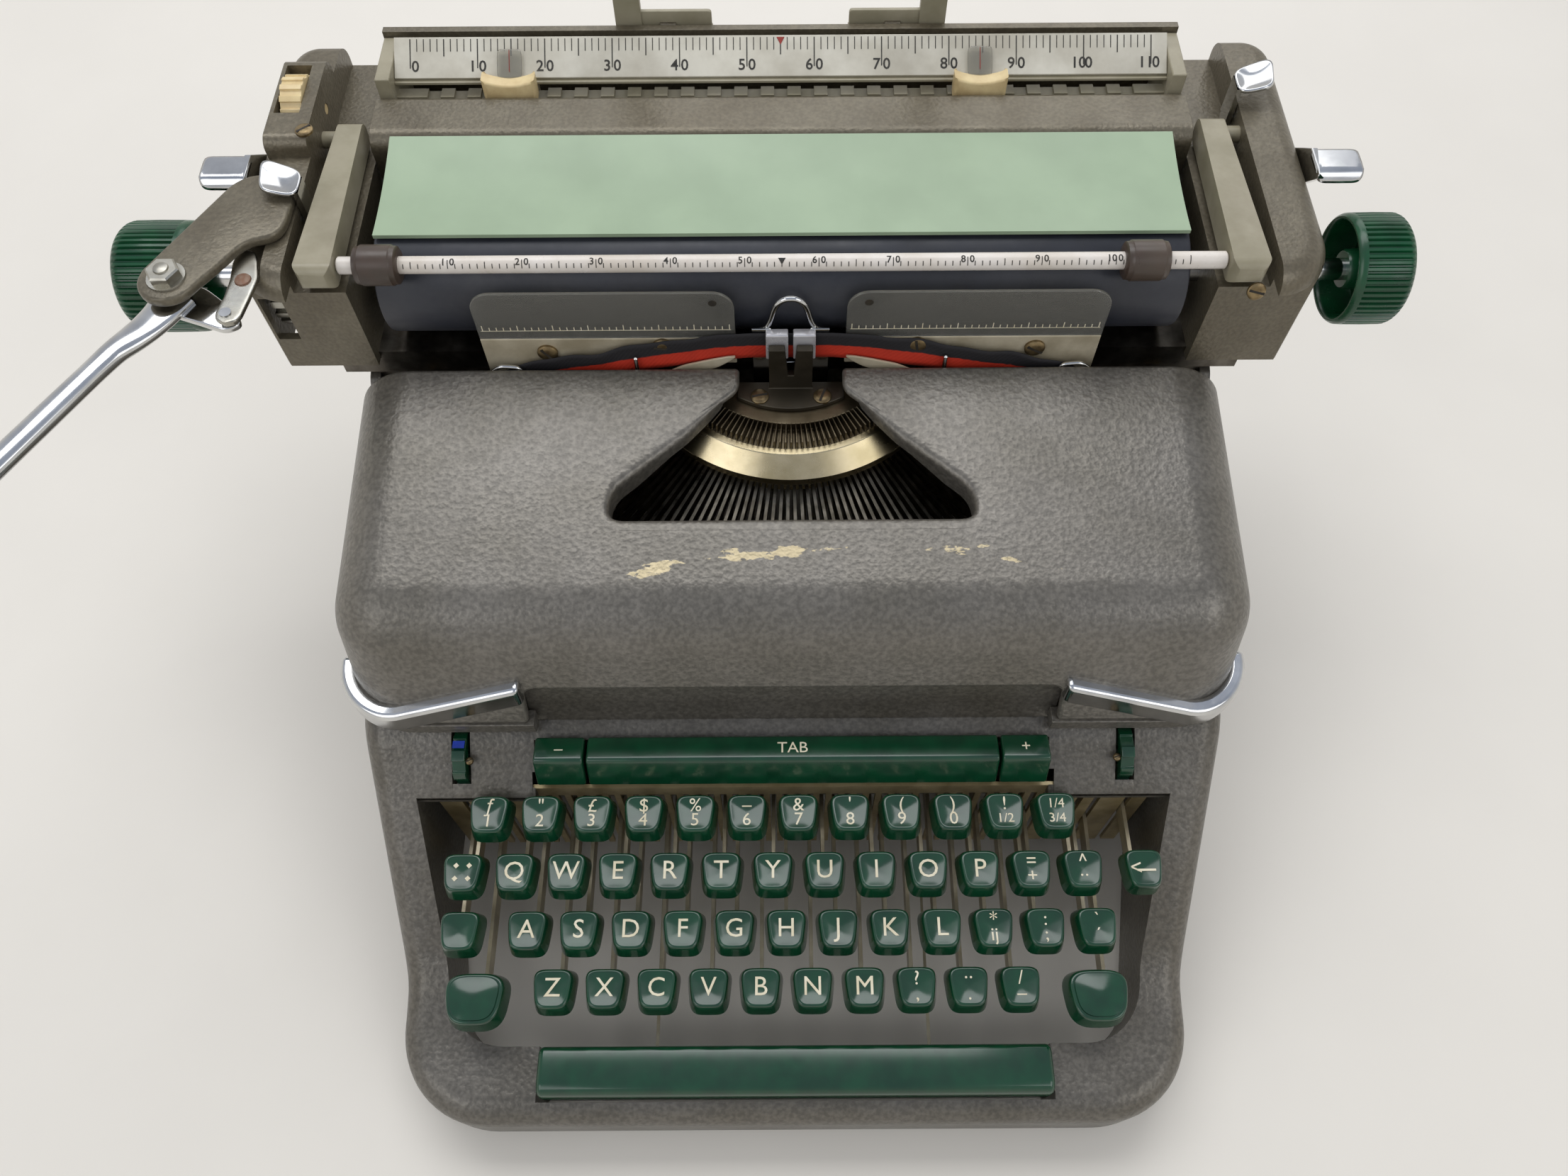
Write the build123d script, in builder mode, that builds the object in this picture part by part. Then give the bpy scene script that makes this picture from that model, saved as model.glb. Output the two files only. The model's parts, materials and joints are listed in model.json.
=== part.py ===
from build123d import *
import os
from math import acos, atan2, cos, degrees, hypot, pi, radians, sin, tan

# Desktop typewriter with a segment shift, drawn piece by piece in millimetres, +Z up.
# It is drawn about its own centre plane: X = 0 in that plane, Y = 0 at the front edge of the
# casing and Z = 0 on the desk. Every piece is moved by the same amount when it is written, so that
# the origin lies on the desk under the middle of the whole object.

# Clearances
RUN_FIT = 0.05
SLIDE_GAP = 0.3
SEAT_GAP = 0.2
LOOSE_GAP = 1.0

# Lower casing: plan, side outline and walls
CASE_DEPTH = 335.0
FRONT_HALF = 150.0
REAR_HALF = 164.0
FLARE_START = 52.0
FLARE_END = 140.0
FRONT_CORNER = 36.0
REAR_CORNER = 16.0
CASE_BASE = 9.0
BAR_TOP = 37.0
BAR_ROUND = 10.0
BAR_WIDTH = 18.0
FRONT_BAR = 27.0
WELL_CORNER = 22.0
SLOPE_START = 46.0
SLOPE_ROUND = 60.0
SHOULDER_TOP = 99.0
SHOULDER_START = 132.0
HOUSING_START = 254.0
HOUSING_TOP = 147.0
CASE_WALL = 4.0
BAR_WALL = 4.5
EDGE_ROUND = 8.0

# Deck under the hood's front edge, with the tabulator keys and the two selectors
DECK_FRONT = 109.0
DECK_BACK = 138.0
DECK_THICK = 3.0
DECK_DROP = 3.0
DECK_LIP = 9.0

# Rubber feet
FOOT_RADIUS = 13.0
FRONT_FOOT = (FRONT_HALF - 26.0, 16.0)
REAR_FOOT = (REAR_HALF - 16.0, CASE_DEPTH - 16.0)
BOSS_WALL = 1.5
BOSS_HEIGHT = 9.0

# Hood
HOOD_BASE = 105.5
HOOD_FRONT = 129.0
HOOD_LEAN = 16.0
HOOD_SHOULDER = 154.0
HOOD_REAR = 245.0
HOOD_REAR_TOP = 167.0
HOOD_ROUND = 26.0
HOOD_SIDE_ROUND = 24.0
HOOD_WALL = 3.0
NOTCH_HALF = 97.0
NOTCH_TOP = 114.0
NOTCH_CORNER = 5.0
MOUTH_FRONT = 182.0
MOUTH_HALF = 67.0
MOUTH_END = 196.0
HORN_HALF = 19.0
HORN_Y = 236.0
MOUTH_ROUND = 7.0
TRIM_HEIGHT = 6.2
TRIM_PROUD = 3.2
TRIM_END = 152.0

# Keyboard: rows give the Y and Z of the key tops, the first key's X and the number of keys
KEY_PITCH = 19.05
ROW_PITCH = 19.05
ROW_RISE = 9.0
NUMBER_X = -112.5
NUMBER_Y = 100.5
NUMBER_Z = 89.0
NUMBER_KEYS = 12
UPPER_KEYS = 12
HOME_KEYS = 12
LOWER_KEYS = 10
KEY_BACK = 15.0
KEY_FRONT = 11.6
KEY_DEPTH = 14.0
KEY_HEIGHT = 9.0
KEY_FLARE = 1.2
KEY_CORNER = 3.0
KEY_DISH = 1.1
LEVER_THICK = 1.4
LEVER_TALL = 7.0
STEM_DEPTH = 6.0
LEVER_DROP = 22.0
SHAFT_Y = 290.0
SHAFT_Z = 45.0
SHAFT_RADIUS = 4.0
FORK_WALL = 3.0

# Control keys
SHIFT_X = (-117.0, 111.0)
SHIFT_Y = 40.0
SHIFT_Z = 62.0
SHIFT_WIDTH = 23.0
SHIFT_DEPTH = 18.0
SHIFT_LEVERS = (-117.3, 118.0)
LOCK_X = -123.0
LOCK_LEVER = -127.0
MARGIN_KEY_X = -122.1
MARGIN_KEY_LEVER = -122.1
BACKSPACE_X = 129.0
BACKSPACE_LEVER = 130.0
SPACE_HALF = 95.0
SPACE_Y = (8.5, 26.0)
SPACE_Z = (30.0, 46.0)
SPACE_ROUND = 5.0
SPACE_EDGE = 1.0
SPACE_ARM_STEPS = (12.5, 34.5)
SPACE_ARM_TALL = 5.0
SPACE_ARM_Z = 27.0

# Tabulator keys
TAB_Y = (111.5, 126.0)
TAB_RIDGE_Y = 116.0
TAB_Z = (88.5, 102.0)
TAB_FALL = 1.4
TAB_SPLITS = (-96.0, -76.6, 76.2, 95.0)
TAB_GAP = 0.6
TAB_PIVOT = (164.0, 86.0)
TAB_ARM_THICK = 2.0
TAB_ARM_TALL = 5.0
TAB_PIN_RADIUS = 2.5
TAB_FORK_WALL = 2.0
TAB_ARM_INSET = 6.5
TAB_EDGE = 1.0

# Selectors in the deck: ribbon colour on the left, touch on the right
SELECTOR_X = 124.5
SELECTOR_Y = 124.6
SELECTOR_RADIUS = 11.0
SELECTOR_HUB = 2.0
SELECTOR_WIDTH = 5.0
SELECTOR_Z = 86.0
SELECTOR_TEETH = 8
SELECTOR_TOOTH = 1.0

# Comb that guides the key levers
COMB_Y = 112.0
COMB_THICK = 1.5
COMB_HALF = 137.0
COMB_TOP = 84.0
COMB_BASE = 16.0
COMB_SLOT = 2.4
COMB_SLOT_TOP = 76.0

# Chassis
PLATE_X = 146.0
PLATE_THICK = 3.0
CHASSIS_FRONT = 140.0
CHASSIS_REAR = 327.0
CROSS_THICK = 4.0
CROSS_FRONT_Z = (68.0, 80.0)
COMB_SHELF_Z = (71.0, 75.0)
COMB_SHELF_HALF = 110.0
BRIDGE_FRONT = 249.0
BRIDGE_INNER = 66.0
PLATE_SLOPE_Y = 241.0
SPOOL_PLATE_TOP = 137.0
SPOOL_PLATE_INNER = 78.0
SPOOL_PLATE_Y = (182.0, 250.0)

# Carriage rails and bed
RAIL_HALF = 172.0
RAIL_WIDTH = 8.0
RAIL_HEIGHT = 8.0
RAIL_BASE = 150.0
FRONT_RAIL_Y = 262.0
REAR_RAIL_Y = 318.0
BED_HALF = 152.0
BED_Y = (256.0, 326.0)
BED_BASE = 154.0
BED_TOP = 164.0
BED_ROOF = 160.0
BED_LEG = 4.0
RACK_Y = (284.0, 288.0)

# Carriage, measured from the carriage's own centre plane
CARRIAGE_SHIFT = -3.0
COVER_INNER = 152.0
COVER_OUTER = 190.0
COVER_FRONT = 244.0
COVER_REAR = 372.0
COVER_BASE = 161.0
COVER_TOP = 212.0
COVER_NOSE = 22.0
COVER_TAIL = 12.0
COVER_EDGE = 9.0
COVER_WALL = 3.0
COVER_ROOF = 206.6
UNDERCUT_Y = 252.0
UNDERCUT_Z = 203.5
NOTCH_WALL = 170.0
NOTCH_FLOOR = 200.0
SELECTOR_BOX_Y = (306.0, 352.0)
SELECTOR_BOX_TOP = 219.0

# Platen
PLATEN_Y = 273.0
PLATEN_Z = 186.5
PLATEN_RADIUS = 20.0
PLATEN_HALF = 143.5
AXLE_RADIUS = 4.0
KNOB_RADIUS = 20.0
KNOB_RIBS = 18
KNOB_RIB_DEPTH = 0.9
LEFT_KNOB = (-237.0, -211.0)
RIGHT_KNOB = (196.0, 224.0)
KNOB_ROUND = 3.0
RATCHET_X = (-183.0, -177.0)
RATCHET_RADIUS = 17.0
RATCHET_TEETH = 20
RATCHET_DEPTH = 2.0
RATCHET_WINDOW_Z = (176.0, 197.0)

# Paper bail
BAIL_ANGLE = 53.0
BAIL_ROLLER_RADIUS = 7.0
BAIL_ROLLER_LENGTH = 15.0
BAIL_ROLLERS = (-139.0, 125.0)
BAIL_ROD_RADIUS = 3.0
BAIL_PIVOT = (322.0, 206.0)
BAIL_PIN_RADIUS = 3.0
BAIL_ARM_X = (153.0, 166.0)
BAIL_ARM_REAR_X = (155.0, 164.0)
BAIL_ARM_TALL = 10.0
BAIL_ARM_NOSE = 8.0
BAIL_ARM_TAIL = 5.0

# Paper table, rear cover, margin rail and scale
TABLE_HALF = 143.0
TABLE_Y = (270.0, 316.0)
TABLE_Z = (209.0, 212.5)
TABLE_SAG = 1.5
TABLE_THICK = 1.6
TABLE_LEG_X = 100.0
TABLE_LEG_Y = (300.0, 314.0)
TABLE_LEG_THICK = 4.0
TROUGH_HALF = 152.0
HUMP_Y = (316.5, 340.0)
HUMP_TOP = 211.0
HUMP_ROUND = 6.0
TROUGH_FLOOR = 192.0
TROUGH_BACK = (366.0, 369.0)
TROUGH_TOP = 219.0
TROUGH_BASE = 164.0
TROUGH_WALL = 3.0
MARGIN_RAIL_Y = (344.0, 349.0)
MARGIN_RAIL_Z = (200.0, 207.0)
MARGIN_PITCH = 10.16
MARGIN_TOOTH = 1.2
BRACKET_X = (146.0, 151.5)
BRACKET_Y = (341.0, 365.5)
BRACKET_TOP = 217.0
SCALE_FOOT = (347.0, 213.0)
SCALE_HEAD = (360.0, 221.0)
SCALE_THICK = 1.2
STOP_X = (-102.0, 75.0)
STOP_WIDTH = 18.0
STOP_Y = (341.0, 345.5, 353.0)
STOP_Z = (195.0, 210.5, 216.0)

# Line space lever, its bracket and its link
LEVER_PIVOT = (-205.0, 244.0)
LEVER_ROOT = (-180.0, 290.0)
LEVER_ROOT_RADIUS = 9.0
LEVER_PLATE_WIDTH = 16.0
LEVER_NOSE_RADIUS = 10.0
BRACKET_Z = (212.2, 216.2)
LEVER_Z = (205.0, 211.0)
LEVER_PIN_RADIUS = 4.0
LEVER_BOSS = 9.0
LEVER_BEND = (-216.0, 226.0)
LEVER_TIP = (-279.0, 112.0)
LEVER_WIDTH = 8.0
LEVER_TIP_WIDTH = 11.0
CRANK_END = (-185.0, 233.0)
CRANK_WIDTH = 7.0
CRANK_Z = (205.0, 207.5)
LINK_Z = (208.9, 211.2)
LINK_PIN_RADIUS = 2.0
LINK_X = (-189.5, -177.8)
LINK_Y = (228.5, 262.0)
LINK_SLOT_X = (-187.6, -179.6)
LINK_SLOT_GAP = 0.4
LINK_TRAVEL = 9.9

# Release levers, spacing selector and paper supports
RELEASE_PIVOT = (312.0, 199.0)
RELEASE_PIN_RADIUS = 3.0
RELEASE_EYE = 5.0
RELEASE_Y = (291.5, 304.5)
RELEASE_Z = (212.0, 214.4)
RELEASE_OUT = 17.0
RELEASE_THICK = 2.4
TAB_STEM_X = (167.2, 169.2)
PAPER_RELEASE_PIVOT = (334.0, 204.0)
DETENT_PIVOT = (284.0, 204.0)
TAB_LEVER_PIN = 2.0
TAB_LEVER_EYE = 4.0
TAB_TOP = 221.0
TAB_CURL = 7.0
TAB_LEVER_THICK = 2.0
TAB_WIDTH = 15.0
WHEEL_X = (-183.0, -175.0)
WHEEL_Y = 334.0
WHEEL_Z = 210.0
WHEEL_RADIUS = 12.0
WHEEL_TEETH = 16
WHEEL_DEPTH = 0.8
WHEEL_PIN = 2.0
SUPPORT_Y = 371.7
SUPPORT_Z = 215.0
SUPPORT_RADIUS = 2.3
SUPPORT_FOOT = (-63.0, -26.0)
SUPPORT_POST_WIDTH = 10.0
SUPPORT_POST_THICK = 3.0
SUPPORT_HEIGHT = 62.0
SUPPORT_LUG = 4.0
SUPPORT_LUG_X = (40.0, 46.0)

# Type basket: rings are turned about a vertical line behind the printing point
BASKET_Y = 270.0
BASKET_SWEEP = 124.0
SEGMENT_INNER = 32.0
SEGMENT_SHELF = 52.0
SEGMENT_STEP = 55.0
SEGMENT_WALL = 56.0
SEGMENT_OUTER = 62.0
SEGMENT_TOP = 157.0
SEGMENT_BASE = 132.0
LIP_TOP = 153.5
LIP_EDGE = (147.0, 144.0)
LIP_BASE = 140.5
SLOT_INNER = 44.0
SLOT_DEPTH = 4.0
SLOT_WIDTH = 1.3
TYPEBARS = 46
TYPEBAR_STEP = 2.3
TYPEBAR_Z = 136.5
TYPEBAR_LENGTH = 57.0
TYPEBAR_THICK = 1.2
TYPEBAR_TALL = 4.2
TYPEBAR_FALL = 17.0
SLUG_LENGTH = 5.0
SLUG_WIDTH = 3.0
SLUG_TALL = 8.5
REST_RADIUS = (98.0, 104.0)
REST_SWEEP = 118.0
REST_THICK = 4.0
REST_ARM_SWEEP = REST_SWEEP - 4.0
SHIFT_POST_X = 33.0
SHIFT_POST_Y = 247.0
SHIFT_POST_RADIUS = 3.0
SHIFT_POST_BASE = 118.0
SHIFT_SHELF = 7.0
GUIDE_HALF = 8.0
GUIDE_Y = (241.5, 244.5)
GUIDE_TOP = 180.0
GUIDE_SLOT = 2.2
GUIDE_PLATE_HALF = 20.0
GUIDE_PLATE_THICK = 2.0
GUIDE_PLATE_RADIUS = 38.0

# Ribbon, spools, vibrator, card holders and line gauge
SPOOL_X = 112.0
SPOOL_Y = 209.0
SPOOL_RADIUS = 25.0
SPOOL_HUB = 9.0
WINDING_RADIUS = 20.0
SPOOL_HEIGHT = 16.0
SPOOL_FLANGE = 1.2
SPINDLE_RADIUS = 3.0
RIBBON_Y = 247.4
RIBBON_THICK = 0.4
RIBBON_WIDTH = 13.0
RIBBON_CENTRE_Z = 176.0
RIBBON_FLAT_HALF = 15.0
POST_X = 116.0
POST_RADIUS = 2.0
VIBRATOR_HALF = 14.0
VIBRATOR_TOP = 184.0
VIBRATOR_THICK = 0.8
VIBRATOR_WINDOW = 7.0
VIBRATOR_SILL = 166.0
CARD_X = (20.0, 113.0)
CARD_Y = 249.6
CARD_THICK = 1.2
CARD_TOP = 201.0
CARD_SPLIT = 178.0
CARD_ROUND = 8.0
CARD_CUT = 164.0
GAUGE_RADIUS = 1.1
GAUGE_SIDES = 6
GAUGE_HALF = 14.0
GAUGE_NECK = 6.0
GAUGE_FOOT_Z = 181.0
GAUGE_TOP_Z = 198.0

# Spring drum and escapement wheel
DRUM_X = -112.0
DRUM_Z = 112.0
DRUM_RADIUS = 29.0
DRUM_WIDTH = 16.0
DRUM_PIN = 4.0
ESCAPE_X = 30.0
ESCAPE_RADIUS = 18.0
ESCAPE_TEETH = 12
ESCAPE_THICK = 3.0
ESCAPE_DEPTH = 2.5
PINION_RADIUS = 6.0
PINION_TOP = 159.0

# Places worked out from the sizes above
LEVER_STEP = KEY_PITCH / 4
UPPER_X = NUMBER_X + 2 * LEVER_STEP
HOME_X = UPPER_X + LEVER_STEP
LOWER_X = HOME_X + 2 * LEVER_STEP
RAIL_TOP = RAIL_BASE + RAIL_HEIGHT
BAIL_REACH = PLATEN_RADIUS + BAIL_ROLLER_RADIUS + SLIDE_GAP
BAIL_Y = PLATEN_Y - BAIL_REACH * cos(radians(BAIL_ANGLE))
BAIL_Z = PLATEN_Z + BAIL_REACH * sin(radians(BAIL_ANGLE))
SPOOL_BASE = SPOOL_PLATE_TOP + SLIDE_GAP
WINDING_Z = (SPOOL_BASE + SPOOL_FLANGE, SPOOL_BASE + SPOOL_HEIGHT - SPOOL_FLANGE)
CASE_INNER = REAR_HALF - CASE_WALL
CHASSIS_BASE = CASE_BASE + BOSS_HEIGHT + SEAT_GAP
ESCAPE_Y = RACK_Y[1] + PINION_RADIUS + SLIDE_GAP
VIBRATOR_Y = RIBBON_Y + RIBBON_THICK + SLIDE_GAP
GAUGE_Y = VIBRATOR_Y + VIBRATOR_THICK + GAUGE_RADIUS
TYPEBAR_START = SEGMENT_WALL + SLIDE_GAP
TYPEBAR_SLOPE = tan(radians(TYPEBAR_FALL))
BOX_LEFT = LEVER_TIP[0] - LEVER_TIP_WIDTH / 2 + CARRIAGE_SHIFT
BOX_RIGHT = RIGHT_KNOB[1] + CARRIAGE_SHIFT
BOX_REAR = SUPPORT_Y + SUPPORT_LUG
FRAME_SHIFT = Pos(-(BOX_LEFT + BOX_RIGHT) / 2, -BOX_REAR / 2, 0)
CARRIAGE_PLACE = FRAME_SHIFT * Pos(CARRIAGE_SHIFT, 0, 0)

os.makedirs("parts", exist_ok=True)


def write_piece(builder, name, place=FRAME_SHIFT):
    """Put a finished piece in its place in the shared frame and write it."""
    piece = builder.part.moved(place)
    piece.label = name
    export_step(piece, f"parts/{name}.step")


def outline(points, radii):
    """Closed face through points, with one corner radius for each of them."""
    with BuildSketch(mode=Mode.PRIVATE) as face:
        with BuildLine():
            FilletPolyline(*points, radius=radii, close=True)
        make_face()
    return face.sketch


def block(low, high):
    """Rectangular bar between two opposite corners."""
    size = [b - a for a, b in zip(low, high)]
    with BuildPart(mode=Mode.PRIVATE) as body:
        with Locations(low):
            Box(*size, align=(Align.MIN, Align.MIN, Align.MIN))
    return body.part


def rod_x(start, end, place, radius):
    """Round bar along X, from start to end, about the line at place = (Y, Z)."""
    with BuildPart(mode=Mode.PRIVATE) as bar:
        with BuildSketch(Plane.YZ.offset(start)):
            with Locations(place):
                Circle(radius)
        extrude(amount=end - start)
    return bar.part


def rod_z(low, high, place, radius):
    """Upright round bar from low to high about the line at place = (X, Y)."""
    with BuildPart(mode=Mode.PRIVATE) as bar:
        with BuildSketch(Plane.XY.offset(low)):
            with Locations(place):
                Circle(radius)
        extrude(amount=high - low)
    return bar.part


def slab_x(start, end, face):
    """Plate whose outline is drawn in Y and Z and whose thickness runs along X."""
    with BuildPart(mode=Mode.PRIVATE) as plate:
        with BuildSketch(Plane.YZ.offset(start)):
            add(face)
        extrude(amount=end - start)
    return plate.part


def slab_z(low, high, face):
    """Plate whose outline is drawn in X and Y and whose thickness runs along Z."""
    with BuildPart(mode=Mode.PRIVATE) as plate:
        with BuildSketch(Plane.XY.offset(low)):
            add(face)
        extrude(amount=high - low)
    return plate.part


def slab_y(front, back, face):
    """Plate whose outline is drawn in X and Z and whose thickness runs along Y."""
    with BuildPart(mode=Mode.PRIVATE) as plate:
        with BuildSketch(Plane.XZ.offset(-back)):
            add(face)
        extrude(amount=back - front)
    return plate.part


def toothed_disc(radius, depth, teeth):
    """Face of a wheel with straight notches cut into its rim."""
    with BuildSketch(mode=Mode.PRIVATE) as disc:
        Circle(radius)
        with PolarLocations(radius, teeth):
            Rectangle(2 * depth, pi * radius / teeth, mode=Mode.SUBTRACT)
    return disc.sketch


def mirrored(points):
    """Points of one half of a plan, followed by the same points on the other side of X = 0."""
    return points + [(-x, y) for x, y in reversed(points)]


def strip(start, end, width, nose, tail):
    """Plan of a flat arm between two points, with rounded ends of the given radii."""
    with BuildSketch(mode=Mode.PRIVATE) as plan:
        with Locations(start):
            Circle(nose)
        with Locations(end):
            Circle(tail)
        run = hypot(end[0] - start[0], end[1] - start[1])
        turn = degrees(atan2(end[1] - start[1], end[0] - start[0]))
        middle = ((start[0] + end[0]) / 2, (start[1] + end[1]) / 2)
        with Locations(Location(middle, turn)):
            Rectangle(run, width)
    return plan.sketch


# Lower casing
def casing_plan(inset):
    """Plan of the casing's outside, drawn in by inset."""
    half = mirrored(
        [
            (FRONT_HALF - inset, inset),
            (FRONT_HALF - inset, FLARE_START),
            (REAR_HALF - inset, FLARE_END),
            (REAR_HALF - inset, CASE_DEPTH - inset),
        ]
    )
    radii = [FRONT_CORNER - inset, SLOPE_ROUND, SLOPE_ROUND, REAR_CORNER - inset]
    return outline(half, radii + radii[::-1])


def well_plan(inset):
    """Plan of the open keyboard well between the casing's bars, grown by inset."""
    front = FRONT_BAR - inset
    return outline(
        mirrored(
            [
                (FRONT_HALF - BAR_WIDTH + inset, front),
                (FRONT_HALF - BAR_WIDTH + inset, FLARE_START),
                (REAR_HALF - BAR_WIDTH - CASE_WALL + inset, DECK_FRONT + inset),
            ]
        ),
        [WELL_CORNER, SLOPE_ROUND, 0, 0, SLOPE_ROUND, WELL_CORNER],
    )


def casing_side(drop):
    """Side outline of the casing in Y and Z, lowered by drop."""
    return outline(
        [
            (0, CASE_BASE - drop),
            (0, BAR_TOP - drop),
            (SLOPE_START, BAR_TOP - drop),
            (SHOULDER_START, SHOULDER_TOP - drop),
            (HOUSING_START, SHOULDER_TOP - drop),
            (HOUSING_START, HOUSING_TOP - drop),
            (CASE_DEPTH, HOUSING_TOP - drop),
            (CASE_DEPTH, CASE_BASE - drop),
        ],
        [0, 0, SLOPE_ROUND, SLOPE_ROUND / 2, 0, EDGE_ROUND, EDGE_ROUND, 0],
    )


def deck_side(drop):
    """Side outline of the space under the deck, from its lip to its back edge."""
    front_z = SHOULDER_TOP - DECK_LIP - drop
    return outline(
        [
            (DECK_FRONT + DECK_THICK, CASE_BASE),
            (DECK_FRONT + DECK_THICK, front_z),
            (DECK_BACK, SHOULDER_TOP - DECK_DROP - drop),
            (DECK_BACK, CASE_BASE),
        ],
        [0, 0, 0, 0],
    )


with BuildPart() as bar_hollow:
    with BuildSketch(Plane.XY.offset(CASE_BASE)):
        add(casing_plan(BAR_WALL))
        add(well_plan(BAR_WALL), mode=Mode.SUBTRACT)
        with Locations((0, FRONT_BAR / 2)):
            Rectangle(2 * (SPACE_HALF + 2 * BAR_WALL), 2 * FRONT_BAR, mode=Mode.SUBTRACT)
        with Locations((0, DECK_FRONT + CASE_DEPTH / 2)):
            Rectangle(2 * REAR_HALF, CASE_DEPTH, mode=Mode.SUBTRACT)
        with Locations(FRONT_FOOT, (-FRONT_FOOT[0], FRONT_FOOT[1])):
            Circle(FOOT_RADIUS + BOSS_WALL, mode=Mode.SUBTRACT)
    extrude(amount=HOUSING_TOP)
    with BuildSketch(Plane.YZ):
        add(casing_side(BAR_WALL))
    extrude(amount=REAR_HALF, both=True, mode=Mode.INTERSECT)

with BuildPart() as lower_casing:
    with BuildSketch(Plane.XY.offset(CASE_BASE)):
        add(casing_plan(0))
    extrude(amount=HOUSING_TOP)
    with BuildSketch(Plane.YZ):
        add(casing_side(0))
    extrude(amount=REAR_HALF, both=True, mode=Mode.INTERSECT)
    fillet(lower_casing.edges().filter_by(Axis.X).group_by(Axis.Y)[0].sort_by(Axis.Z)[-1], BAR_ROUND)
    with BuildSketch(Plane.XY):
        add(well_plan(0))
        with Locations((0, FRONT_BAR)):
            Rectangle(2 * SPACE_HALF + 2 * LOOSE_GAP, 2 * (FRONT_BAR - SPACE_Y[0] + LOOSE_GAP))
    extrude(amount=HOUSING_TOP, mode=Mode.SUBTRACT)
    with BuildSketch(Plane.XY):
        with Locations((0, (DECK_BACK + CASE_DEPTH - CASE_WALL) / 2)):
            RectangleRounded(2 * CASE_INNER, CASE_DEPTH - CASE_WALL - DECK_BACK, REAR_CORNER - CASE_WALL)
    extrude(amount=2 * HOUSING_TOP, mode=Mode.SUBTRACT)
    add(slab_x(-CASE_INNER + BAR_WIDTH, CASE_INNER - BAR_WIDTH, deck_side(DECK_THICK)), mode=Mode.SUBTRACT)
    lip_low = (-CASE_INNER + BAR_WIDTH, DECK_FRONT - LOOSE_GAP, 0)
    lip_high = (CASE_INNER - BAR_WIDTH, DECK_BACK, SHOULDER_TOP - 2 * DECK_LIP - DECK_THICK)
    add(block(lip_low, lip_high), mode=Mode.SUBTRACT)
    tab_slot_low = (TAB_SPLITS[0] - LOOSE_GAP, TAB_Y[0] - LOOSE_GAP - DECK_THICK, CASE_BASE)
    tab_slot_high = (TAB_SPLITS[-1] + LOOSE_GAP, TAB_Y[1] + LOOSE_GAP, HOUSING_TOP)
    add(block(tab_slot_low, tab_slot_high), mode=Mode.SUBTRACT)
    for side in (-1, 1):
        with BuildSketch(Plane.XY.offset(CASE_BASE)):
            with Locations((side * SELECTOR_X, SELECTOR_Y)):
                Rectangle(SELECTOR_WIDTH + 2 * LOOSE_GAP, 2 * SELECTOR_RADIUS + 2 * SLIDE_GAP)
        extrude(amount=HOUSING_TOP, mode=Mode.SUBTRACT)
        with BuildSketch(Plane.XY.offset(CASE_BASE)):
            with Locations((side * REAR_FOOT[0], REAR_FOOT[1])):
                Circle(FOOT_RADIUS)
        extrude(amount=BOSS_HEIGHT)
    add(bar_hollow.part, mode=Mode.SUBTRACT)
write_piece(lower_casing, "lower_casing")

with BuildPart() as rubber_feet:
    with BuildSketch():
        with Locations(FRONT_FOOT, (-FRONT_FOOT[0], FRONT_FOOT[1])):
            Circle(FOOT_RADIUS)
        with Locations(REAR_FOOT, (-REAR_FOOT[0], REAR_FOOT[1])):
            Circle(FOOT_RADIUS)
    extrude(amount=CASE_BASE)
write_piece(rubber_feet, "rubber_feet")


# Hood with its chrome trims
def hood_side(inset, rear):
    """Side outline of the hood in Y and Z, drawn in by inset and carried back to rear."""
    slope = (HOOD_REAR_TOP - HOOD_SHOULDER) / (HOOD_REAR - HOOD_FRONT - HOOD_LEAN)
    return outline(
        [
            (HOOD_FRONT + inset, HOOD_BASE - inset),
            (HOOD_FRONT + HOOD_LEAN + inset, HOOD_SHOULDER - inset),
            (rear, HOOD_REAR_TOP - inset + slope * (rear - HOOD_REAR)),
            (rear, HOOD_BASE - inset),
        ],
        [0, HOOD_ROUND - inset, 0, 0],
    )


def hood_body(inset, rear):
    """Solid of the hood's outside, drawn in by inset, rounded where its faces meet its ends."""
    with BuildPart(mode=Mode.PRIVATE) as body:
        with BuildSketch(Plane.YZ):
            add(hood_side(inset, rear))
        extrude(amount=REAR_HALF - inset, both=True)
        ends = body.faces().filter_by(Axis.X).edges()
        front = ends.filter_by(lambda edge: edge.center().Y < rear - LOOSE_GAP)
        upper = front.filter_by(lambda edge: edge.center().Z > HOOD_BASE)
        fillet(upper, HOOD_SIDE_ROUND - inset)
    return body.part


def trim_face(side):
    """Plan of one trim, wrapped round a front corner of the hood."""
    reach = REAR_HALF + TRIM_PROUD
    front = HOOD_FRONT - TRIM_PROUD
    return outline(
        [
            (side * NOTCH_HALF, front),
            (side * reach, front),
            (side * reach, TRIM_END),
            (side * (reach - 2 * TRIM_PROUD), TRIM_END),
            (side * (reach - 2 * TRIM_PROUD), front + 2 * TRIM_PROUD),
            (side * NOTCH_HALF, front + 2 * TRIM_PROUD),
        ],
        [0, HOOD_SIDE_ROUND, 0, 0, HOOD_SIDE_ROUND - 2 * TRIM_PROUD, 0],
    )


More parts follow.
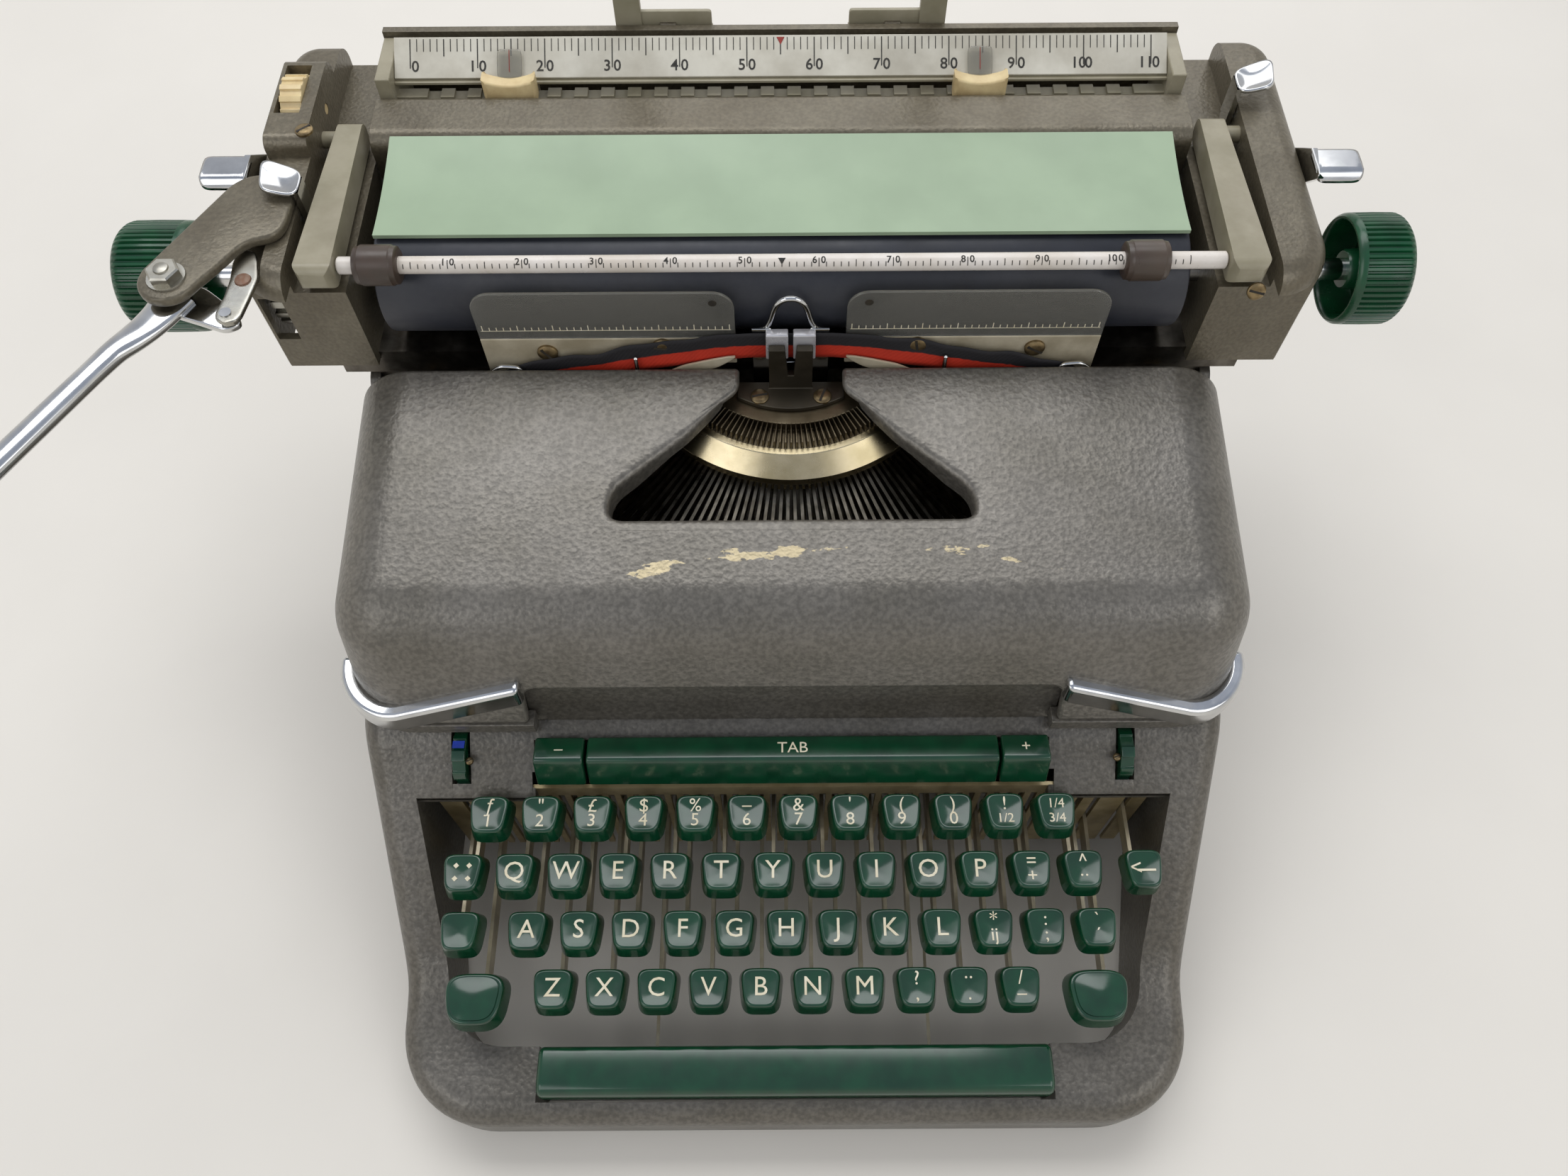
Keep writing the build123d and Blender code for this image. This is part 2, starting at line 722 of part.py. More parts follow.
with BuildPart() as hood:
    add(hood_body(0, HOOD_REAR))
    add(hood_body(HOOD_WALL, HOOD_REAR + LOOSE_GAP), mode=Mode.SUBTRACT)
    add(
        slab_z(
            HOOD_SHOULDER - HOOD_ROUND,
            2 * HOOD_REAR_TOP,
            outline(
                mirrored(
                    [
                        (MOUTH_HALF, MOUTH_FRONT),
                        (MOUTH_HALF, MOUTH_END),
                        (HORN_HALF, HORN_Y),
                        (HORN_HALF, HOOD_REAR + LOOSE_GAP),
                    ]
                ),
                [MOUTH_ROUND, MOUTH_ROUND, MOUTH_ROUND, 0, 0, MOUTH_ROUND, MOUTH_ROUND, MOUTH_ROUND],
            ),
        ),
        mode=Mode.SUBTRACT,
    )
    notch = outline(
        mirrored([(NOTCH_HALF, HOOD_BASE - LOOSE_GAP), (NOTCH_HALF, NOTCH_TOP)]),
        [0, NOTCH_CORNER, NOTCH_CORNER, 0],
    )
    add(slab_y(HOOD_FRONT - LOOSE_GAP, MOUTH_FRONT - HOOD_ROUND, notch), mode=Mode.SUBTRACT)
write_piece(hood, "hood")

with BuildPart() as chrome_trim:
    for side in (-1, 1):
        add(slab_z(HOOD_BASE - TRIM_HEIGHT, HOOD_BASE, trim_face(side)))
write_piece(chrome_trim, "chrome_trim")


# Keyboard
def key_outline(grow, width, depth):
    """Plan of a key top about its own centre, narrower towards the front, grown by grow."""
    taper = (KEY_BACK - KEY_FRONT) / 2
    front, back = width / 2 - taper + grow, width / 2 + grow
    edge = depth / 2 + grow
    half = [
        (front - KEY_CORNER, -edge),
        (front, KEY_CORNER - edge),
        (back, edge - KEY_CORNER),
        (back - KEY_CORNER, edge),
    ]
    points = mirrored(half)
    return outline(points, [0] * len(points))


def key_top(width, depth):
    """Dished key top about the middle of its upper face, with flared sides."""
    with BuildPart(mode=Mode.PRIVATE) as top:
        with BuildSketch(Plane.XY.offset(-KEY_HEIGHT)):
            add(key_outline(KEY_FLARE, width, depth))
        with BuildSketch(Plane.XY):
            add(key_outline(0, width, depth))
        loft(ruled=True)
        dish = (width * width / 4 + KEY_DISH * KEY_DISH) / (2 * KEY_DISH)
        with BuildSketch(Plane.XZ.offset(-depth)):
            with Locations((0, dish - KEY_DISH)):
                Circle(dish)
        extrude(amount=2 * depth, mode=Mode.SUBTRACT)
    return top.part


def fork(pivot, pin_radius, wall):
    """Points of an open fork that grips a round bar from the front, from its lower to its upper tine."""
    grip = pin_radius + RUN_FIT
    reach = pivot[0] + pin_radius
    return [
        (reach, pivot[1] - grip - wall),
        (reach, pivot[1] - grip),
        (pivot[0] - grip, pivot[1] - grip),
        (pivot[0] - grip, pivot[1] + grip),
        (reach, pivot[1] + grip),
        (reach, pivot[1] + grip + wall),
    ]


def key_lever(x, y, z):
    """Lever of one key, a flat bar with a fork on the rear shaft, and the stem under the key top."""
    front_z = z - LEVER_DROP
    front_y = y - STEM_DEPTH / 2
    half = LEVER_TALL / 2
    points = [
        (front_y, front_z + half),
        (front_y, front_z - half),
        *fork((SHAFT_Y, SHAFT_Z), SHAFT_RADIUS, FORK_WALL),
    ]
    near, far = x - LEVER_THICK / 2, x + LEVER_THICK / 2
    with BuildPart(mode=Mode.PRIVATE) as lever:
        add(slab_x(near, far, outline(points, [0] * len(points))))
        foot = (near, front_y, front_z + half + SEAT_GAP)
        add(block(foot, (far, front_y + STEM_DEPTH, z - KEY_HEIGHT - SEAT_GAP)))
    return lever.part


def key_row(first_x, y, z, keys):
    """One row of keys with their levers, side by side at the key pitch."""
    top = key_top(KEY_BACK, KEY_DEPTH)
    lever = key_lever(first_x, y, z)
    with BuildPart() as row:
        with Locations([(first_x + i * KEY_PITCH, y, z) for i in range(keys)]):
            add(top)
        with Locations([(i * KEY_PITCH, 0, 0) for i in range(keys)]):
            add(lever)
    return row


def control_key(name, x, y, z, width, depth, lever_x):
    """A key off the typing rows, with its own lever."""
    with BuildPart() as key:
        add(key_top(width, depth).moved(Location((x, y, z))))
        add(key_lever(lever_x, y, z))
    write_piece(key, name)


rows = (
    ("number_row", NUMBER_X, 0, NUMBER_KEYS),
    ("upper_row", UPPER_X, 1, UPPER_KEYS),
    ("home_row", HOME_X, 2, HOME_KEYS),
    ("lower_row", LOWER_X, 3, LOWER_KEYS),
)
for name, first_x, step, keys in rows:
    row = key_row(first_x, NUMBER_Y - step * ROW_PITCH, NUMBER_Z - step * ROW_RISE, keys)
    write_piece(row, name)

UPPER_ROW = (NUMBER_Y - ROW_PITCH, NUMBER_Z - ROW_RISE)
HOME_ROW = (NUMBER_Y - 2 * ROW_PITCH, NUMBER_Z - 2 * ROW_RISE)
control_key("margin_release", MARGIN_KEY_X, *UPPER_ROW, KEY_BACK, KEY_DEPTH, MARGIN_KEY_LEVER)
control_key("backspace", BACKSPACE_X, *UPPER_ROW, KEY_BACK, KEY_DEPTH, BACKSPACE_LEVER)
control_key("shift_lock", LOCK_X, *HOME_ROW, KEY_BACK, KEY_DEPTH, LOCK_LEVER)

with BuildPart() as shift_keys:
    for x, lever_x in zip(SHIFT_X, SHIFT_LEVERS):
        add(key_top(SHIFT_WIDTH, SHIFT_DEPTH).moved(Location((x, SHIFT_Y, SHIFT_Z))))
        add(key_lever(lever_x, SHIFT_Y, SHIFT_Z))
write_piece(shift_keys, "shift_keys")

with BuildPart() as space_bar:
    bar = outline(
        [
            (SPACE_Y[0], SPACE_Z[0]),
            (SPACE_Y[1], SPACE_Z[0]),
            (SPACE_Y[1], SPACE_Z[1]),
            (SPACE_Y[0], SPACE_Z[1]),
        ],
        [SPACE_EDGE, SPACE_EDGE, SPACE_ROUND / 2, SPACE_ROUND],
    )
    add(slab_x(-SPACE_HALF, SPACE_HALF, bar))
    arm = [
        (SPACE_Y[1], SPACE_ARM_Z + SPACE_ARM_TALL / 2),
        (SPACE_Y[1] - SPACE_EDGE, SPACE_Z[0]),
        (SPACE_Y[0] + SPACE_ROUND, SPACE_Z[0]),
        (SPACE_Y[0] + SPACE_ROUND, SPACE_ARM_Z - SPACE_ARM_TALL / 2),
        *fork((SHAFT_Y, SHAFT_Z), SHAFT_RADIUS, FORK_WALL),
    ]
    for steps in SPACE_ARM_STEPS:
        arm_x = NUMBER_X + steps * LEVER_STEP
        add(slab_x(arm_x - LEVER_THICK / 2, arm_x + LEVER_THICK / 2, outline(arm, [0] * len(arm))))
write_piece(space_bar, "space_bar")


def tab_key(name, start, end):
    """Tabulator key: a ridged bar on arms that reach back to their pivot rod."""
    face = outline(
        [
            (TAB_Y[0], TAB_Z[0]),
            (TAB_Y[1], TAB_Z[0]),
            (TAB_Y[1], TAB_Z[1] - TAB_FALL),
            (TAB_RIDGE_Y, TAB_Z[1]),
        ],
        [0, 0, TAB_EDGE, TAB_EDGE],
    )
    arm = [
        (TAB_Y[1], TAB_Z[0]),
        (TAB_RIDGE_Y, TAB_Z[0]),
        (TAB_RIDGE_Y, TAB_Z[0] - TAB_ARM_TALL),
        *fork(TAB_PIVOT, TAB_PIN_RADIUS, TAB_FORK_WALL),
    ]
    with BuildPart() as key:
        add(slab_x(start + TAB_GAP, end - TAB_GAP, face))
        for x in (start + TAB_ARM_INSET, end - TAB_ARM_INSET - TAB_ARM_THICK):
            add(slab_x(x, x + TAB_ARM_THICK, outline(arm, [0] * len(arm))))
    write_piece(key, name)


for name, start, end in zip(("tab_minus", "tab_bar", "tab_plus"), TAB_SPLITS, TAB_SPLITS[1:]):
    tab_key(name, start, end)


def selector(name, x):
    """Rocking selector that stands out of its slot in the deck."""
    with BuildPart() as wheel:
        with BuildSketch(Plane.YZ.offset(x - SELECTOR_WIDTH / 2)):
            with Locations((SELECTOR_Y, SELECTOR_Z)):
                add(toothed_disc(SELECTOR_RADIUS, SELECTOR_TOOTH, SELECTOR_TEETH))
                Circle(SELECTOR_HUB + RUN_FIT, mode=Mode.SUBTRACT)
        extrude(amount=SELECTOR_WIDTH)
    write_piece(wheel, name)


selector("ribbon_selector", -SELECTOR_X)
selector("touch_lever", SELECTOR_X)

with BuildPart() as key_comb:
    add(block((-COMB_HALF, COMB_Y, COMB_BASE), (COMB_HALF, COMB_Y + COMB_THICK, COMB_TOP)))
    lever_places = [first_x + i * KEY_PITCH for _, first_x, _, keys in rows for i in range(keys)]
    lever_places += [NUMBER_X + steps * LEVER_STEP for steps in SPACE_ARM_STEPS]
    lever_places += [*SHIFT_LEVERS, LOCK_LEVER, MARGIN_KEY_LEVER, BACKSPACE_LEVER]
    slot_height = COMB_SLOT_TOP - COMB_BASE
    with BuildSketch(Plane.XZ.offset(-COMB_Y - COMB_THICK)):
        with Locations([(x, COMB_BASE + slot_height / 2) for x in lever_places]):
            Rectangle(COMB_SLOT, slot_height)
    extrude(amount=COMB_THICK, mode=Mode.SUBTRACT)
write_piece(key_comb, "key_comb")

with BuildPart() as key_shaft:
    add(rod_x(-PLATE_X - PLATE_THICK, PLATE_X + PLATE_THICK, (SHAFT_Y, SHAFT_Z), SHAFT_RADIUS))
write_piece(key_shaft, "key_shaft")


# Chassis, rails and what the frame carries inside
def spool_plate(side):
    """Flat plate under one ribbon spool, reaching in from the side plate."""
    inner, outer = side * SPOOL_PLATE_INNER, side * PLATE_X
    low = (min(inner, outer), SPOOL_PLATE_Y[0], SPOOL_PLATE_TOP - PLATE_THICK)
    return block(low, (max(inner, outer), SPOOL_PLATE_Y[1], SPOOL_PLATE_TOP))


with BuildPart() as chassis:
    for side in (-1, 1):
        plate = outline(
            [
                (CHASSIS_FRONT, CHASSIS_BASE),
                (CHASSIS_REAR, CHASSIS_BASE),
                (CHASSIS_REAR, RAIL_BASE),
                (PLATE_SLOPE_Y, RAIL_BASE),
                (CHASSIS_FRONT, CROSS_FRONT_Z[1]),
            ],
            [EDGE_ROUND, EDGE_ROUND, 0, 0, EDGE_ROUND / 2],
        )
        start = side * (PLATE_X + PLATE_THICK / 2) - PLATE_THICK / 2
        add(slab_x(start, start + PLATE_THICK, plate))
        add(spool_plate(side))
        spindle_top = SPOOL_BASE + SPOOL_HEIGHT
        add(rod_z(SPOOL_PLATE_TOP - PLATE_THICK, spindle_top, (side * SPOOL_X, SPOOL_Y), SPINDLE_RADIUS))
        bridge_x = sorted((side * BRIDGE_INNER, side * PLATE_X))
        add(
            block(
                (bridge_x[0], BRIDGE_FRONT, RAIL_BASE - PLATE_THICK),
                (bridge_x[1], FRONT_RAIL_Y, RAIL_BASE),
            )
        )
        post_y = RIBBON_Y - POST_RADIUS - SLIDE_GAP
        add(rod_z(SPOOL_PLATE_TOP - PLATE_THICK, WINDING_Z[1], (side * POST_X, post_y), POST_RADIUS))
        add(rod_z(SHIFT_POST_BASE, RAIL_BASE, (side * SHIFT_POST_X, SHIFT_POST_Y), SHIFT_POST_RADIUS))
    for rail_y in (FRONT_RAIL_Y, REAR_RAIL_Y):
        low = (-CASE_INNER + SEAT_GAP, rail_y - CROSS_THICK / 2, SHIFT_POST_BASE - CROSS_THICK)
        add(block(low, (CASE_INNER - SEAT_GAP, rail_y + CROSS_THICK / 2, RAIL_BASE)))
    low = (-SHIFT_POST_X - SHIFT_SHELF, SHIFT_POST_Y - SHIFT_SHELF, SHIFT_POST_BASE - CROSS_THICK)
    add(block(low, (SHIFT_POST_X + SHIFT_SHELF, FRONT_RAIL_Y, SHIFT_POST_BASE)))
    low = (-PLATE_X, CHASSIS_FRONT, CROSS_FRONT_Z[0])
    add(block(low, (PLATE_X, CHASSIS_FRONT + CROSS_THICK, CROSS_FRONT_Z[1])))
    add(rod_x(-PLATE_X, PLATE_X, TAB_PIVOT, TAB_PIN_RADIUS))
    for side in (-1, 1):
        hub = side * (SELECTOR_X - SELECTOR_WIDTH)
        arm_x = sorted((hub, hub - side * PLATE_THICK))
        arm_low = (arm_x[0], SELECTOR_Y - SELECTOR_HUB, CROSS_FRONT_Z[0])
        add(block(arm_low, (arm_x[1], CHASSIS_FRONT, SELECTOR_Z + SELECTOR_HUB)))
        pin = sorted((hub, side * (SELECTOR_X + SELECTOR_WIDTH / 2)))
        add(rod_x(pin[0], pin[1], (SELECTOR_Y, SELECTOR_Z), SELECTOR_HUB))
    comb_low = (-COMB_SHELF_HALF, COMB_Y + COMB_THICK, COMB_SHELF_Z[0])
    add(block(comb_low, (COMB_SHELF_HALF, CHASSIS_FRONT, COMB_SHELF_Z[1])))
    with BuildSketch(Plane.YZ.offset(-PLATE_X - PLATE_THICK)):
        with Locations((SHAFT_Y, SHAFT_Z)):
            Circle(SHAFT_RADIUS + RUN_FIT)
    extrude(amount=2 * (PLATE_X + PLATE_THICK), mode=Mode.SUBTRACT)
    shelf_low = (ESCAPE_X - ESCAPE_RADIUS / 2, ESCAPE_Y - ESCAPE_RADIUS / 2, SHIFT_POST_BASE)
    shelf_high = (ESCAPE_X + ESCAPE_RADIUS / 2, REAR_RAIL_Y, SHIFT_POST_BASE + CROSS_THICK)
    add(block(shelf_low, shelf_high))
    add(rod_z(0, RAIL_TOP, (ESCAPE_X, ESCAPE_Y), SPINDLE_RADIUS + RUN_FIT), mode=Mode.SUBTRACT)
    drum_pin_y = (REAR_RAIL_Y - DRUM_WIDTH - CROSS_THICK, REAR_RAIL_Y)
    with BuildSketch(Plane.XZ.offset(-drum_pin_y[1])):
        with Locations((DRUM_X, DRUM_Z)):
            Circle(DRUM_PIN)
    extrude(amount=drum_pin_y[1] - drum_pin_y[0])
write_piece(chassis, "chassis")

with BuildPart() as carriage_rails:
    for rail_y in (FRONT_RAIL_Y, REAR_RAIL_Y):
        low = (-RAIL_HALF, rail_y - RAIL_WIDTH / 2, RAIL_BASE)
        add(block(low, (RAIL_HALF, rail_y + RAIL_WIDTH / 2, RAIL_TOP)))
write_piece(carriage_rails, "carriage_rails")

with BuildPart() as mainspring_drum:
    drum_back = REAR_RAIL_Y - CROSS_THICK / 2 - SLIDE_GAP
    with BuildSketch(Plane.XZ.offset(-drum_back)):
        with Locations((DRUM_X, DRUM_Z)):
            Circle(DRUM_RADIUS)
            Circle(DRUM_PIN + RUN_FIT, mode=Mode.SUBTRACT)
    extrude(amount=DRUM_WIDTH)
write_piece(mainspring_drum, "mainspring_drum")

with BuildPart() as escapement_wheel:
    wheel_z = SHIFT_POST_BASE + CROSS_THICK + SLIDE_GAP
    with BuildSketch(Plane.XY.offset(wheel_z)):
        with Locations((ESCAPE_X, ESCAPE_Y)):
            add(toothed_disc(ESCAPE_RADIUS, ESCAPE_DEPTH, ESCAPE_TEETH))
    extrude(amount=ESCAPE_THICK)
    add(rod_z(SHIFT_POST_BASE, PINION_TOP, (ESCAPE_X, ESCAPE_Y), SPINDLE_RADIUS))
    add(rod_z(BED_BASE, PINION_TOP - SLIDE_GAP, (ESCAPE_X, ESCAPE_Y), PINION_RADIUS))
write_piece(escapement_wheel, "escapement_wheel")


# Type basket
def ring_sector(section, sweep):
    """Ring turned about the basket's upright line, centred on the front, from a section in R and Z."""
    with BuildPart(mode=Mode.PRIVATE) as ring:
        with BuildSketch(Plane.XZ.rotated((0, 0, -90 - sweep / 2))):
            add(outline(section, [0] * len(section)))
        revolve(axis=Axis.Z, revolution_arc=sweep)
    return ring.part.moved(Location((0, BASKET_Y, 0)))


def fan(count, step, radius):
    """Places round the basket's front, each turned so that its own X points outwards."""
    first = -90 - step * (count - 1) / 2
    places = []
    for i in range(count):
        turn = first + i * step
        x, y = radius * cos(radians(turn)), BASKET_Y + radius * sin(radians(turn))
        places.append(Location((x, y, 0), turn))
    return places


with BuildPart() as segment:
    add(
        ring_sector(
            [
                (SEGMENT_INNER, SEGMENT_BASE),
                (SEGMENT_INNER, SEGMENT_TOP),
                (SEGMENT_SHELF, SEGMENT_TOP),
                (SEGMENT_SHELF, LIP_TOP),
                (SEGMENT_STEP, LIP_TOP),
                (SEGMENT_OUTER, LIP_EDGE[0]),
                (SEGMENT_OUTER, LIP_EDGE[1]),
                (SEGMENT_WALL, LIP_BASE),
                (SEGMENT_WALL, SEGMENT_BASE),
            ],
            BASKET_SWEEP,
        )
    )
    with BuildSketch(Plane.XY.offset(SEGMENT_TOP - SLOT_DEPTH)):
        with Locations(fan(TYPEBARS, TYPEBAR_STEP, (SLOT_INNER + SEGMENT_SHELF) / 2)):
            Rectangle(SEGMENT_SHELF - SLOT_INNER + LOOSE_GAP, SLOT_WIDTH)
    extrude(amount=SLOT_DEPTH, mode=Mode.SUBTRACT)
    for side in (-1, 1):
        post = (side * SHIFT_POST_X, SHIFT_POST_Y)
        bore = rod_z(SEGMENT_BASE, SEGMENT_TOP, post, SHIFT_POST_RADIUS + RUN_FIT)
        add(bore, mode=Mode.SUBTRACT)
write_piece(segment, "segment")

with BuildPart() as one_typebar:
    with BuildSketch(Plane.XZ):
        fall = TYPEBAR_LENGTH * TYPEBAR_SLOPE
        half = TYPEBAR_TALL / 2
        add(
            outline(
                [
                    (0, TYPEBAR_Z - half),
                    (0, TYPEBAR_Z + half),
                    (TYPEBAR_LENGTH, TYPEBAR_Z - fall + half),
                    (TYPEBAR_LENGTH, TYPEBAR_Z - fall - half),
                ],
                [0, 0, 0, 0],
            )
        )
    extrude(amount=TYPEBAR_THICK / 2, both=True)
    drop = fall + SLUG_LENGTH / 2 * TYPEBAR_SLOPE
    with Locations((TYPEBAR_LENGTH, 0, TYPEBAR_Z - drop + half)):
        Box(SLUG_LENGTH, SLUG_WIDTH, SLUG_TALL, align=(Align.CENTER, Align.CENTER, Align.MAX))

with BuildPart() as typebars:
    with Locations(fan(TYPEBARS, TYPEBAR_STEP, TYPEBAR_START)):
        add(one_typebar.part)
write_piece(typebars, "typebars")

with BuildPart() as typebar_rest:
    rest_fall = ((REST_RADIUS[0] + REST_RADIUS[1]) / 2 - TYPEBAR_START) * TYPEBAR_SLOPE
    rest_top = TYPEBAR_Z - rest_fall - TYPEBAR_TALL / 2 - LOOSE_GAP
    low, high = rest_top - REST_THICK, rest_top
    section = [(REST_RADIUS[0], low), (REST_RADIUS[0], high), (REST_RADIUS[1], high), (REST_RADIUS[1], low)]
    add(ring_sector(section, REST_SWEEP))
    arm_length = REST_RADIUS[0] - SEGMENT_SHELF + LOOSE_GAP
    arm_radius = SEGMENT_SHELF + arm_length / 2
    with BuildSketch(Plane.XY.offset(low)):
        with Locations(fan(2, REST_ARM_SWEEP, arm_radius)):
            Rectangle(arm_length, REST_THICK)
    extrude(amount=REST_THICK)
    with BuildSketch(Plane.XY.offset(low)):
        with Locations(fan(2, REST_ARM_SWEEP, SEGMENT_SHELF + REST_THICK / 2)):
            Rectangle(REST_THICK, REST_THICK)
    extrude(amount=SEGMENT_BASE - SEAT_GAP - low)
write_piece(typebar_rest, "typebar_rest")

with BuildPart() as type_guide:
    with BuildSketch(Plane.XY.offset(SEGMENT_TOP)):
        with Locations((0, BASKET_Y)):
            Circle(GUIDE_PLATE_RADIUS)
        plate_back = GUIDE_Y[1]
        with Locations((0, (plate_back + BASKET_Y - GUIDE_PLATE_RADIUS) / 2)):
            Rectangle(
                2 * GUIDE_PLATE_HALF, plate_back - BASKET_Y + GUIDE_PLATE_RADIUS, mode=Mode.INTERSECT
            )
    extrude(amount=GUIDE_PLATE_THICK)
    add(block((-GUIDE_HALF, GUIDE_Y[0], SEGMENT_TOP), (GUIDE_HALF, GUIDE_Y[1], GUIDE_TOP)))
    slot = outline(
        mirrored([(GUIDE_SLOT / 2, VIBRATOR_SILL), (GUIDE_SLOT, GUIDE_TOP + LOOSE_GAP)]), [0, 0, 0, 0]
    )
    add(slab_y(GUIDE_Y[0] - LOOSE_GAP, GUIDE_Y[1] + LOOSE_GAP, slot), mode=Mode.SUBTRACT)
write_piece(type_guide, "type_guide")


# Ribbon and what guides it
def spool(name, x):
    """Ribbon spool on its spindle, with the wound ribbon as a second solid."""
    top = SPOOL_BASE + SPOOL_HEIGHT
    with BuildPart() as reel:
        add(rod_z(SPOOL_BASE, SPOOL_BASE + SPOOL_FLANGE, (x, SPOOL_Y), SPOOL_RADIUS))
        add(rod_z(top - SPOOL_FLANGE, top, (x, SPOOL_Y), SPOOL_RADIUS))
        add(rod_z(SPOOL_BASE, top, (x, SPOOL_Y), SPOOL_HUB))
        add(rod_z(SPOOL_BASE, top, (x, SPOOL_Y), SPINDLE_RADIUS + RUN_FIT), mode=Mode.SUBTRACT)
        with BuildSketch(Plane.XY.offset(WINDING_Z[0] + RUN_FIT)):
            with Locations((x, SPOOL_Y)):
                Circle(WINDING_RADIUS)
                Circle(SPOOL_HUB + RUN_FIT, mode=Mode.SUBTRACT)
        extrude(amount=WINDING_Z[1] - WINDING_Z[0] - 2 * RUN_FIT)
    write_piece(reel, name)


spool("left_spool", -SPOOL_X)
spool("right_spool", SPOOL_X)

with BuildPart() as ribbon:
    side_z = (WINDING_Z[0] + WINDING_Z[1]) / 2
    half = RIBBON_WIDTH / 2
    centre = RIBBON_CENTRE_Z
    turn_x = POST_X + POST_RADIUS + SLIDE_GAP
    upper = [(RIBBON_FLAT_HALF, centre + half), (turn_x, side_z + half)]
    lower = [(turn_x, side_z - half), (RIBBON_FLAT_HALF, centre - half)]
    face = upper + lower + [(-x, z) for x, z in reversed(upper + lower)]
    add(slab_y(RIBBON_Y, RIBBON_Y + RIBBON_THICK, outline(face, [0] * len(face))))
    reach = WINDING_RADIUS + SLIDE_GAP + RIBBON_THICK / 2
    from_spool = (turn_x - SPOOL_X, RIBBON_Y + RIBBON_THICK - SPOOL_Y)
    lean = atan2(from_spool[1], from_spool[0]) - acos(reach / hypot(*from_spool))
    for side in (-1, 1):
        leave = (side * (SPOOL_X + reach * cos(lean)), SPOOL_Y + reach * sin(lean))
        corner = (side * turn_x, RIBBON_Y + RIBBON_THICK)
        run = hypot(corner[0] - leave[0], corner[1] - leave[1])
        turn = degrees(atan2(corner[1] - leave[1], corner[0] - leave[0]))
        middle = ((leave[0] + corner[0]) / 2, (leave[1] + corner[1]) / 2)
        with BuildSketch(Plane.XY.offset(side_z - half)):
            with Locations(Location((middle[0], middle[1], 0), turn)):
                Rectangle(run, RIBBON_THICK)
        extrude(amount=RIBBON_WIDTH)
write_piece(ribbon, "ribbon")

with BuildPart() as ribbon_vibrator:
    plate = block(
        (-VIBRATOR_HALF, VIBRATOR_Y, SHIFT_POST_BASE + SLIDE_GAP),
        (VIBRATOR_HALF, VIBRATOR_Y + VIBRATOR_THICK, VIBRATOR_TOP),
    )
    add(plate)
    window = block(
        (-VIBRATOR_WINDOW, VIBRATOR_Y - LOOSE_GAP, VIBRATOR_SILL),
        (VIBRATOR_WINDOW, VIBRATOR_Y + LOOSE_GAP, VIBRATOR_TOP + LOOSE_GAP),
    )
    add(window, mode=Mode.SUBTRACT)
write_piece(ribbon_vibrator, "ribbon_vibrator")

with BuildPart() as line_gauge:
    with BuildLine() as wire:
        FilletPolyline(
            (-GAUGE_HALF, GAUGE_Y, GAUGE_FOOT_Z),
            (-GAUGE_NECK, GAUGE_Y, GAUGE_FOOT_Z + GAUGE_NECK),
            (-GAUGE_NECK / 2, GAUGE_Y, GAUGE_TOP_Z),
            (GAUGE_NECK / 2, GAUGE_Y, GAUGE_TOP_Z),
            (GAUGE_NECK, GAUGE_Y, GAUGE_FOOT_Z + GAUGE_NECK),
            (GAUGE_HALF, GAUGE_Y, GAUGE_FOOT_Z),
            radius=GAUGE_NECK / 2,
        )
    with BuildSketch(Plane(origin=wire.line @ 0, z_dir=wire.line % 0)):
        RegularPolygon(GAUGE_RADIUS, GAUGE_SIDES)
    sweep()
write_piece(line_gauge, "line_gauge")


def card_face(side, low, high, round_top):
    """Upright outline of one card holder piece, with rounded upper corners where asked."""
    inner, outer = side * CARD_X[0], side * CARD_X[1]
    return outline([(inner, low), (outer, low), (outer, high), (inner, high)], [0, 0, round_top, round_top])


with BuildPart() as card_brackets:
    for side in (-1, 1):
        face = card_face(side, CARD_CUT, CARD_SPLIT - SEAT_GAP, 0)
        add(slab_y(CARD_Y, CARD_Y + CARD_THICK, face))
        leg_x = sorted((side * BRIDGE_INNER, side * CARD_X[1]))
        leg_low = (leg_x[0], CARD_Y, RAIL_BASE)
        add(block(leg_low, (leg_x[1], CARD_Y + CARD_THICK, CARD_CUT)))
write_piece(card_brackets, "card_brackets")

with BuildPart() as card_plates:
    for side in (-1, 1):
        add(slab_y(CARD_Y, CARD_Y + CARD_THICK, card_face(side, CARD_SPLIT, CARD_TOP, CARD_ROUND)))
write_piece(card_plates, "card_plates")


# Carriage bed and end covers
with BuildPart() as carriage_bed:
    add(block((-BED_HALF, BED_Y[0], BED_BASE), (BED_HALF, BED_Y[1], BED_TOP)))
    groove_half = RAIL_WIDTH / 2 + SLIDE_GAP
    for rail_y in (FRONT_RAIL_Y, REAR_RAIL_Y):
        groove_low = (-BED_HALF, rail_y - groove_half, BED_BASE)
        groove_high = (BED_HALF, rail_y + groove_half, RAIL_TOP + SLIDE_GAP)
        add(block(groove_low, groove_high), mode=Mode.SUBTRACT)
    space_y = (FRONT_RAIL_Y + groove_half + BED_LEG, REAR_RAIL_Y - groove_half - BED_LEG)
    add(block((-BED_HALF, space_y[0], BED_BASE), (BED_HALF, space_y[1], BED_ROOF)), mode=Mode.SUBTRACT)
    add(block((-BED_HALF, RACK_Y[0], BED_BASE), (BED_HALF, RACK_Y[1], BED_ROOF)))
write_piece(carriage_bed, "carriage_bed", CARRIAGE_PLACE)


def side_block(side, x_range, y_range, z_range):
    """Bar given by distances from the carriage's centre plane, on the chosen side of it."""
    start, end = sorted((side * x_range[0], side * x_range[1]))
    return block((start, y_range[0], z_range[0]), (end, y_range[1], z_range[1]))


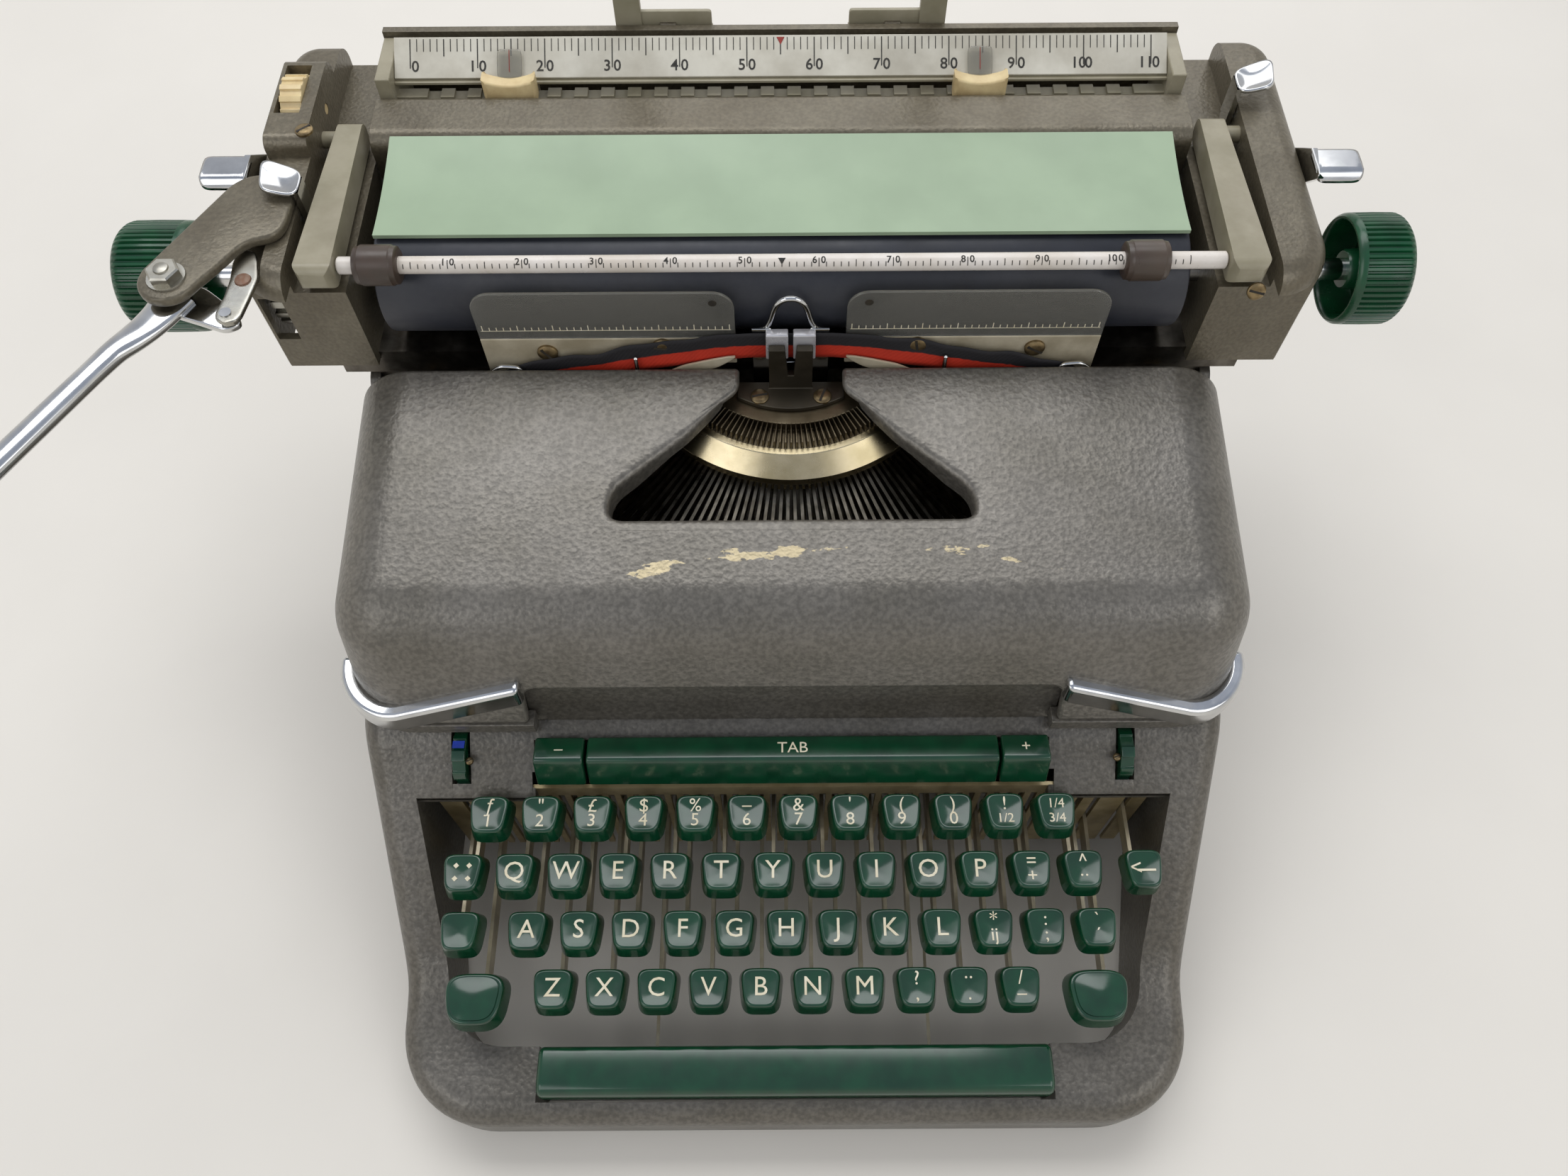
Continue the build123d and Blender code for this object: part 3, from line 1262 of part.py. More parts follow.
def side_rod(side, x_range, place, radius):
    """Round bar along X, given by distances from the centre plane, on the chosen side of it."""
    start, end = sorted((side * x_range[0], side * x_range[1]))
    return rod_x(start, end, place, radius)


def end_cover(side):
    """Hollow cover over one end of the carriage, with a step for the bail arm and its bearings."""
    with BuildPart(mode=Mode.PRIVATE) as cover:
        inner, outer = side * COVER_INNER, side * COVER_OUTER
        plan = outline(
            [(inner, COVER_FRONT), (outer, COVER_FRONT), (outer, COVER_REAR), (inner, COVER_REAR)],
            [0, COVER_NOSE, COVER_TAIL, 0],
        )
        add(slab_z(COVER_BASE, COVER_TOP, plan))
        rim = cover.faces().sort_by(Axis.Z)[-1].edges()
        fillet(rim.filter_by(lambda edge: abs(edge.center().X) > COVER_INNER + LOOSE_GAP), COVER_EDGE)
        undercut_y = (COVER_FRONT - LOOSE_GAP, UNDERCUT_Y)
        add(side_block(side, (0, 2 * COVER_OUTER), undercut_y, (0, UNDERCUT_Z)), mode=Mode.SUBTRACT)
        step_y = (COVER_FRONT - LOOSE_GAP, COVER_REAR + LOOSE_GAP)
        step = side_block(side, (0, NOTCH_WALL), step_y, (NOTCH_FLOOR, 2 * COVER_TOP))
        add(step, mode=Mode.SUBTRACT)
        hollow_y = (UNDERCUT_Y + COVER_WALL, COVER_REAR - COVER_EDGE)
        outer_x = COVER_OUTER - COVER_WALL
        low_x = (COVER_INNER + COVER_WALL, outer_x)
        low_roof = NOTCH_FLOOR - COVER_WALL
        add(side_block(side, low_x, hollow_y, (0, low_roof)), mode=Mode.SUBTRACT)
        high_x = (NOTCH_WALL + COVER_WALL, outer_x)
        high_y = (UNDERCUT_Y + COVER_WALL, RELEASE_PIVOT[0] - RELEASE_EYE)
        add(side_block(side, high_x, high_y, (0, COVER_ROOF)), mode=Mode.SUBTRACT)
        bore = side_rod(side, (0, 2 * COVER_OUTER), (PLATEN_Y, PLATEN_Z), AXLE_RADIUS + RUN_FIT)
        add(bore, mode=Mode.SUBTRACT)
        wall_x = (NOTCH_WALL - LOOSE_GAP, NOTCH_WALL + 2 * COVER_WALL)
        add(side_rod(side, wall_x, BAIL_PIVOT, BAIL_PIN_RADIUS + RUN_FIT), mode=Mode.SUBTRACT)
        tab_pivot = DETENT_PIVOT if side < 0 else PAPER_RELEASE_PIVOT
        add(side_rod(side, wall_x, tab_pivot, TAB_LEVER_PIN + RUN_FIT), mode=Mode.SUBTRACT)
        rim_x = (COVER_OUTER - 2 * COVER_WALL, COVER_OUTER + LOOSE_GAP)
        add(side_rod(side, rim_x, RELEASE_PIVOT, RELEASE_PIN_RADIUS + RUN_FIT), mode=Mode.SUBTRACT)
    return cover.part


with BuildPart() as left_end_cover:
    add(end_cover(-1))
    box_face = outline(
        [
            (SELECTOR_BOX_Y[0], NOTCH_FLOOR),
            (SELECTOR_BOX_Y[1], NOTCH_FLOOR),
            (SELECTOR_BOX_Y[1], SELECTOR_BOX_TOP),
            (SELECTOR_BOX_Y[0], SELECTOR_BOX_TOP),
        ],
        [0, 0, COVER_EDGE / 2, COVER_EDGE / 2],
    )
    add(slab_x(-COVER_OUTER + COVER_EDGE / 2, -NOTCH_WALL, box_face))
    slot_x = (-WHEEL_X[1] - SLIDE_GAP, -WHEEL_X[0] + LOOSE_GAP)
    slot_y = (WHEEL_Y - WHEEL_RADIUS - LOOSE_GAP, WHEEL_Y + WHEEL_RADIUS + LOOSE_GAP)
    slot_z = (WHEEL_Z - WHEEL_RADIUS - LOOSE_GAP, 2 * SELECTOR_BOX_TOP)
    add(side_block(-1, slot_x, slot_y, slot_z), mode=Mode.SUBTRACT)
    pin_x = (NOTCH_WALL, -WHEEL_X[1])
    add(side_rod(-1, pin_x, (WHEEL_Y, WHEEL_Z), WHEEL_PIN + RUN_FIT), mode=Mode.SUBTRACT)
    bail_x = (NOTCH_WALL - LOOSE_GAP, NOTCH_WALL + COVER_WALL)
    add(side_rod(-1, bail_x, BAIL_PIVOT, BAIL_PIN_RADIUS + RUN_FIT), mode=Mode.SUBTRACT)
    window_x = (-RATCHET_X[1] - LOOSE_GAP, -RATCHET_X[0] + LOOSE_GAP)
    add(side_block(-1, window_x, (0, PLATEN_Y), RATCHET_WINDOW_Z), mode=Mode.SUBTRACT)
    channel_x = (-LINK_X[1] - SLIDE_GAP, COVER_OUTER + LOOSE_GAP)
    channel_y = (0, LINK_Y[1] + LINK_TRAVEL + LOOSE_GAP)
    channel_z = (LINK_Z[0] - SLIDE_GAP, 2 * COVER_TOP)
    add(side_block(-1, channel_x, channel_y, channel_z), mode=Mode.SUBTRACT)
write_piece(left_end_cover, "left_end_cover", CARRIAGE_PLACE)

with BuildPart() as right_end_cover:
    add(end_cover(1))
write_piece(right_end_cover, "right_end_cover", CARRIAGE_PLACE)

# Platen with its shaft, knobs and ratchet
with BuildPart() as platen_roller:
    with BuildSketch(Plane.YZ.offset(-PLATEN_HALF)):
        with Locations((PLATEN_Y, PLATEN_Z)):
            Circle(PLATEN_RADIUS)
            Circle(AXLE_RADIUS + RUN_FIT, mode=Mode.SUBTRACT)
    extrude(amount=2 * PLATEN_HALF)
write_piece(platen_roller, "platen_roller", CARRIAGE_PLACE)

with BuildPart() as platen_shaft:
    add(rod_x(LEFT_KNOB[0] + KNOB_ROUND, RIGHT_KNOB[1] - KNOB_ROUND, (PLATEN_Y, PLATEN_Z), AXLE_RADIUS))
write_piece(platen_shaft, "platen_shaft", CARRIAGE_PLACE)


def shaft_wheel(x_range, disc):
    """Wheel of the given face, bored for the platen shaft."""
    with BuildPart(mode=Mode.PRIVATE) as wheel:
        with BuildSketch(Plane.YZ.offset(x_range[0])):
            with Locations((PLATEN_Y, PLATEN_Z)):
                add(disc)
                Circle(AXLE_RADIUS + RUN_FIT, mode=Mode.SUBTRACT)
        extrude(amount=x_range[1] - x_range[0])
    return wheel.part


with BuildPart() as platen_knobs:
    for knob in (LEFT_KNOB, RIGHT_KNOB):
        add(shaft_wheel(knob, toothed_disc(KNOB_RADIUS, KNOB_RIB_DEPTH, KNOB_RIBS)))
write_piece(platen_knobs, "platen_knobs", CARRIAGE_PLACE)

with BuildPart() as line_ratchet:
    add(shaft_wheel(RATCHET_X, toothed_disc(RATCHET_RADIUS, RATCHET_DEPTH, RATCHET_TEETH)))
write_piece(line_ratchet, "line_ratchet", CARRIAGE_PLACE)


# Paper bail
with BuildPart() as bail_arms:
    for side in (-1, 1):
        nose = BAIL_ARM_X if side > 0 else (-BAIL_ARM_X[1], -BAIL_ARM_X[0])
        tail = BAIL_ARM_REAR_X if side > 0 else (-BAIL_ARM_REAR_X[1], -BAIL_ARM_REAR_X[0])
        front_y = BAIL_Y - BAIL_ARM_NOSE
        plan = outline(
            [
                (nose[0], front_y),
                (nose[1], front_y),
                (tail[1], BAIL_PIVOT[0] + BAIL_ARM_TAIL),
                (tail[0], BAIL_PIVOT[0] + BAIL_ARM_TAIL),
            ],
            [BAIL_ARM_NOSE / 2, BAIL_ARM_NOSE / 2, 0, 0],
        )
        add(slab_z(0, 2 * COVER_TOP, plan))
    rise = (BAIL_Z - BAIL_PIVOT[1]) / (BAIL_Y - BAIL_PIVOT[0])
    nose_z = BAIL_Z - rise * BAIL_ARM_NOSE
    tail_z = BAIL_PIVOT[1] + rise * BAIL_ARM_TAIL
    arm_side = outline(
        [
            (BAIL_Y - BAIL_ARM_NOSE, nose_z - BAIL_ARM_TALL / 2),
            (BAIL_PIVOT[0] + BAIL_ARM_TAIL, tail_z - BAIL_ARM_TALL / 2),
            (BAIL_PIVOT[0] + BAIL_ARM_TAIL, tail_z + BAIL_ARM_TALL / 2),
            (BAIL_Y - BAIL_ARM_NOSE, nose_z + BAIL_ARM_TALL / 2),
        ],
        [BAIL_ARM_NOSE / 2] * 4,
    )
    add(slab_x(-COVER_OUTER, COVER_OUTER, arm_side), mode=Mode.INTERSECT)
    for side in (-1, 1):
        pin_x = (BAIL_ARM_REAR_X[0], NOTCH_WALL + COVER_WALL - SEAT_GAP)
        add(side_rod(side, pin_x, BAIL_PIVOT, BAIL_PIN_RADIUS))
write_piece(bail_arms, "bail_arms", CARRIAGE_PLACE)

with BuildPart() as bail_rod:
    rod_half = BAIL_ARM_X[0] - SEAT_GAP
    add(rod_x(-rod_half, rod_half, (BAIL_Y, BAIL_Z), BAIL_ROD_RADIUS))
write_piece(bail_rod, "bail_rod", CARRIAGE_PLACE)

for name, x in zip(("bail_roller_left", "bail_roller_right"), BAIL_ROLLERS):
    with BuildPart() as roller:
        with BuildSketch(Plane.YZ.offset(x - BAIL_ROLLER_LENGTH / 2)):
            with Locations((BAIL_Y, BAIL_Z)):
                Circle(BAIL_ROLLER_RADIUS)
                Circle(BAIL_ROD_RADIUS + RUN_FIT, mode=Mode.SUBTRACT)
        extrude(amount=BAIL_ROLLER_LENGTH)
    write_piece(roller, name, CARRIAGE_PLACE)

# Paper table, rear cover, margin rail, scale and stops
with BuildPart() as paper_table:
    sag_y = (TABLE_Y[0] + TABLE_Y[1]) / 2
    sag_z = (TABLE_Z[0] + TABLE_Z[1]) / 2 - TABLE_SAG
    with BuildSketch(Plane.YZ.offset(-TABLE_HALF)):
        with BuildLine():
            top = ThreePointArc((TABLE_Y[0], TABLE_Z[0]), (sag_y, sag_z), (TABLE_Y[1], TABLE_Z[1]))
            Line(top @ 1, (TABLE_Y[1], TABLE_Z[1] - TABLE_THICK))
            low_start, low_mid = (TABLE_Y[1], TABLE_Z[1] - TABLE_THICK), (sag_y, sag_z - TABLE_THICK)
            low = ThreePointArc(low_start, low_mid, (TABLE_Y[0], TABLE_Z[0] - TABLE_THICK))
            Line(low @ 1, top @ 0)
        make_face()
    extrude(amount=2 * TABLE_HALF)
    leg_top = sag_z - TABLE_THICK / 2
    for x in (-TABLE_LEG_X, TABLE_LEG_X):
        leg_low = (x - TABLE_LEG_THICK / 2, TABLE_LEG_Y[0], BED_TOP + SEAT_GAP)
        add(block(leg_low, (x + TABLE_LEG_THICK / 2, TABLE_LEG_Y[1], leg_top)))
write_piece(paper_table, "paper_table", CARRIAGE_PLACE)

with BuildPart() as rear_cover:
    shell = outline(
        [
            (HUMP_Y[0], TROUGH_BASE + SEAT_GAP),
            (HUMP_Y[0], HUMP_TOP),
            (HUMP_Y[1], HUMP_TOP),
            (HUMP_Y[1], TROUGH_FLOOR),
            (TROUGH_BACK[0], TROUGH_FLOOR),
            (TROUGH_BACK[0], TROUGH_TOP),
            (TROUGH_BACK[1], TROUGH_TOP),
            (TROUGH_BACK[1], TROUGH_BASE + SEAT_GAP),
        ],
        [0, HUMP_ROUND, HUMP_ROUND / 2, 0, 0, 0, 0, 0],
    )
    hollow = outline(
        [
            (HUMP_Y[0] + TROUGH_WALL, 0),
            (HUMP_Y[0] + TROUGH_WALL, HUMP_TOP - TROUGH_WALL),
            (HUMP_Y[1] - TROUGH_WALL, HUMP_TOP - TROUGH_WALL),
            (HUMP_Y[1] - TROUGH_WALL, TROUGH_FLOOR - TROUGH_WALL),
            (TROUGH_BACK[0], TROUGH_FLOOR - TROUGH_WALL),
            (TROUGH_BACK[0], 0),
        ],
        [0, HUMP_ROUND - TROUGH_WALL, 0, 0, 0, 0],
    )
    trough_half = TROUGH_HALF - SEAT_GAP
    add(slab_x(-trough_half, trough_half, shell))
    add(slab_x(-trough_half, trough_half, hollow), mode=Mode.SUBTRACT)
    for side in (-1, 1):
        add(side_rod(side, SUPPORT_LUG_X, (SUPPORT_Y, SUPPORT_Z), SUPPORT_LUG))
        bore = side_rod(side, SUPPORT_LUG_X, (SUPPORT_Y, SUPPORT_Z), SUPPORT_RADIUS + RUN_FIT)
        add(bore, mode=Mode.SUBTRACT)
write_piece(rear_cover, "rear_cover", CARRIAGE_PLACE)

with BuildPart() as margin_rail:
    rail_low = (-BRACKET_X[0], MARGIN_RAIL_Y[0], MARGIN_RAIL_Z[0])
    add(block(rail_low, (BRACKET_X[0], MARGIN_RAIL_Y[1], MARGIN_RAIL_Z[1])))
    notches = int(2 * BRACKET_X[0] / MARGIN_PITCH) - 1
    with BuildSketch(Plane.XY.offset(MARGIN_RAIL_Z[1] - MARGIN_TOOTH)):
        with Locations((0, (MARGIN_RAIL_Y[0] + MARGIN_RAIL_Y[1]) / 2)):
            with GridLocations(MARGIN_PITCH, 1, notches, 1):
                Rectangle(MARGIN_PITCH / 2, 2 * MARGIN_RAIL_Y[1] - 2 * MARGIN_RAIL_Y[0])
    extrude(amount=MARGIN_TOOTH, mode=Mode.SUBTRACT)
    for side in (-1, 1):
        add(side_block(side, BRACKET_X, BRACKET_Y, (TROUGH_FLOOR + SEAT_GAP, BRACKET_TOP)))
write_piece(margin_rail, "margin_rail", CARRIAGE_PLACE)

with BuildPart() as margin_scale:
    tilt = atan2(SCALE_HEAD[1] - SCALE_FOOT[1], SCALE_HEAD[0] - SCALE_FOOT[0])
    back = (SCALE_THICK * sin(tilt), -SCALE_THICK * cos(tilt))
    scale_face = outline(
        [
            SCALE_FOOT,
            SCALE_HEAD,
            (SCALE_HEAD[0] + back[0], SCALE_HEAD[1] + back[1]),
            (SCALE_FOOT[0] + back[0], SCALE_FOOT[1] + back[1]),
        ],
        [0, 0, 0, 0],
    )
    scale_half = BRACKET_X[0] - SEAT_GAP
    add(slab_x(-scale_half, scale_half, scale_face))
write_piece(margin_scale, "margin_scale", CARRIAGE_PLACE)

for name, x in zip(("margin_stop_left", "margin_stop_right"), STOP_X):
    with BuildPart() as stop:
        add(block((x - STOP_WIDTH / 2, STOP_Y[0], STOP_Z[0]), (x + STOP_WIDTH / 2, STOP_Y[2], STOP_Z[1])))
        add(block((x - STOP_WIDTH / 2, STOP_Y[0], STOP_Z[1]), (x + STOP_WIDTH / 2, STOP_Y[1], STOP_Z[2])))
        saddle_low = (x - STOP_WIDTH, MARGIN_RAIL_Y[0] - SLIDE_GAP, MARGIN_RAIL_Z[0] - SLIDE_GAP)
        saddle_high = (x + STOP_WIDTH, MARGIN_RAIL_Y[1] + SLIDE_GAP, MARGIN_RAIL_Z[1] + SLIDE_GAP)
        add(block(saddle_low, saddle_high), mode=Mode.SUBTRACT)
    write_piece(stop, name, CARRIAGE_PLACE)

# Line space lever with its bracket and link
with BuildPart() as lever_bracket:
    plan = strip(LEVER_ROOT, LEVER_PIVOT, LEVER_PLATE_WIDTH, LEVER_ROOT_RADIUS, LEVER_NOSE_RADIUS)
    add(slab_z(BRACKET_Z[0], BRACKET_Z[1], plan))
    add(rod_z(LEVER_Z[0] - LOOSE_GAP, BRACKET_Z[0], LEVER_PIVOT, LEVER_PIN_RADIUS))
write_piece(lever_bracket, "lever_bracket", CARRIAGE_PLACE)

with BuildPart() as return_lever:
    half = LEVER_WIDTH / 2
    add(slab_z(LEVER_Z[0], LEVER_Z[1], strip(LEVER_PIVOT, LEVER_BEND, LEVER_WIDTH, LEVER_BOSS, half)))
    arm = strip(LEVER_BEND, LEVER_TIP, LEVER_WIDTH, half, LEVER_TIP_WIDTH / 2)
    add(slab_z(LEVER_Z[0], LEVER_Z[1], arm))
    crank = strip(LEVER_PIVOT, CRANK_END, CRANK_WIDTH, LEVER_BOSS, CRANK_WIDTH / 2)
    add(slab_z(CRANK_Z[0], CRANK_Z[1], crank))
    add(rod_z(CRANK_Z[1], LINK_Z[1], CRANK_END, LINK_PIN_RADIUS))
    eye = rod_z(LEVER_Z[0], LEVER_Z[1], LEVER_PIVOT, LEVER_PIN_RADIUS + RUN_FIT)
    add(eye, mode=Mode.SUBTRACT)
write_piece(return_lever, "return_lever", CARRIAGE_PLACE)

with BuildPart() as lever_link:
    add(block((LINK_X[0], LINK_Y[0], LINK_Z[0]), (LINK_X[1], LINK_Y[1], LINK_Z[1])))
    slot_half = LINK_PIN_RADIUS + LINK_SLOT_GAP
    slot_low = (LINK_SLOT_X[0], CRANK_END[1] - slot_half, LINK_Z[0])
    slot_high = (LINK_SLOT_X[1], CRANK_END[1] + slot_half, LINK_Z[1])
    add(block(slot_low, slot_high), mode=Mode.SUBTRACT)
write_piece(lever_link, "lever_link", CARRIAGE_PLACE)

# Release levers, spacing selector and paper supports
with BuildPart() as carriage_releases:
    for side in (-1, 1):
        near_x = COVER_OUTER + SLIDE_GAP
        arm = outline(
            [
                (RELEASE_PIVOT[0] + RELEASE_EYE, RELEASE_PIVOT[1] - RELEASE_EYE),
                (RELEASE_PIVOT[0] + RELEASE_EYE, RELEASE_PIVOT[1] + RELEASE_EYE),
                (RELEASE_Y[1], RELEASE_Z[1]),
                (RELEASE_Y[0], RELEASE_Z[1]),
                (RELEASE_Y[0], RELEASE_Z[0]),
                (RELEASE_PIVOT[0] - RELEASE_EYE, RELEASE_PIVOT[1] - RELEASE_EYE),
            ],
            [RELEASE_THICK, RELEASE_THICK, 0, 0, 0, RELEASE_THICK],
        )
        start = min(side * near_x, side * (near_x + RELEASE_THICK))
        add(slab_x(start, start + RELEASE_THICK, arm))
        add(side_block(side, (near_x, near_x + RELEASE_OUT), RELEASE_Y, RELEASE_Z))
        stub_x = (COVER_OUTER - COVER_WALL + SEAT_GAP, near_x + RELEASE_THICK)
        add(side_rod(side, stub_x, RELEASE_PIVOT, RELEASE_PIN_RADIUS))
write_piece(carriage_releases, "carriage_releases", CARRIAGE_PLACE)


def tab_lever(name, side, pivot):
    """Thin upright lever on a pin in the step of an end cover, with a finger tab bent outwards."""
    stem_top = TAB_TOP - TAB_LEVER_THICK
    with BuildPart() as lever:
        stem = outline(
            [
                (pivot[0] - TAB_LEVER_EYE, pivot[1]),
                (pivot[0] + TAB_LEVER_EYE, pivot[1]),
                (pivot[0] + TAB_LEVER_EYE, TAB_TOP),
                (pivot[0] - TAB_LEVER_EYE, TAB_TOP),
            ],
            [0, 0, 0, 0],
        )
        start = min(side * TAB_STEM_X[0], side * TAB_STEM_X[1])
        with BuildSketch(Plane.YZ.offset(start)):
            add(stem)
            with Locations(pivot):
                Circle(TAB_LEVER_EYE - LOOSE_GAP)
        extrude(amount=TAB_STEM_X[1] - TAB_STEM_X[0])
        tab_y = (pivot[0] - TAB_CURL, pivot[0] + TAB_CURL)
        add(side_block(side, (TAB_STEM_X[0], TAB_STEM_X[0] + TAB_WIDTH), tab_y, (stem_top, TAB_TOP)))
        pin_x = (TAB_STEM_X[0], NOTCH_WALL + COVER_WALL)
        add(side_rod(side, pin_x, pivot, TAB_LEVER_PIN))
    write_piece(lever, name, CARRIAGE_PLACE)


tab_lever("paper_release", 1, PAPER_RELEASE_PIVOT)
tab_lever("detent_release", -1, DETENT_PIVOT)

with BuildPart() as spacing_selector:
    with BuildSketch(Plane.YZ.offset(WHEEL_X[0])):
        with Locations((WHEEL_Y, WHEEL_Z)):
            add(toothed_disc(WHEEL_RADIUS, WHEEL_DEPTH, WHEEL_TEETH))
    extrude(amount=WHEEL_X[1] - WHEEL_X[0])
    add(rod_x(WHEEL_X[1], -NOTCH_WALL - SEAT_GAP, (WHEEL_Y, WHEEL_Z), WHEEL_PIN))
write_piece(spacing_selector, "spacing_selector", CARRIAGE_PLACE)

with BuildPart() as paper_supports:
    for side in (-1, 1):
        foot_x = (-SUPPORT_FOOT[1], -SUPPORT_FOOT[0])
        add(side_rod(side, foot_x, (SUPPORT_Y, SUPPORT_Z), SUPPORT_RADIUS))
        post_x = (foot_x[1] - SUPPORT_POST_WIDTH, foot_x[1])
        post_y = (SUPPORT_Y - SUPPORT_POST_THICK / 2, SUPPORT_Y + SUPPORT_POST_THICK / 2)
        add(side_block(side, post_x, post_y, (SUPPORT_Z, SUPPORT_Z + SUPPORT_HEIGHT)))
write_piece(paper_supports, "paper_supports", CARRIAGE_PLACE)
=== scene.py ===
import json
import logging
import math
from dataclasses import dataclass, field
from enum import Enum
from typing import Callable, ClassVar, Optional, Sequence

import bmesh
import bpy
import numpy as np
from mathutils import Matrix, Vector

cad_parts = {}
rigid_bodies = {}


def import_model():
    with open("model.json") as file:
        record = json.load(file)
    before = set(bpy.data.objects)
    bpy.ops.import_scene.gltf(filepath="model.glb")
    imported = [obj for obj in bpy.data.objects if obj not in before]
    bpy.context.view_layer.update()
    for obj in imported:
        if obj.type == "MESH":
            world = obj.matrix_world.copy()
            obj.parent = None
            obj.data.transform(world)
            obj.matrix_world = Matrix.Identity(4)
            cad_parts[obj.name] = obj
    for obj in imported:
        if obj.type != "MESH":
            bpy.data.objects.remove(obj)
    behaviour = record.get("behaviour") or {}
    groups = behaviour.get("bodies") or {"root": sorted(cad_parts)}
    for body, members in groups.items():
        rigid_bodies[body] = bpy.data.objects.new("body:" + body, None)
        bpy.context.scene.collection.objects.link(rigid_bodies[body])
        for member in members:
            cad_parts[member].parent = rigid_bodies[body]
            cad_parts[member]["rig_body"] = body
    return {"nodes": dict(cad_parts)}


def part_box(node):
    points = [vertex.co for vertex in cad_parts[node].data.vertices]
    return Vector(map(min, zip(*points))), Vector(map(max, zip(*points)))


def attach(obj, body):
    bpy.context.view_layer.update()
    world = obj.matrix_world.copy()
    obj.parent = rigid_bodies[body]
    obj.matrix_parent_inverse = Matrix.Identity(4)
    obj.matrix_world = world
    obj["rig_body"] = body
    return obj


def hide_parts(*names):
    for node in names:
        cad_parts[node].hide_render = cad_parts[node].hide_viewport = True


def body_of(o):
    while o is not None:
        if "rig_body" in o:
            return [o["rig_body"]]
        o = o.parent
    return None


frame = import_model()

LOG = logging.getLogger("typewriter")
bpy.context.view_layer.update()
IMAGE_WIDTH = 2212
MM_PER_M = 1000.0
# Typing pitch, number of marks on a scale and the mark in its middle.
PITCH = 2.54
MARKS = 111
CENTRE_MARK = 55
# Limits for meshes: points closer than this are one, seams flatter are dissolved, edges sharper are rounded.
MERGE_M = 2e-6
SEAM_DEG = 0.6
SHARP_DEG = 40.0
FLAT_FACE_WEIGHT = 80
# Share of a rib's turn at which the groove beside it starts, and the step between cuts in wrapped signs.
GROOVE_START = 0.55
WRAP_STEP = 0.4
RIBBON_MAP = "along_across"
# Directions that stand a turned or flat solid up: X along Z, or Y along Z with its back to the front.
UPRIGHT = ((0, 0, 1), (1, 0, 0), (0, 1, 0))
STOOD_UP = ((1, 0, 0), (0, 0, 1), (0, -1, 0))
MIRROR = np.array((-1.0, 1.0, 1.0))
SIDES = ((-1, "left"), (1, "right"))
ON_CARRIAGE = frozenset(
    "carriage platen bail bail_roller_left bail_roller_right margin_stop_left margin_stop_right return_lever "
    "lever_link detent_release paper_release carriage_releases paper_supports".split()
)
Array = np.ndarray
Solid = tuple[Array, list]
Colour = tuple[float, float, float, float]
Tree = bpy.types.NodeTree
Socket = bpy.types.NodeSocket


class Place(Enum):
    """Where a drawing's own origin lies in the shared frame, in millimetres."""

    BODY = (33.25, -187.85, 0.0)
    CARRIAGE = (30.25, -187.85, 0.0)

    @classmethod
    def of(cls, body: str) -> "Place":
        """The drawing that a body's pieces are in."""
        return cls.CARRIAGE if body in ON_CARRIAGE else cls.BODY

    def metres(self, points: Array) -> Array:
        """Turns drawing millimetres into frame metres."""
        return (np.asarray(points, float) + np.array(self.value)) / MM_PER_M

    def millimetres(self, points: Array) -> Array:
        """Turns frame metres into drawing millimetres."""
        return np.asarray(points, float) * MM_PER_M - np.array(self.value)


class Relief(Enum):
    """How the fine relief of a finish lies on its surface."""

    HAMMERED = (1.0, 1.0, 1.0)
    BRUSHED = (0.03, 1.0, 1.0)
    PITTED = (1.0, 0.7, 1.0)


def linear(hex_colour: str) -> Colour:
    """Turns an sRGB hex colour into linear light by the standard curve.

    Args:
        hex_colour: colour as "#rrggbb".

    Returns:
        Red, green, blue and a full alpha, in linear light.
    """
    srgb = np.array([int(hex_colour[i:i + 2], 16) for i in (1, 3, 5)]) / 255.0
    light = np.where(srgb <= 0.04045, srgb / 12.92, ((srgb + 0.055) / 1.055) ** 2.4)
    return (float(light[0]), float(light[1]), float(light[2]), 1.0)


def add_node(tree: Tree, kind: str, inputs: Optional[dict] = None, **settings: object) -> bpy.types.Node:
    """Adds one node, sets its settings and fills or links its inputs.

    Args:
        tree: node tree that takes the node.
        kind: type name of the node.
        inputs: input name or number, and the value or the output socket for it.
        settings: properties of the node itself.

    Returns:
        The new node.
    """
    node = tree.nodes.new(kind)
    for key, value in settings.items():
        setattr(node, key, value)
    for key, value in (inputs or {}).items():
        if isinstance(value, Socket):
            tree.links.new(value, node.inputs[key])
        else:
            node.inputs[key].default_value = value
    return node


def noise(tree: Tree, place: Socket, scale: float, detail: float, roughness: float = 0.5) -> Socket:
    """Cloudy noise about 0.5, with the given number of grains to a metre."""
    inputs = {"Vector": place, "Scale": scale, "Detail": detail, "Roughness": roughness}
    return add_node(tree, "ShaderNodeTexNoise", inputs).outputs[0]


def spread_out(
    tree: Tree, value: Socket, low: float, high: float, to_low: float = 0.0, to_high: float = 1.0
) -> Socket:
    """Carries the range low to high over to the range to_low to to_high, and stops at its ends."""
    inputs = {"Value": value, "From Min": low, "From Max": high, "To Min": to_low, "To Max": to_high}
    return add_node(tree, "ShaderNodeMapRange", inputs).outputs[0]


def blend(tree: Tree, share: Socket, first: Socket | Colour, second: Socket | Colour) -> Socket:
    """Mixes two colours by a share from 0 to 1."""
    return add_node(tree, "ShaderNodeMix", {0: share, 6: first, 7: second}, data_type="RGBA").outputs[2]


def reckon(tree: Tree, operation: str, *terms: Socket | float) -> Socket:
    """Does one step of arithmetic on up to three numbers."""
    return add_node(tree, "ShaderNodeMath", dict(enumerate(terms)), operation=operation).outputs[0]


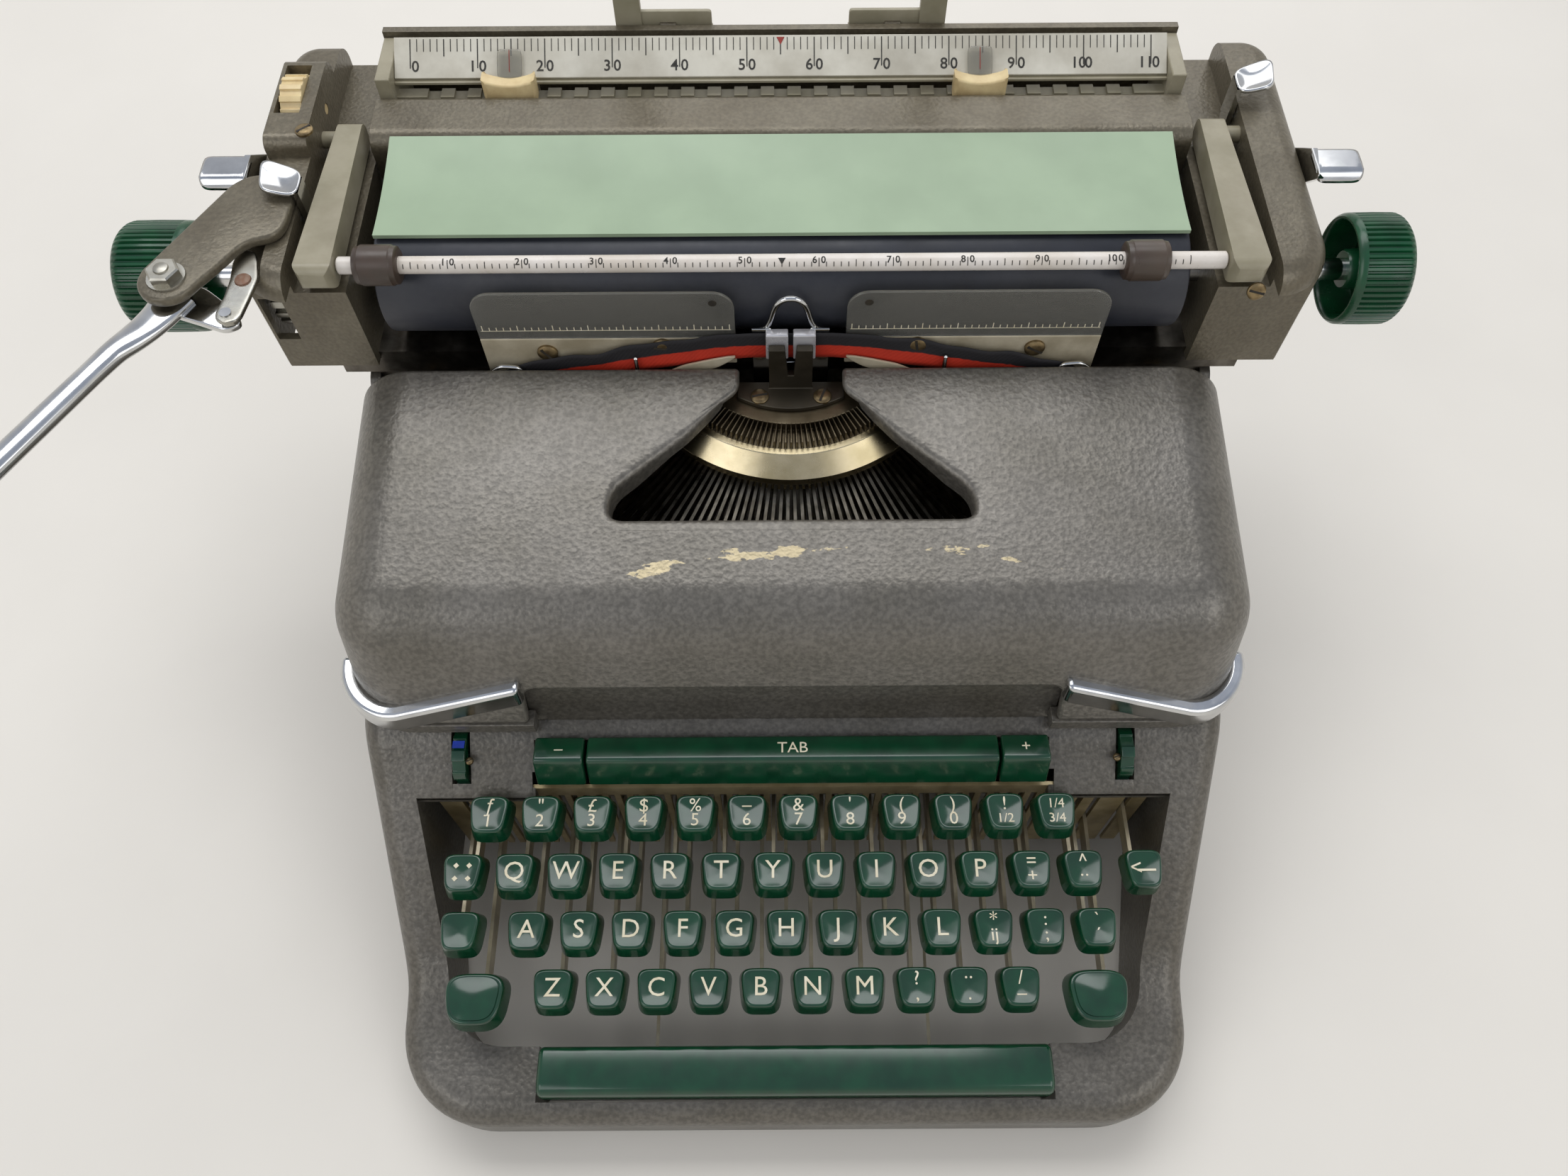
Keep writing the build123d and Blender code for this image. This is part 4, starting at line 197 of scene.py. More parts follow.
def stretched(tree: Tree, place: Socket, scale: Sequence[float]) -> Socket:
    """Scales coordinates along each axis; a small number draws a pattern out along that axis."""
    return add_node(tree, "ShaderNodeMapping", {"Vector": place, "Scale": scale}).outputs[0]


def raised(tree: Tree, height: Socket, depth_mm: float, strength: float = 1.0) -> Socket:
    """Normal of a surface that is raised by a height from 0 to 1 over the given depth."""
    inputs = {"Height": height, "Strength": strength, "Distance": depth_mm / MM_PER_M}
    return add_node(tree, "ShaderNodeBump", inputs).outputs[0]


@dataclass(frozen=True)
class Look:
    """What every finish has: a name, a slot name and its main colour, as sRGB hex."""

    name: str
    slot: str
    colour: str
    # Whether the main colour can stand for the finish where it is drawn without its nodes.
    one_colour: ClassVar[bool] = True

    def surface(self, tree: Tree) -> dict:
        """Values and sockets for the surface shader; each kind of finish gives its own."""
        raise NotImplementedError

    def material(self) -> bpy.types.Material:
        """Builds the material on first use and gives the same one out afterwards.

        Returns:
            The finish as a Blender material.
        """
        made = bpy.data.materials.get(self.name)
        if made is None:
            made = bpy.data.materials.new(self.name)
            made.use_nodes = True
            tree = made.node_tree
            tree.nodes.clear()
            shader = add_node(tree, "ShaderNodeBsdfPrincipled", self.surface(tree))
            add_node(tree, "ShaderNodeOutputMaterial", {"Surface": shader.outputs[0]})
            if self.one_colour:
                made.diffuse_color = linear(self.colour)
        return made


@dataclass(frozen=True)
class Finish(Look):
    """A finish with two tones in patches, dust, changing gloss and a fine relief; sizes in millimetres."""

    shade: str
    patch_mm: float
    roughness: float
    spread: float = 0.06
    metallic: float = 0.0
    relief: Relief = Relief.PITTED
    relief_mm: float = 1.0
    relief_depth_mm: float = 0.01
    dust: str = "#80725c"
    dust_amount: float = 0.15
    coat: float = 0.0
    grain: float = 0.0

    def base_colour(self, tree: Tree, place: Socket) -> Socket:
        """Mixes two tones by a patchy noise, lays dust on by a coarser one and paints light on the relief by a
        fine one.

        Args:
            tree: node tree of the material.
            place: socket with the surface's own coordinates in metres.

        Returns:
            Socket with the colour.
        """
        patches = noise(tree, place, MM_PER_M / self.patch_mm, 4.0)
        share = spread_out(tree, patches, 0.35, 0.65)
        tones = blend(tree, share, linear(self.colour), linear(self.shade))
        cloud = noise(tree, place, 0.25 * MM_PER_M / self.patch_mm, 8.0, 0.7)
        film = spread_out(tree, cloud, 0.45, 0.75, to_high=self.dust_amount)
        dusted = blend(tree, film, tones, linear(self.dust))
        if not self.grain:
            return dusted
        # Painted light: this noise follows the hammered dents, so their raised points are painted lighter as
        # highlight and their hollows darker as shade.
        specks = noise(tree, place, MM_PER_M / self.relief_mm, 2.0)
        light = spread_out(tree, specks, 0.36, 0.66, 1.0 - self.grain, 1.0 + self.grain)
        return add_node(tree, "ShaderNodeHueSaturation", {"Value": light, "Color": dusted}).outputs[0]

    def surface(self, tree: Tree) -> dict:
        """Changes the gloss by a noise, and raises the surface by a noise stretched as its relief says.

        Args:
            tree: node tree of the material.

        Returns:
            Values and sockets for the surface shader.
        """
        place = add_node(tree, "ShaderNodeTexCoord").outputs["Object"]
        wear = noise(tree, place, 0.6 * MM_PER_M / self.patch_mm, 6.0, 0.65)
        dull, bright = self.roughness + self.spread, self.roughness - self.spread
        lay = stretched(tree, place, self.relief.value)
        dents = noise(tree, lay, MM_PER_M / self.relief_mm, 1.5, 0.45)
        return {
            "Base Color": self.base_colour(tree, place),
            "Metallic": self.metallic,
            "Roughness": spread_out(tree, wear, 0.3, 0.7, bright, dull),
            "Coat Weight": self.coat,
            "Coat Roughness": 0.12,
            "Normal": raised(tree, dents, self.relief_depth_mm),
        }


@dataclass(frozen=True)
class ChippedLacquer(Finish):
    """Lacquer that has flaked along one bowed line across the hood; places in metres."""

    chip: str = "#b9ab8a"
    line_x: float = 0.0533
    line_y: float = -0.0155
    bow: float = 1.55
    half_band: float = 0.006
    ends: tuple[float, float] = (0.075, 0.11)
    edge: tuple[float, float] = (0.785, 0.805)

    def base_colour(self, tree: Tree, place: Socket) -> Socket:
        """Shows the primer where a noise is high and the distance to y = line_y - bow (x - line_x)^2 is small.

        Args:
            tree: node tree of the material.
            place: socket with the surface's own coordinates in metres.

        Returns:
            Socket with the colour.
        """
        lacquer = super().base_colour(tree, place)
        axes = add_node(tree, "ShaderNodeSeparateXYZ", {0: place})
        aside = reckon(tree, "SUBTRACT", axes.outputs[0], self.line_x)
        bowed = reckon(tree, "MULTIPLY_ADD", reckon(tree, "MULTIPLY", aside, aside), self.bow, axes.outputs[1])
        away = reckon(tree, "ABSOLUTE", reckon(tree, "SUBTRACT", bowed, self.line_y))
        band = spread_out(tree, away, 0.0, self.half_band, 0.30, 0.0)
        past = spread_out(tree, reckon(tree, "ABSOLUTE", aside), *self.ends, 0.0, 0.3)
        flakes = noise(tree, stretched(tree, place, (0.45, 1.0, 0.3)), 140.0, 5.0, 0.6)
        left = reckon(tree, "SUBTRACT", reckon(tree, "ADD", flakes, band), past)
        return blend(tree, spread_out(tree, left, *self.edge), lacquer, linear(self.chip))


@dataclass(frozen=True)
class ClearSheet(Look):
    """Clear plastic sheet, scuffed by paper: it shows what stands behind it under a faint haze."""

    scratch_mm: float = 0.6
    clearness: float = 0.88
    ior: float = 1.49

    def surface(self, tree: Tree) -> dict:
        """Roughens the sheet by a noise drawn out along X.

        Args:
            tree: node tree of the material.

        Returns:
            Values and sockets for the surface shader.
        """
        place = add_node(tree, "ShaderNodeTexCoord").outputs["Object"]
        scuffs = noise(tree, stretched(tree, place, (0.05, 1.0, 1.0)), MM_PER_M / self.scratch_mm, 3.0)
        return {
            "Base Color": linear(self.colour),
            "Roughness": spread_out(tree, scuffs, 0.4, 0.8, 0.05, 0.25),
            "Transmission Weight": self.clearness,
            "IOR": self.ior,
        }


@dataclass(frozen=True)
class RibbonCloth(Look):
    """Inked cotton ribbon: upper half in its main colour and lower half red, with a fine weave.

    The threads are drawn coarser than real ones, so that they show.
    """

    one_colour: ClassVar[bool] = False
    red: str = "#d8391f"
    worn_red: str = "#b32d1a"
    thread_mm: float = 0.5

    def surface(self, tree: Tree) -> dict:
        """Parts the two inks by a ragged line on the ribbon's own UV map, in metres along and across.

        Args:
            tree: node tree of the material.

        Returns:
            Values and sockets for the surface shader.
        """
        lay = add_node(tree, "ShaderNodeUVMap", uv_map=RIBBON_MAP).outputs[0]
        axes = add_node(tree, "ShaderNodeSeparateXYZ", {0: lay})
        ragged = reckon(tree, "MULTIPLY_ADD", noise(tree, lay, 300.0, 3.0), 0.0012, axes.outputs[1])
        upper = spread_out(tree, ragged, 0.0004, 0.0009)
        fade = blend(tree, noise(tree, lay, 120.0, 4.0), linear(self.red), linear(self.worn_red))
        weave = add_node(
            tree,
            "ShaderNodeTexWave",
            {"Vector": lay, "Scale": MM_PER_M / self.thread_mm / 6.28, "Distortion": 0.4},
            bands_direction="DIAGONAL",
        )
        return {
            "Base Color": blend(tree, upper, fade, linear(self.colour)),
            "Roughness": 0.75,
            "Normal": raised(tree, weave.outputs[1], 0.08, 0.5),
        }


# Grey hammered lacquer on steel, with metal flakes: a soft broad gloss broken by small rounded dents, whose
# raised points are painted lighter and hollows darker.
LACQUER = Finish(
    "hammered_grey_lacquer", "hammered_paint", "#6b6760", "#605c54", 30.0, 0.36, 0.06, metallic=0.42,
    relief=Relief.HAMMERED, relief_mm=1.7, relief_depth_mm=0.2, dust="#7a705f", dust_amount=0.2, grain=0.2,
)
# The same lacquer on the hood, painted a little paler than on the casing as light falling on the hood's top,
# with pale primer where it has flaked.
HOOD_LACQUER = ChippedLacquer(
    "flaked_grey_lacquer", "hammered_paint", "#75716a", "#6c6860", 34.0, 0.36, 0.06, metallic=0.42,
    relief=Relief.HAMMERED, relief_mm=1.7, relief_depth_mm=0.2, dust="#7d7669", dust_amount=0.16, grain=0.2,
)
# The same lacquer, browner and dirtier, on the carriage ends and the cover behind the platen.
BROWNED = Finish(
    "browned_grey_lacquer", "dark_enamel", "#716a5a", "#635c4d", 18.0, 0.36, 0.08, metallic=0.35,
    relief=Relief.HAMMERED, relief_mm=1.4, relief_depth_mm=0.16, dust="#82745c", dust_amount=0.2, grain=0.12,
)
# Moulded thermoset, polished by fingers: deep green with a sharp gloss.
GREEN = Finish(
    "bottle_green_moulding", "green_plastic", "#10442b", "#0b3723", 9.0, 0.17, 0.05,
    relief_mm=3.0, relief_depth_mm=0.008, dust="#3f5f48", dust_amount=0.1, coat=0.3,
)
# The knobs' moulding, a little brighter and duller from handling.
KNOB_GREEN = Finish(
    "knob_green_moulding", "green_plastic", "#11502f", "#0c4027", 9.0, 0.24, 0.06,
    relief_mm=3.0, relief_depth_mm=0.008, dust="#5b6a55", dust_amount=0.12,
)
# Fillings of the signs in the mouldings: flat cream, and blue on the ribbon selector.
SIGN = Finish("cream_sign_filling", "cream_plastic", "#f0e9d2", "#e2d8ba", 6.0, 0.45, dust_amount=0.1)
BLUE = Finish("blue_sign_filling", "green_plastic", "#2548c8", "#1c3aa0", 6.0, 0.4)
# Sprayed enamel on sheet steel: smooth, half gloss, faintly rubbed.
PALE_GREEN = Finish(
    "pale_green_enamel", "green_enamel", "#a0b598", "#97ac90", 30.0, 0.38, 0.1,
    relief_mm=4.0, relief_depth_mm=0.012, dust="#9ba58a", dust_amount=0.15,
)
GREY_GREEN = Finish(
    "sprayed_grey_green", "grey_green_enamel", "#a39c87", "#969079", 14.0, 0.40, 0.1,
    relief_mm=2.5, relief_depth_mm=0.015, dust="#6d6250", dust_amount=0.35,
)
# Bright plating with a little clouding.
CHROME = Finish(
    "chrome_plate", "chrome", "#d6d6d4", "#c2c3c4", 14.0, 0.13, 0.06, metallic=1.0,
    relief_mm=6.0, relief_depth_mm=0.01, dust="#8d7d66", dust_amount=0.15,
)
# Plating worn dull on nut, link and ratchet.
NICKEL = Finish(
    "dull_nickel_plate", "chrome", "#b9b7ae", "#a09d93", 10.0, 0.3, 0.1, metallic=1.0,
    relief_mm=1.2, relief_depth_mm=0.008, dust="#7b6a4e", dust_amount=0.3,
)
# Bright plate on the two tips in front of the ribbon.
TIP_PLATE = Finish(
    "bright_tip_plate", "chrome", "#d9d8dc", "#cac8cd", 5.0, 0.26, 0.06, metallic=0.5,
    relief_mm=1.0, relief_depth_mm=0.008, dust="#7d6d55", dust_amount=0.3,
)
# Oiled working steel, darkened and dirty.
STEEL = Finish(
    "oiled_steel", "steel", "#77726a", "#4d4943", 8.0, 0.38, 0.1, metallic=1.0,
    relief_mm=0.8, relief_depth_mm=0.012, dust="#4a3f2e", dust_amount=0.5,
)
# Type bars: grey-brown metal in patches, under dust.
TYPE_STEEL = Finish(
    "blackened_type_steel", "steel", "#8a8272", "#5d574b", 5.0, 0.34, 0.1, metallic=1.0,
    relief_mm=0.7, relief_depth_mm=0.012, dust="#6b6250", dust_amount=0.4,
)
# Blackened sheet of the type guide, under a coat of dust.
GUIDE_STEEL = Finish(
    "blackened_guide_steel", "steel", "#4b453a", "#353027", 8.0, 0.38, 0.1, metallic=0.7,
    relief_mm=0.8, relief_depth_mm=0.012, dust="#8a7f68", dust_amount=0.3,
)
# Ground rim of the segment, bright and a little golden.
RIM_STEEL = Finish(
    "ground_rim_steel", "steel", "#cbbd9c", "#b7a985", 14.0, 0.28, 0.06, metallic=1.0,
    relief=Relief.BRUSHED, relief_mm=0.6, relief_depth_mm=0.008, dust="#5a4b33", dust_amount=0.2,
)
# Slotted part of the segment, browned by old oil.
SEGMENT_STEEL = Finish(
    "ground_segment_steel", "steel", "#7a6f5a", "#5f5543", 12.0, 0.34, 0.08, metallic=0.9,
    relief=Relief.BRUSHED, relief_mm=0.6, relief_depth_mm=0.01, dust="#4a3c28", dust_amount=0.3,
)
# Brushed pale sheet of the margin scale, and the inks printed on it.
ALUMINIUM = Finish(
    "printed_aluminium", "scale_aluminium", "#dad6c8", "#c9c4b5", 20.0, 0.42, 0.08, metallic=0.25,
    relief=Relief.BRUSHED, relief_mm=0.5, relief_depth_mm=0.006, dust="#8d8470", dust_amount=0.4,
)
INK = Finish("black_scale_ink", "scale_aluminium", "#24231f", "#34322c", 4.0, 0.6)
RED_MARK = Finish("red_scale_ink", "scale_aluminium", "#9c3226", "#84281e", 4.0, 0.5)
# White enamel on the bail rod, yellowed a little.
ROD_WHITE = Finish(
    "white_rod_enamel", "scale_aluminium", "#eae4de", "#e0d8ce", 16.0, 0.28, 0.06,
    relief_mm=2.0, relief_depth_mm=0.006, dust="#a08a70", dust_amount=0.2,
)
# Dull yellow sheet of the comb and the escapement, and darker tarnished screws.
BRASS = Finish(
    "dull_brass", "comb_brass", "#c2b188", "#a8966d", 10.0, 0.4, 0.08, metallic=0.55,
    relief_mm=0.9, relief_depth_mm=0.01, dust="#6b5a3c", dust_amount=0.35,
)
SCREW_BRASS = Finish(
    "tarnished_screw_brass", "comb_brass", "#93805e", "#6f5f45", 3.0, 0.38, metallic=0.9,
    relief_mm=0.6, relief_depth_mm=0.01, dust="#4b3c25", dust_amount=0.5,
)
# Flat steel of the key levers, lacquered and yellowed.
LEVER_STEEL = Finish(
    "yellowed_lever_steel", "steel", "#bdb398", "#a3987d", 10.0, 0.36, 0.08, metallic=0.4,
    relief_mm=0.9, relief_depth_mm=0.01, dust="#5f5138", dust_amount=0.3,
)
# Zinc-plated sheet gone dull and yellowish.
ZINC = Finish(
    "dull_zinc_plate", "steel", "#d2c8b0", "#beb399", 12.0, 0.40, 0.1, metallic=0.25,
    relief_mm=1.0, relief_depth_mm=0.012, dust="#6b5a3e", dust_amount=0.4,
)
# Brown, rough rivet head; and painted shade for the inside of screw slots and holes, laid on as dark bars and
# discs.
RUST = Finish(
    "rusted_rivet_steel", "steel", "#7a5440", "#8f7c6c", 2.0, 0.55, metallic=0.4,
    relief_mm=0.5, relief_depth_mm=0.03, dust="#5a3a28", dust_amount=0.5,
)
SLOT_SHADE = Finish("painted_slot_shade", "steel", "#1e1a14", "#2a241b", 3.0, 0.7)
# Moulded stops and selector wheel, yellowed with age.
CREAM = Finish(
    "cream_moulding", "cream_plastic", "#e8d4a4", "#dac292", 8.0, 0.38,
    relief_mm=2.0, relief_depth_mm=0.01, dust="#9a7a4c", dust_amount=0.35,
)
# Hard rubber, polished by paper and streaked along its length.
PLATEN = Finish(
    "hard_platen_rubber", "platen_rubber", "#23262f", "#1b1d24", 12.0, 0.45, 0.1,
    relief=Relief.BRUSHED, relief_mm=1.5, relief_depth_mm=0.012, dust="#5d5f68", dust_amount=0.3,
)
# Softer brown rubber of the bail rollers, and dull black rubber of the feet.
ROLLER = Finish(
    "brown_roller_rubber", "roller_rubber", "#4a3c33", "#39302a", 6.0, 0.35, 0.08,
    relief_mm=1.0, relief_depth_mm=0.01, dust="#7a6a58", dust_amount=0.3,
)
FOOT = Finish("black_foot_rubber", "foot_rubber", "#262524", "#1d1c1b", 8.0, 0.75, dust_amount=0.3)
# Clear card plates and pointers, and the two-coloured ribbon.
CLEAR = ClearSheet("scuffed_clear_sheet", "clear_plastic", "#dad8cf")
RIBBON = RibbonCloth("inked_ribbon_cloth", "ribbon_cloth", "#1d1b1e")


def round_turn(count: int) -> Array:
    """Angles of a full turn in even steps."""
    return np.linspace(0.0, 2.0 * np.pi, count, endpoint=False)


def squarish(angle: Array, power: float) -> tuple[Array, Array]:
    """Cosine and sine raised to a power with their signs kept: a circle drawn out to a rounded square."""
    c, s = np.cos(angle), np.sin(angle)
    return np.sign(c) * np.abs(c) ** power, np.sign(s) * np.abs(s) ** power


def unit(rows: Array) -> Array:
    """The same directions, one unit long."""
    return rows / np.linalg.norm(rows, axis=-1, keepdims=True)


def quarter_round(edge: float, steps: int) -> tuple[Array, Array]:
    """Way gone from a face, edge (1 - cos a), and way drawn in there, edge (1 - sin a), over a quarter turn."""
    a = np.linspace(0.0, np.pi / 2.0, steps)
    return edge * (1.0 - np.cos(a)), edge * (1.0 - np.sin(a))


def capped(rings: Array, path: Array) -> Solid:
    """Skin over rings of points along a path, closed to a point at both ends of it.

    Args:
        rings: points of each ring.
        path: middle of each ring.

    Returns:
        Points and faces.
    """
    ends = np.repeat(path[[0, -1], None], rings.shape[1], axis=1)
    grid = np.concatenate([ends[:1], rings, ends[1:]])
    return grid.reshape(-1, 3), grid_faces(len(grid), rings.shape[1], True)


def grid_faces(rows: int, columns: int, closed: bool) -> list:
    """Faces between neighbours of a grid whose row i, column j is vertex i * columns + j.

    Args:
        rows: number of rows.
        columns: number of columns.
        closed: whether the last column joins the first.

    Returns:
        Four-cornered faces as lists of vertex numbers.
    """
    i = np.arange(rows - 1)[:, None]
    j = np.arange(columns if closed else columns - 1)[None, :]
    near, far = i * columns + j, i * columns + (j + 1) % columns
    return np.stack([near, far, far + columns, near + columns], -1).reshape(-1, 4).tolist()


def joined(solids: Sequence[Solid]) -> Solid:
    """Puts several solids into one list of points and faces.

    Args:
        solids: pairs of points and faces.

    Returns:
        One pair of points and faces.
    """
    starts = np.cumsum([0] + [len(points) for points, _ in solids])
    faces = [[start + n for n in face] for (_, part), start in zip(solids, starts) for face in part]
    return np.concatenate([points for points, _ in solids]), faces


def turned(
    profile: Array, count: int, ribs: int = 0, rib_depth: float = 0.0, ribbed: Optional[Array] = None
) -> Solid:
    """Surface turned about X: (along, radius) at angle a lies at (along, radius cos a, radius sin a).

    Where ribbed is 1, the radius is lowered by rib_depth in the groove that ends each rib's share of the turn.

    Args:
        profile: rows of (along, radius), from pole to pole.
        count: steps round the axis.
        ribs: number of ribs.
        rib_depth: depth of the grooves between ribs.
        ribbed: share of the rib depth for each row of the profile.

    Returns:
        Points and faces.
    """
    angle = round_turn(count)
    share = np.zeros(len(profile)) if ribbed is None else np.asarray(ribbed, float)
    groove = rib_depth * (np.mod(ribs * angle / (2.0 * np.pi) + 1e-6, 1.0) > GROOVE_START)
    rows = np.asarray(profile, float)
    radius = np.maximum(rows[:, 1:2] - share[:, None] * groove[None, :], 0.0)
    along = np.repeat(rows[:, 0:1], count, axis=1)
    points = np.stack([along, radius * np.cos(angle), radius * np.sin(angle)], -1).reshape(-1, 3)
    return points, grid_faces(len(profile), count, True)


def stood_pin(profile: Sequence[tuple[float, float]], count: int, place: tuple[float, float]) -> Solid:
    """Upright pin turned from rows of (height, radius), over a place in plan."""
    return moved(facing(turned(profile, count), UPRIGHT), (*place, 0.0))


def moved(solid: Solid, shift: Sequence[float]) -> Solid:
    """The same solid, shifted."""
    return solid[0] + np.asarray(shift, float), solid[1]


def facing(solid: Solid, axes: Sequence[Sequence[float]]) -> Solid:
    """The same solid with its own X, Y and Z laid along the three given directions."""
    return solid[0] @ np.asarray(axes, float), solid[1]


def rounded_outline(corners: Array, radii: Sequence[float], steps: int = 6) -> Array:
    """Closed outline whose corners are bowed curves (1-t)^2 A + 2t(1-t) P + t^2 B between edge points A and B.

    Args:
        corners: corner points in order.
        radii: distance from each corner to its edge points.
        steps: points on each corner.

    Returns:
        Points of the outline.
    """
    corner = np.asarray(corners, float)
    before, after = np.roll(corner, 1, axis=0) - corner, np.roll(corner, -1, axis=0) - corner
    reach = np.asarray(radii, float)[:, None]
    start, end = corner + reach * unit(before), corner + reach * unit(after)
    t = np.linspace(0.0, 1.0, steps)[None, :, None]
    curve = (1 - t) ** 2 * start[:, None] + 2 * t * (1 - t) * corner[:, None] + t**2 * end[:, None]
    return curve.reshape(-1, 2)


def bar_along_x(section: Array, start: float, end: float, edge: float, steps: int = 5) -> Solid:
    """Section (y, z) carried along X; near an end, edge (1 - cos a) from it, it shrinks by edge (1 - sin a).

    Args:
        section: closed outline.
        start: first X.
        end: last X.
        edge: rounding of the two ends.
        steps: rings on each rounding.

    Returns:
        Points and faces.
    """
    go, fall = quarter_round(edge, steps)
    middle = (section.min(0) + section.max(0)) / 2.0
    half = (section.max(0) - section.min(0)) / 2.0
    x = np.concatenate([[start], start + go, (end - go)[::-1], [end]])
    shrink = np.concatenate([fall, fall[::-1]])[:, None]
    scale = np.concatenate([np.zeros((1, 2)), 1.0 - shrink / half[None, :], np.zeros((1, 2))])
    rings = middle + (section - middle)[None] * scale[:, None, :]
    along = np.repeat(x[:, None, None], len(section), axis=1)
    return np.concatenate([along, rings], -1).reshape(-1, 3), grid_faces(len(x), len(section), True)


def plate(outline: Array, low: float, high: float, edge: float, steps: int = 4) -> Solid:
    """Closed outline (x, y) carried up Z, drawn in along its own normals at both faces.

    Where it has gone edge (1 - cos a) from a face, it is drawn in by edge (1 - sin a).

    Args:
        outline: points of the outline, anticlockwise.
        low: Z of the lower face.
        high: Z of the upper face.
        edge: rounding of the two rims.
        steps: rings on each rim.

    Returns:
        Points and faces.
    """
    along = unit(np.roll(outline, -1, axis=0) - np.roll(outline, 1, axis=0))
    inward = np.stack([-along[:, 1], along[:, 0]], -1)
    go, fall = quarter_round(edge, steps)
    z = np.concatenate([low + go, (high - go)[::-1]])
    rings = outline[None] + inward[None] * np.concatenate([fall, fall[::-1]])[:, None, None]
    height = np.repeat(z[:, None, None], len(outline), axis=1)
    points = np.concatenate([rings, height], -1).reshape(-1, 3)
    last = np.arange(len(outline)) + len(points) - len(outline)
    caps = [np.arange(len(outline))[::-1].tolist(), last.tolist()]
    return points, grid_faces(len(z), len(outline), True) + caps


def blade(path: Array, half_wide: Array, half_tall: Array, power: float = 2.5, sides: int = 24) -> Solid:
    """Bar along a path in plan: its section is |across / wide|^n + |up / tall|^n = 1 at each point.

    Args:
        path: points (x, y, z) along the middle of the bar.
        half_wide: half width at each point.
        half_tall: half height at each point.
        power: the n of the section.
        sides: points round the section.

    Returns:
        Points and faces.
    """
    across = unit(np.cross((0.0, 0.0, 1.0), unit(np.gradient(path, axis=0))))
    wide, tall = squarish(round_turn(sides), 2.0 / power)
    side = across[:, None] * wide[None, :, None] * np.asarray(half_wide, float)[:, None, None]
    up = np.array((0.0, 0.0, 1.0)) * tall[None, :, None] * np.asarray(half_tall, float)[:, None, None]
    return capped(path[:, None] + side + up, path)


def smooth_path(knots: Sequence[Sequence[float]], count: int, rounds: int = 3) -> Array:
    """Points spaced evenly along straight runs between knots, then averaged with their neighbours.

    Args:
        knots: rows of numbers, the first columns a place and the others sizes that change with it.
        count: number of points.
        rounds: how often they are averaged.

    Returns:
        One row for each point.
    """
    knot = np.asarray(knots, float)
    run = np.concatenate([[0.0], np.cumsum(np.linalg.norm(np.diff(knot[:, :2], axis=0), axis=1))])
    at = np.linspace(0.0, run[-1], count)
    line = np.stack([np.interp(at, run, knot[:, k]) for k in range(knot.shape[1])], -1)
    for _ in range(rounds):
        line[1:-1] = (line[:-2] + 2.0 * line[1:-1] + line[2:]) / 4.0
    return line


def patch(
    shape: Callable[[Array, Array], Array], corner: float = 0.55, rings: int = 12, sides: int = 48
) -> Solid:
    """Sheet over a rounded square: at angle a and reach r, u is r |cos a|^c and v is r |sin a|^c, with signs.

    Args:
        shape: gives points for arrays of u and v from -1 to 1.
        corner: the c, smaller for squarer corners.
        rings: rows from the middle to the rim.
        sides: points round the rim.

    Returns:
        Points and faces.
    """
    r = np.linspace(0.0, 1.0, rings)[:, None]
    u, v = (r * rim[None] for rim in squarish(round_turn(sides), corner))
    return shape(u, v).reshape(-1, 3), grid_faces(rings, sides, True)


def tube(path: Array, radius: float, sides: int = 12) -> Solid:
    """Round wire: a circle of the given radius carried along a path that lies in a plane of constant Y.

    Args:
        path: points along the wire.
        radius: radius of the wire.
        sides: points round it.

    Returns:
        Points and faces.
    """
    side = np.array((0.0, 1.0, 0.0))[None]
    up = np.cross(side, unit(np.gradient(path, axis=0)))
    a = round_turn(sides)[None, :, None]
    return capped(path[:, None] + radius * (np.cos(a) * side[:, None] + np.sin(a) * up[:, None]), path)


def slabs(centres: Array, half: Array, axes: Sequence[Sequence[float]]) -> Solid:
    """Many small rectangular bars: each corner is its centre plus or minus the half sizes along three axes.

    Args:
        centres: centre of each bar.
        half: half sizes of each bar along the three axes.
        axes: three directions.

    Returns:
        Points and faces.
    """
    sign = np.array([(x, y, z) for x in (-1, 1) for y in (-1, 1) for z in (-1, 1)], float)
    corners = centres[:, None] + (sign[None] * half[:, None]) @ np.asarray(axes, float)
    quads = np.array([(0, 1, 3, 2), (4, 6, 7, 5), (0, 4, 5, 1), (2, 3, 7, 6), (0, 2, 6, 4), (1, 5, 7, 3)])
    faces = quads[None] + 8 * np.arange(len(centres))[:, None, None]
    return corners.reshape(-1, 3), faces.reshape(-1, 4).tolist()


def lettering(words: str, size: float, thick: float = 0.12, weight: float = 0.0) -> Solid:
    """Words as a thin flat solid about their own middle, read from +Z with X to the right.

    Args:
        words: what is written.
        size: type size in millimetres.
        thick: thickness in millimetres.
        weight: how far the strokes are thickened, in millimetres.

    Returns:
        Points in millimetres and faces.
    """
    curve = bpy.data.curves.new("words", "FONT")
    curve.body = words
    curve.size = size
    curve.extrude = thick / 2.0
    curve.offset = weight
    curve.resolution_u = 3
    curve.align_x = "CENTER"
    curve.align_y = "CENTER"
    holder = bpy.data.objects.new("words", curve)
    bpy.context.scene.collection.objects.link(holder)
    bpy.context.view_layer.update()
    mesh = bpy.data.meshes.new_from_object(holder.evaluated_get(bpy.context.evaluated_depsgraph_get()))
    flat = np.zeros(3 * len(mesh.vertices))
    mesh.vertices.foreach_get("co", flat)
    faces = [list(polygon.vertices) for polygon in mesh.polygons]
    bpy.data.objects.remove(holder)
    bpy.data.curves.remove(curve)
    bpy.data.meshes.remove(mesh)
    return flat.reshape(-1, 3), faces


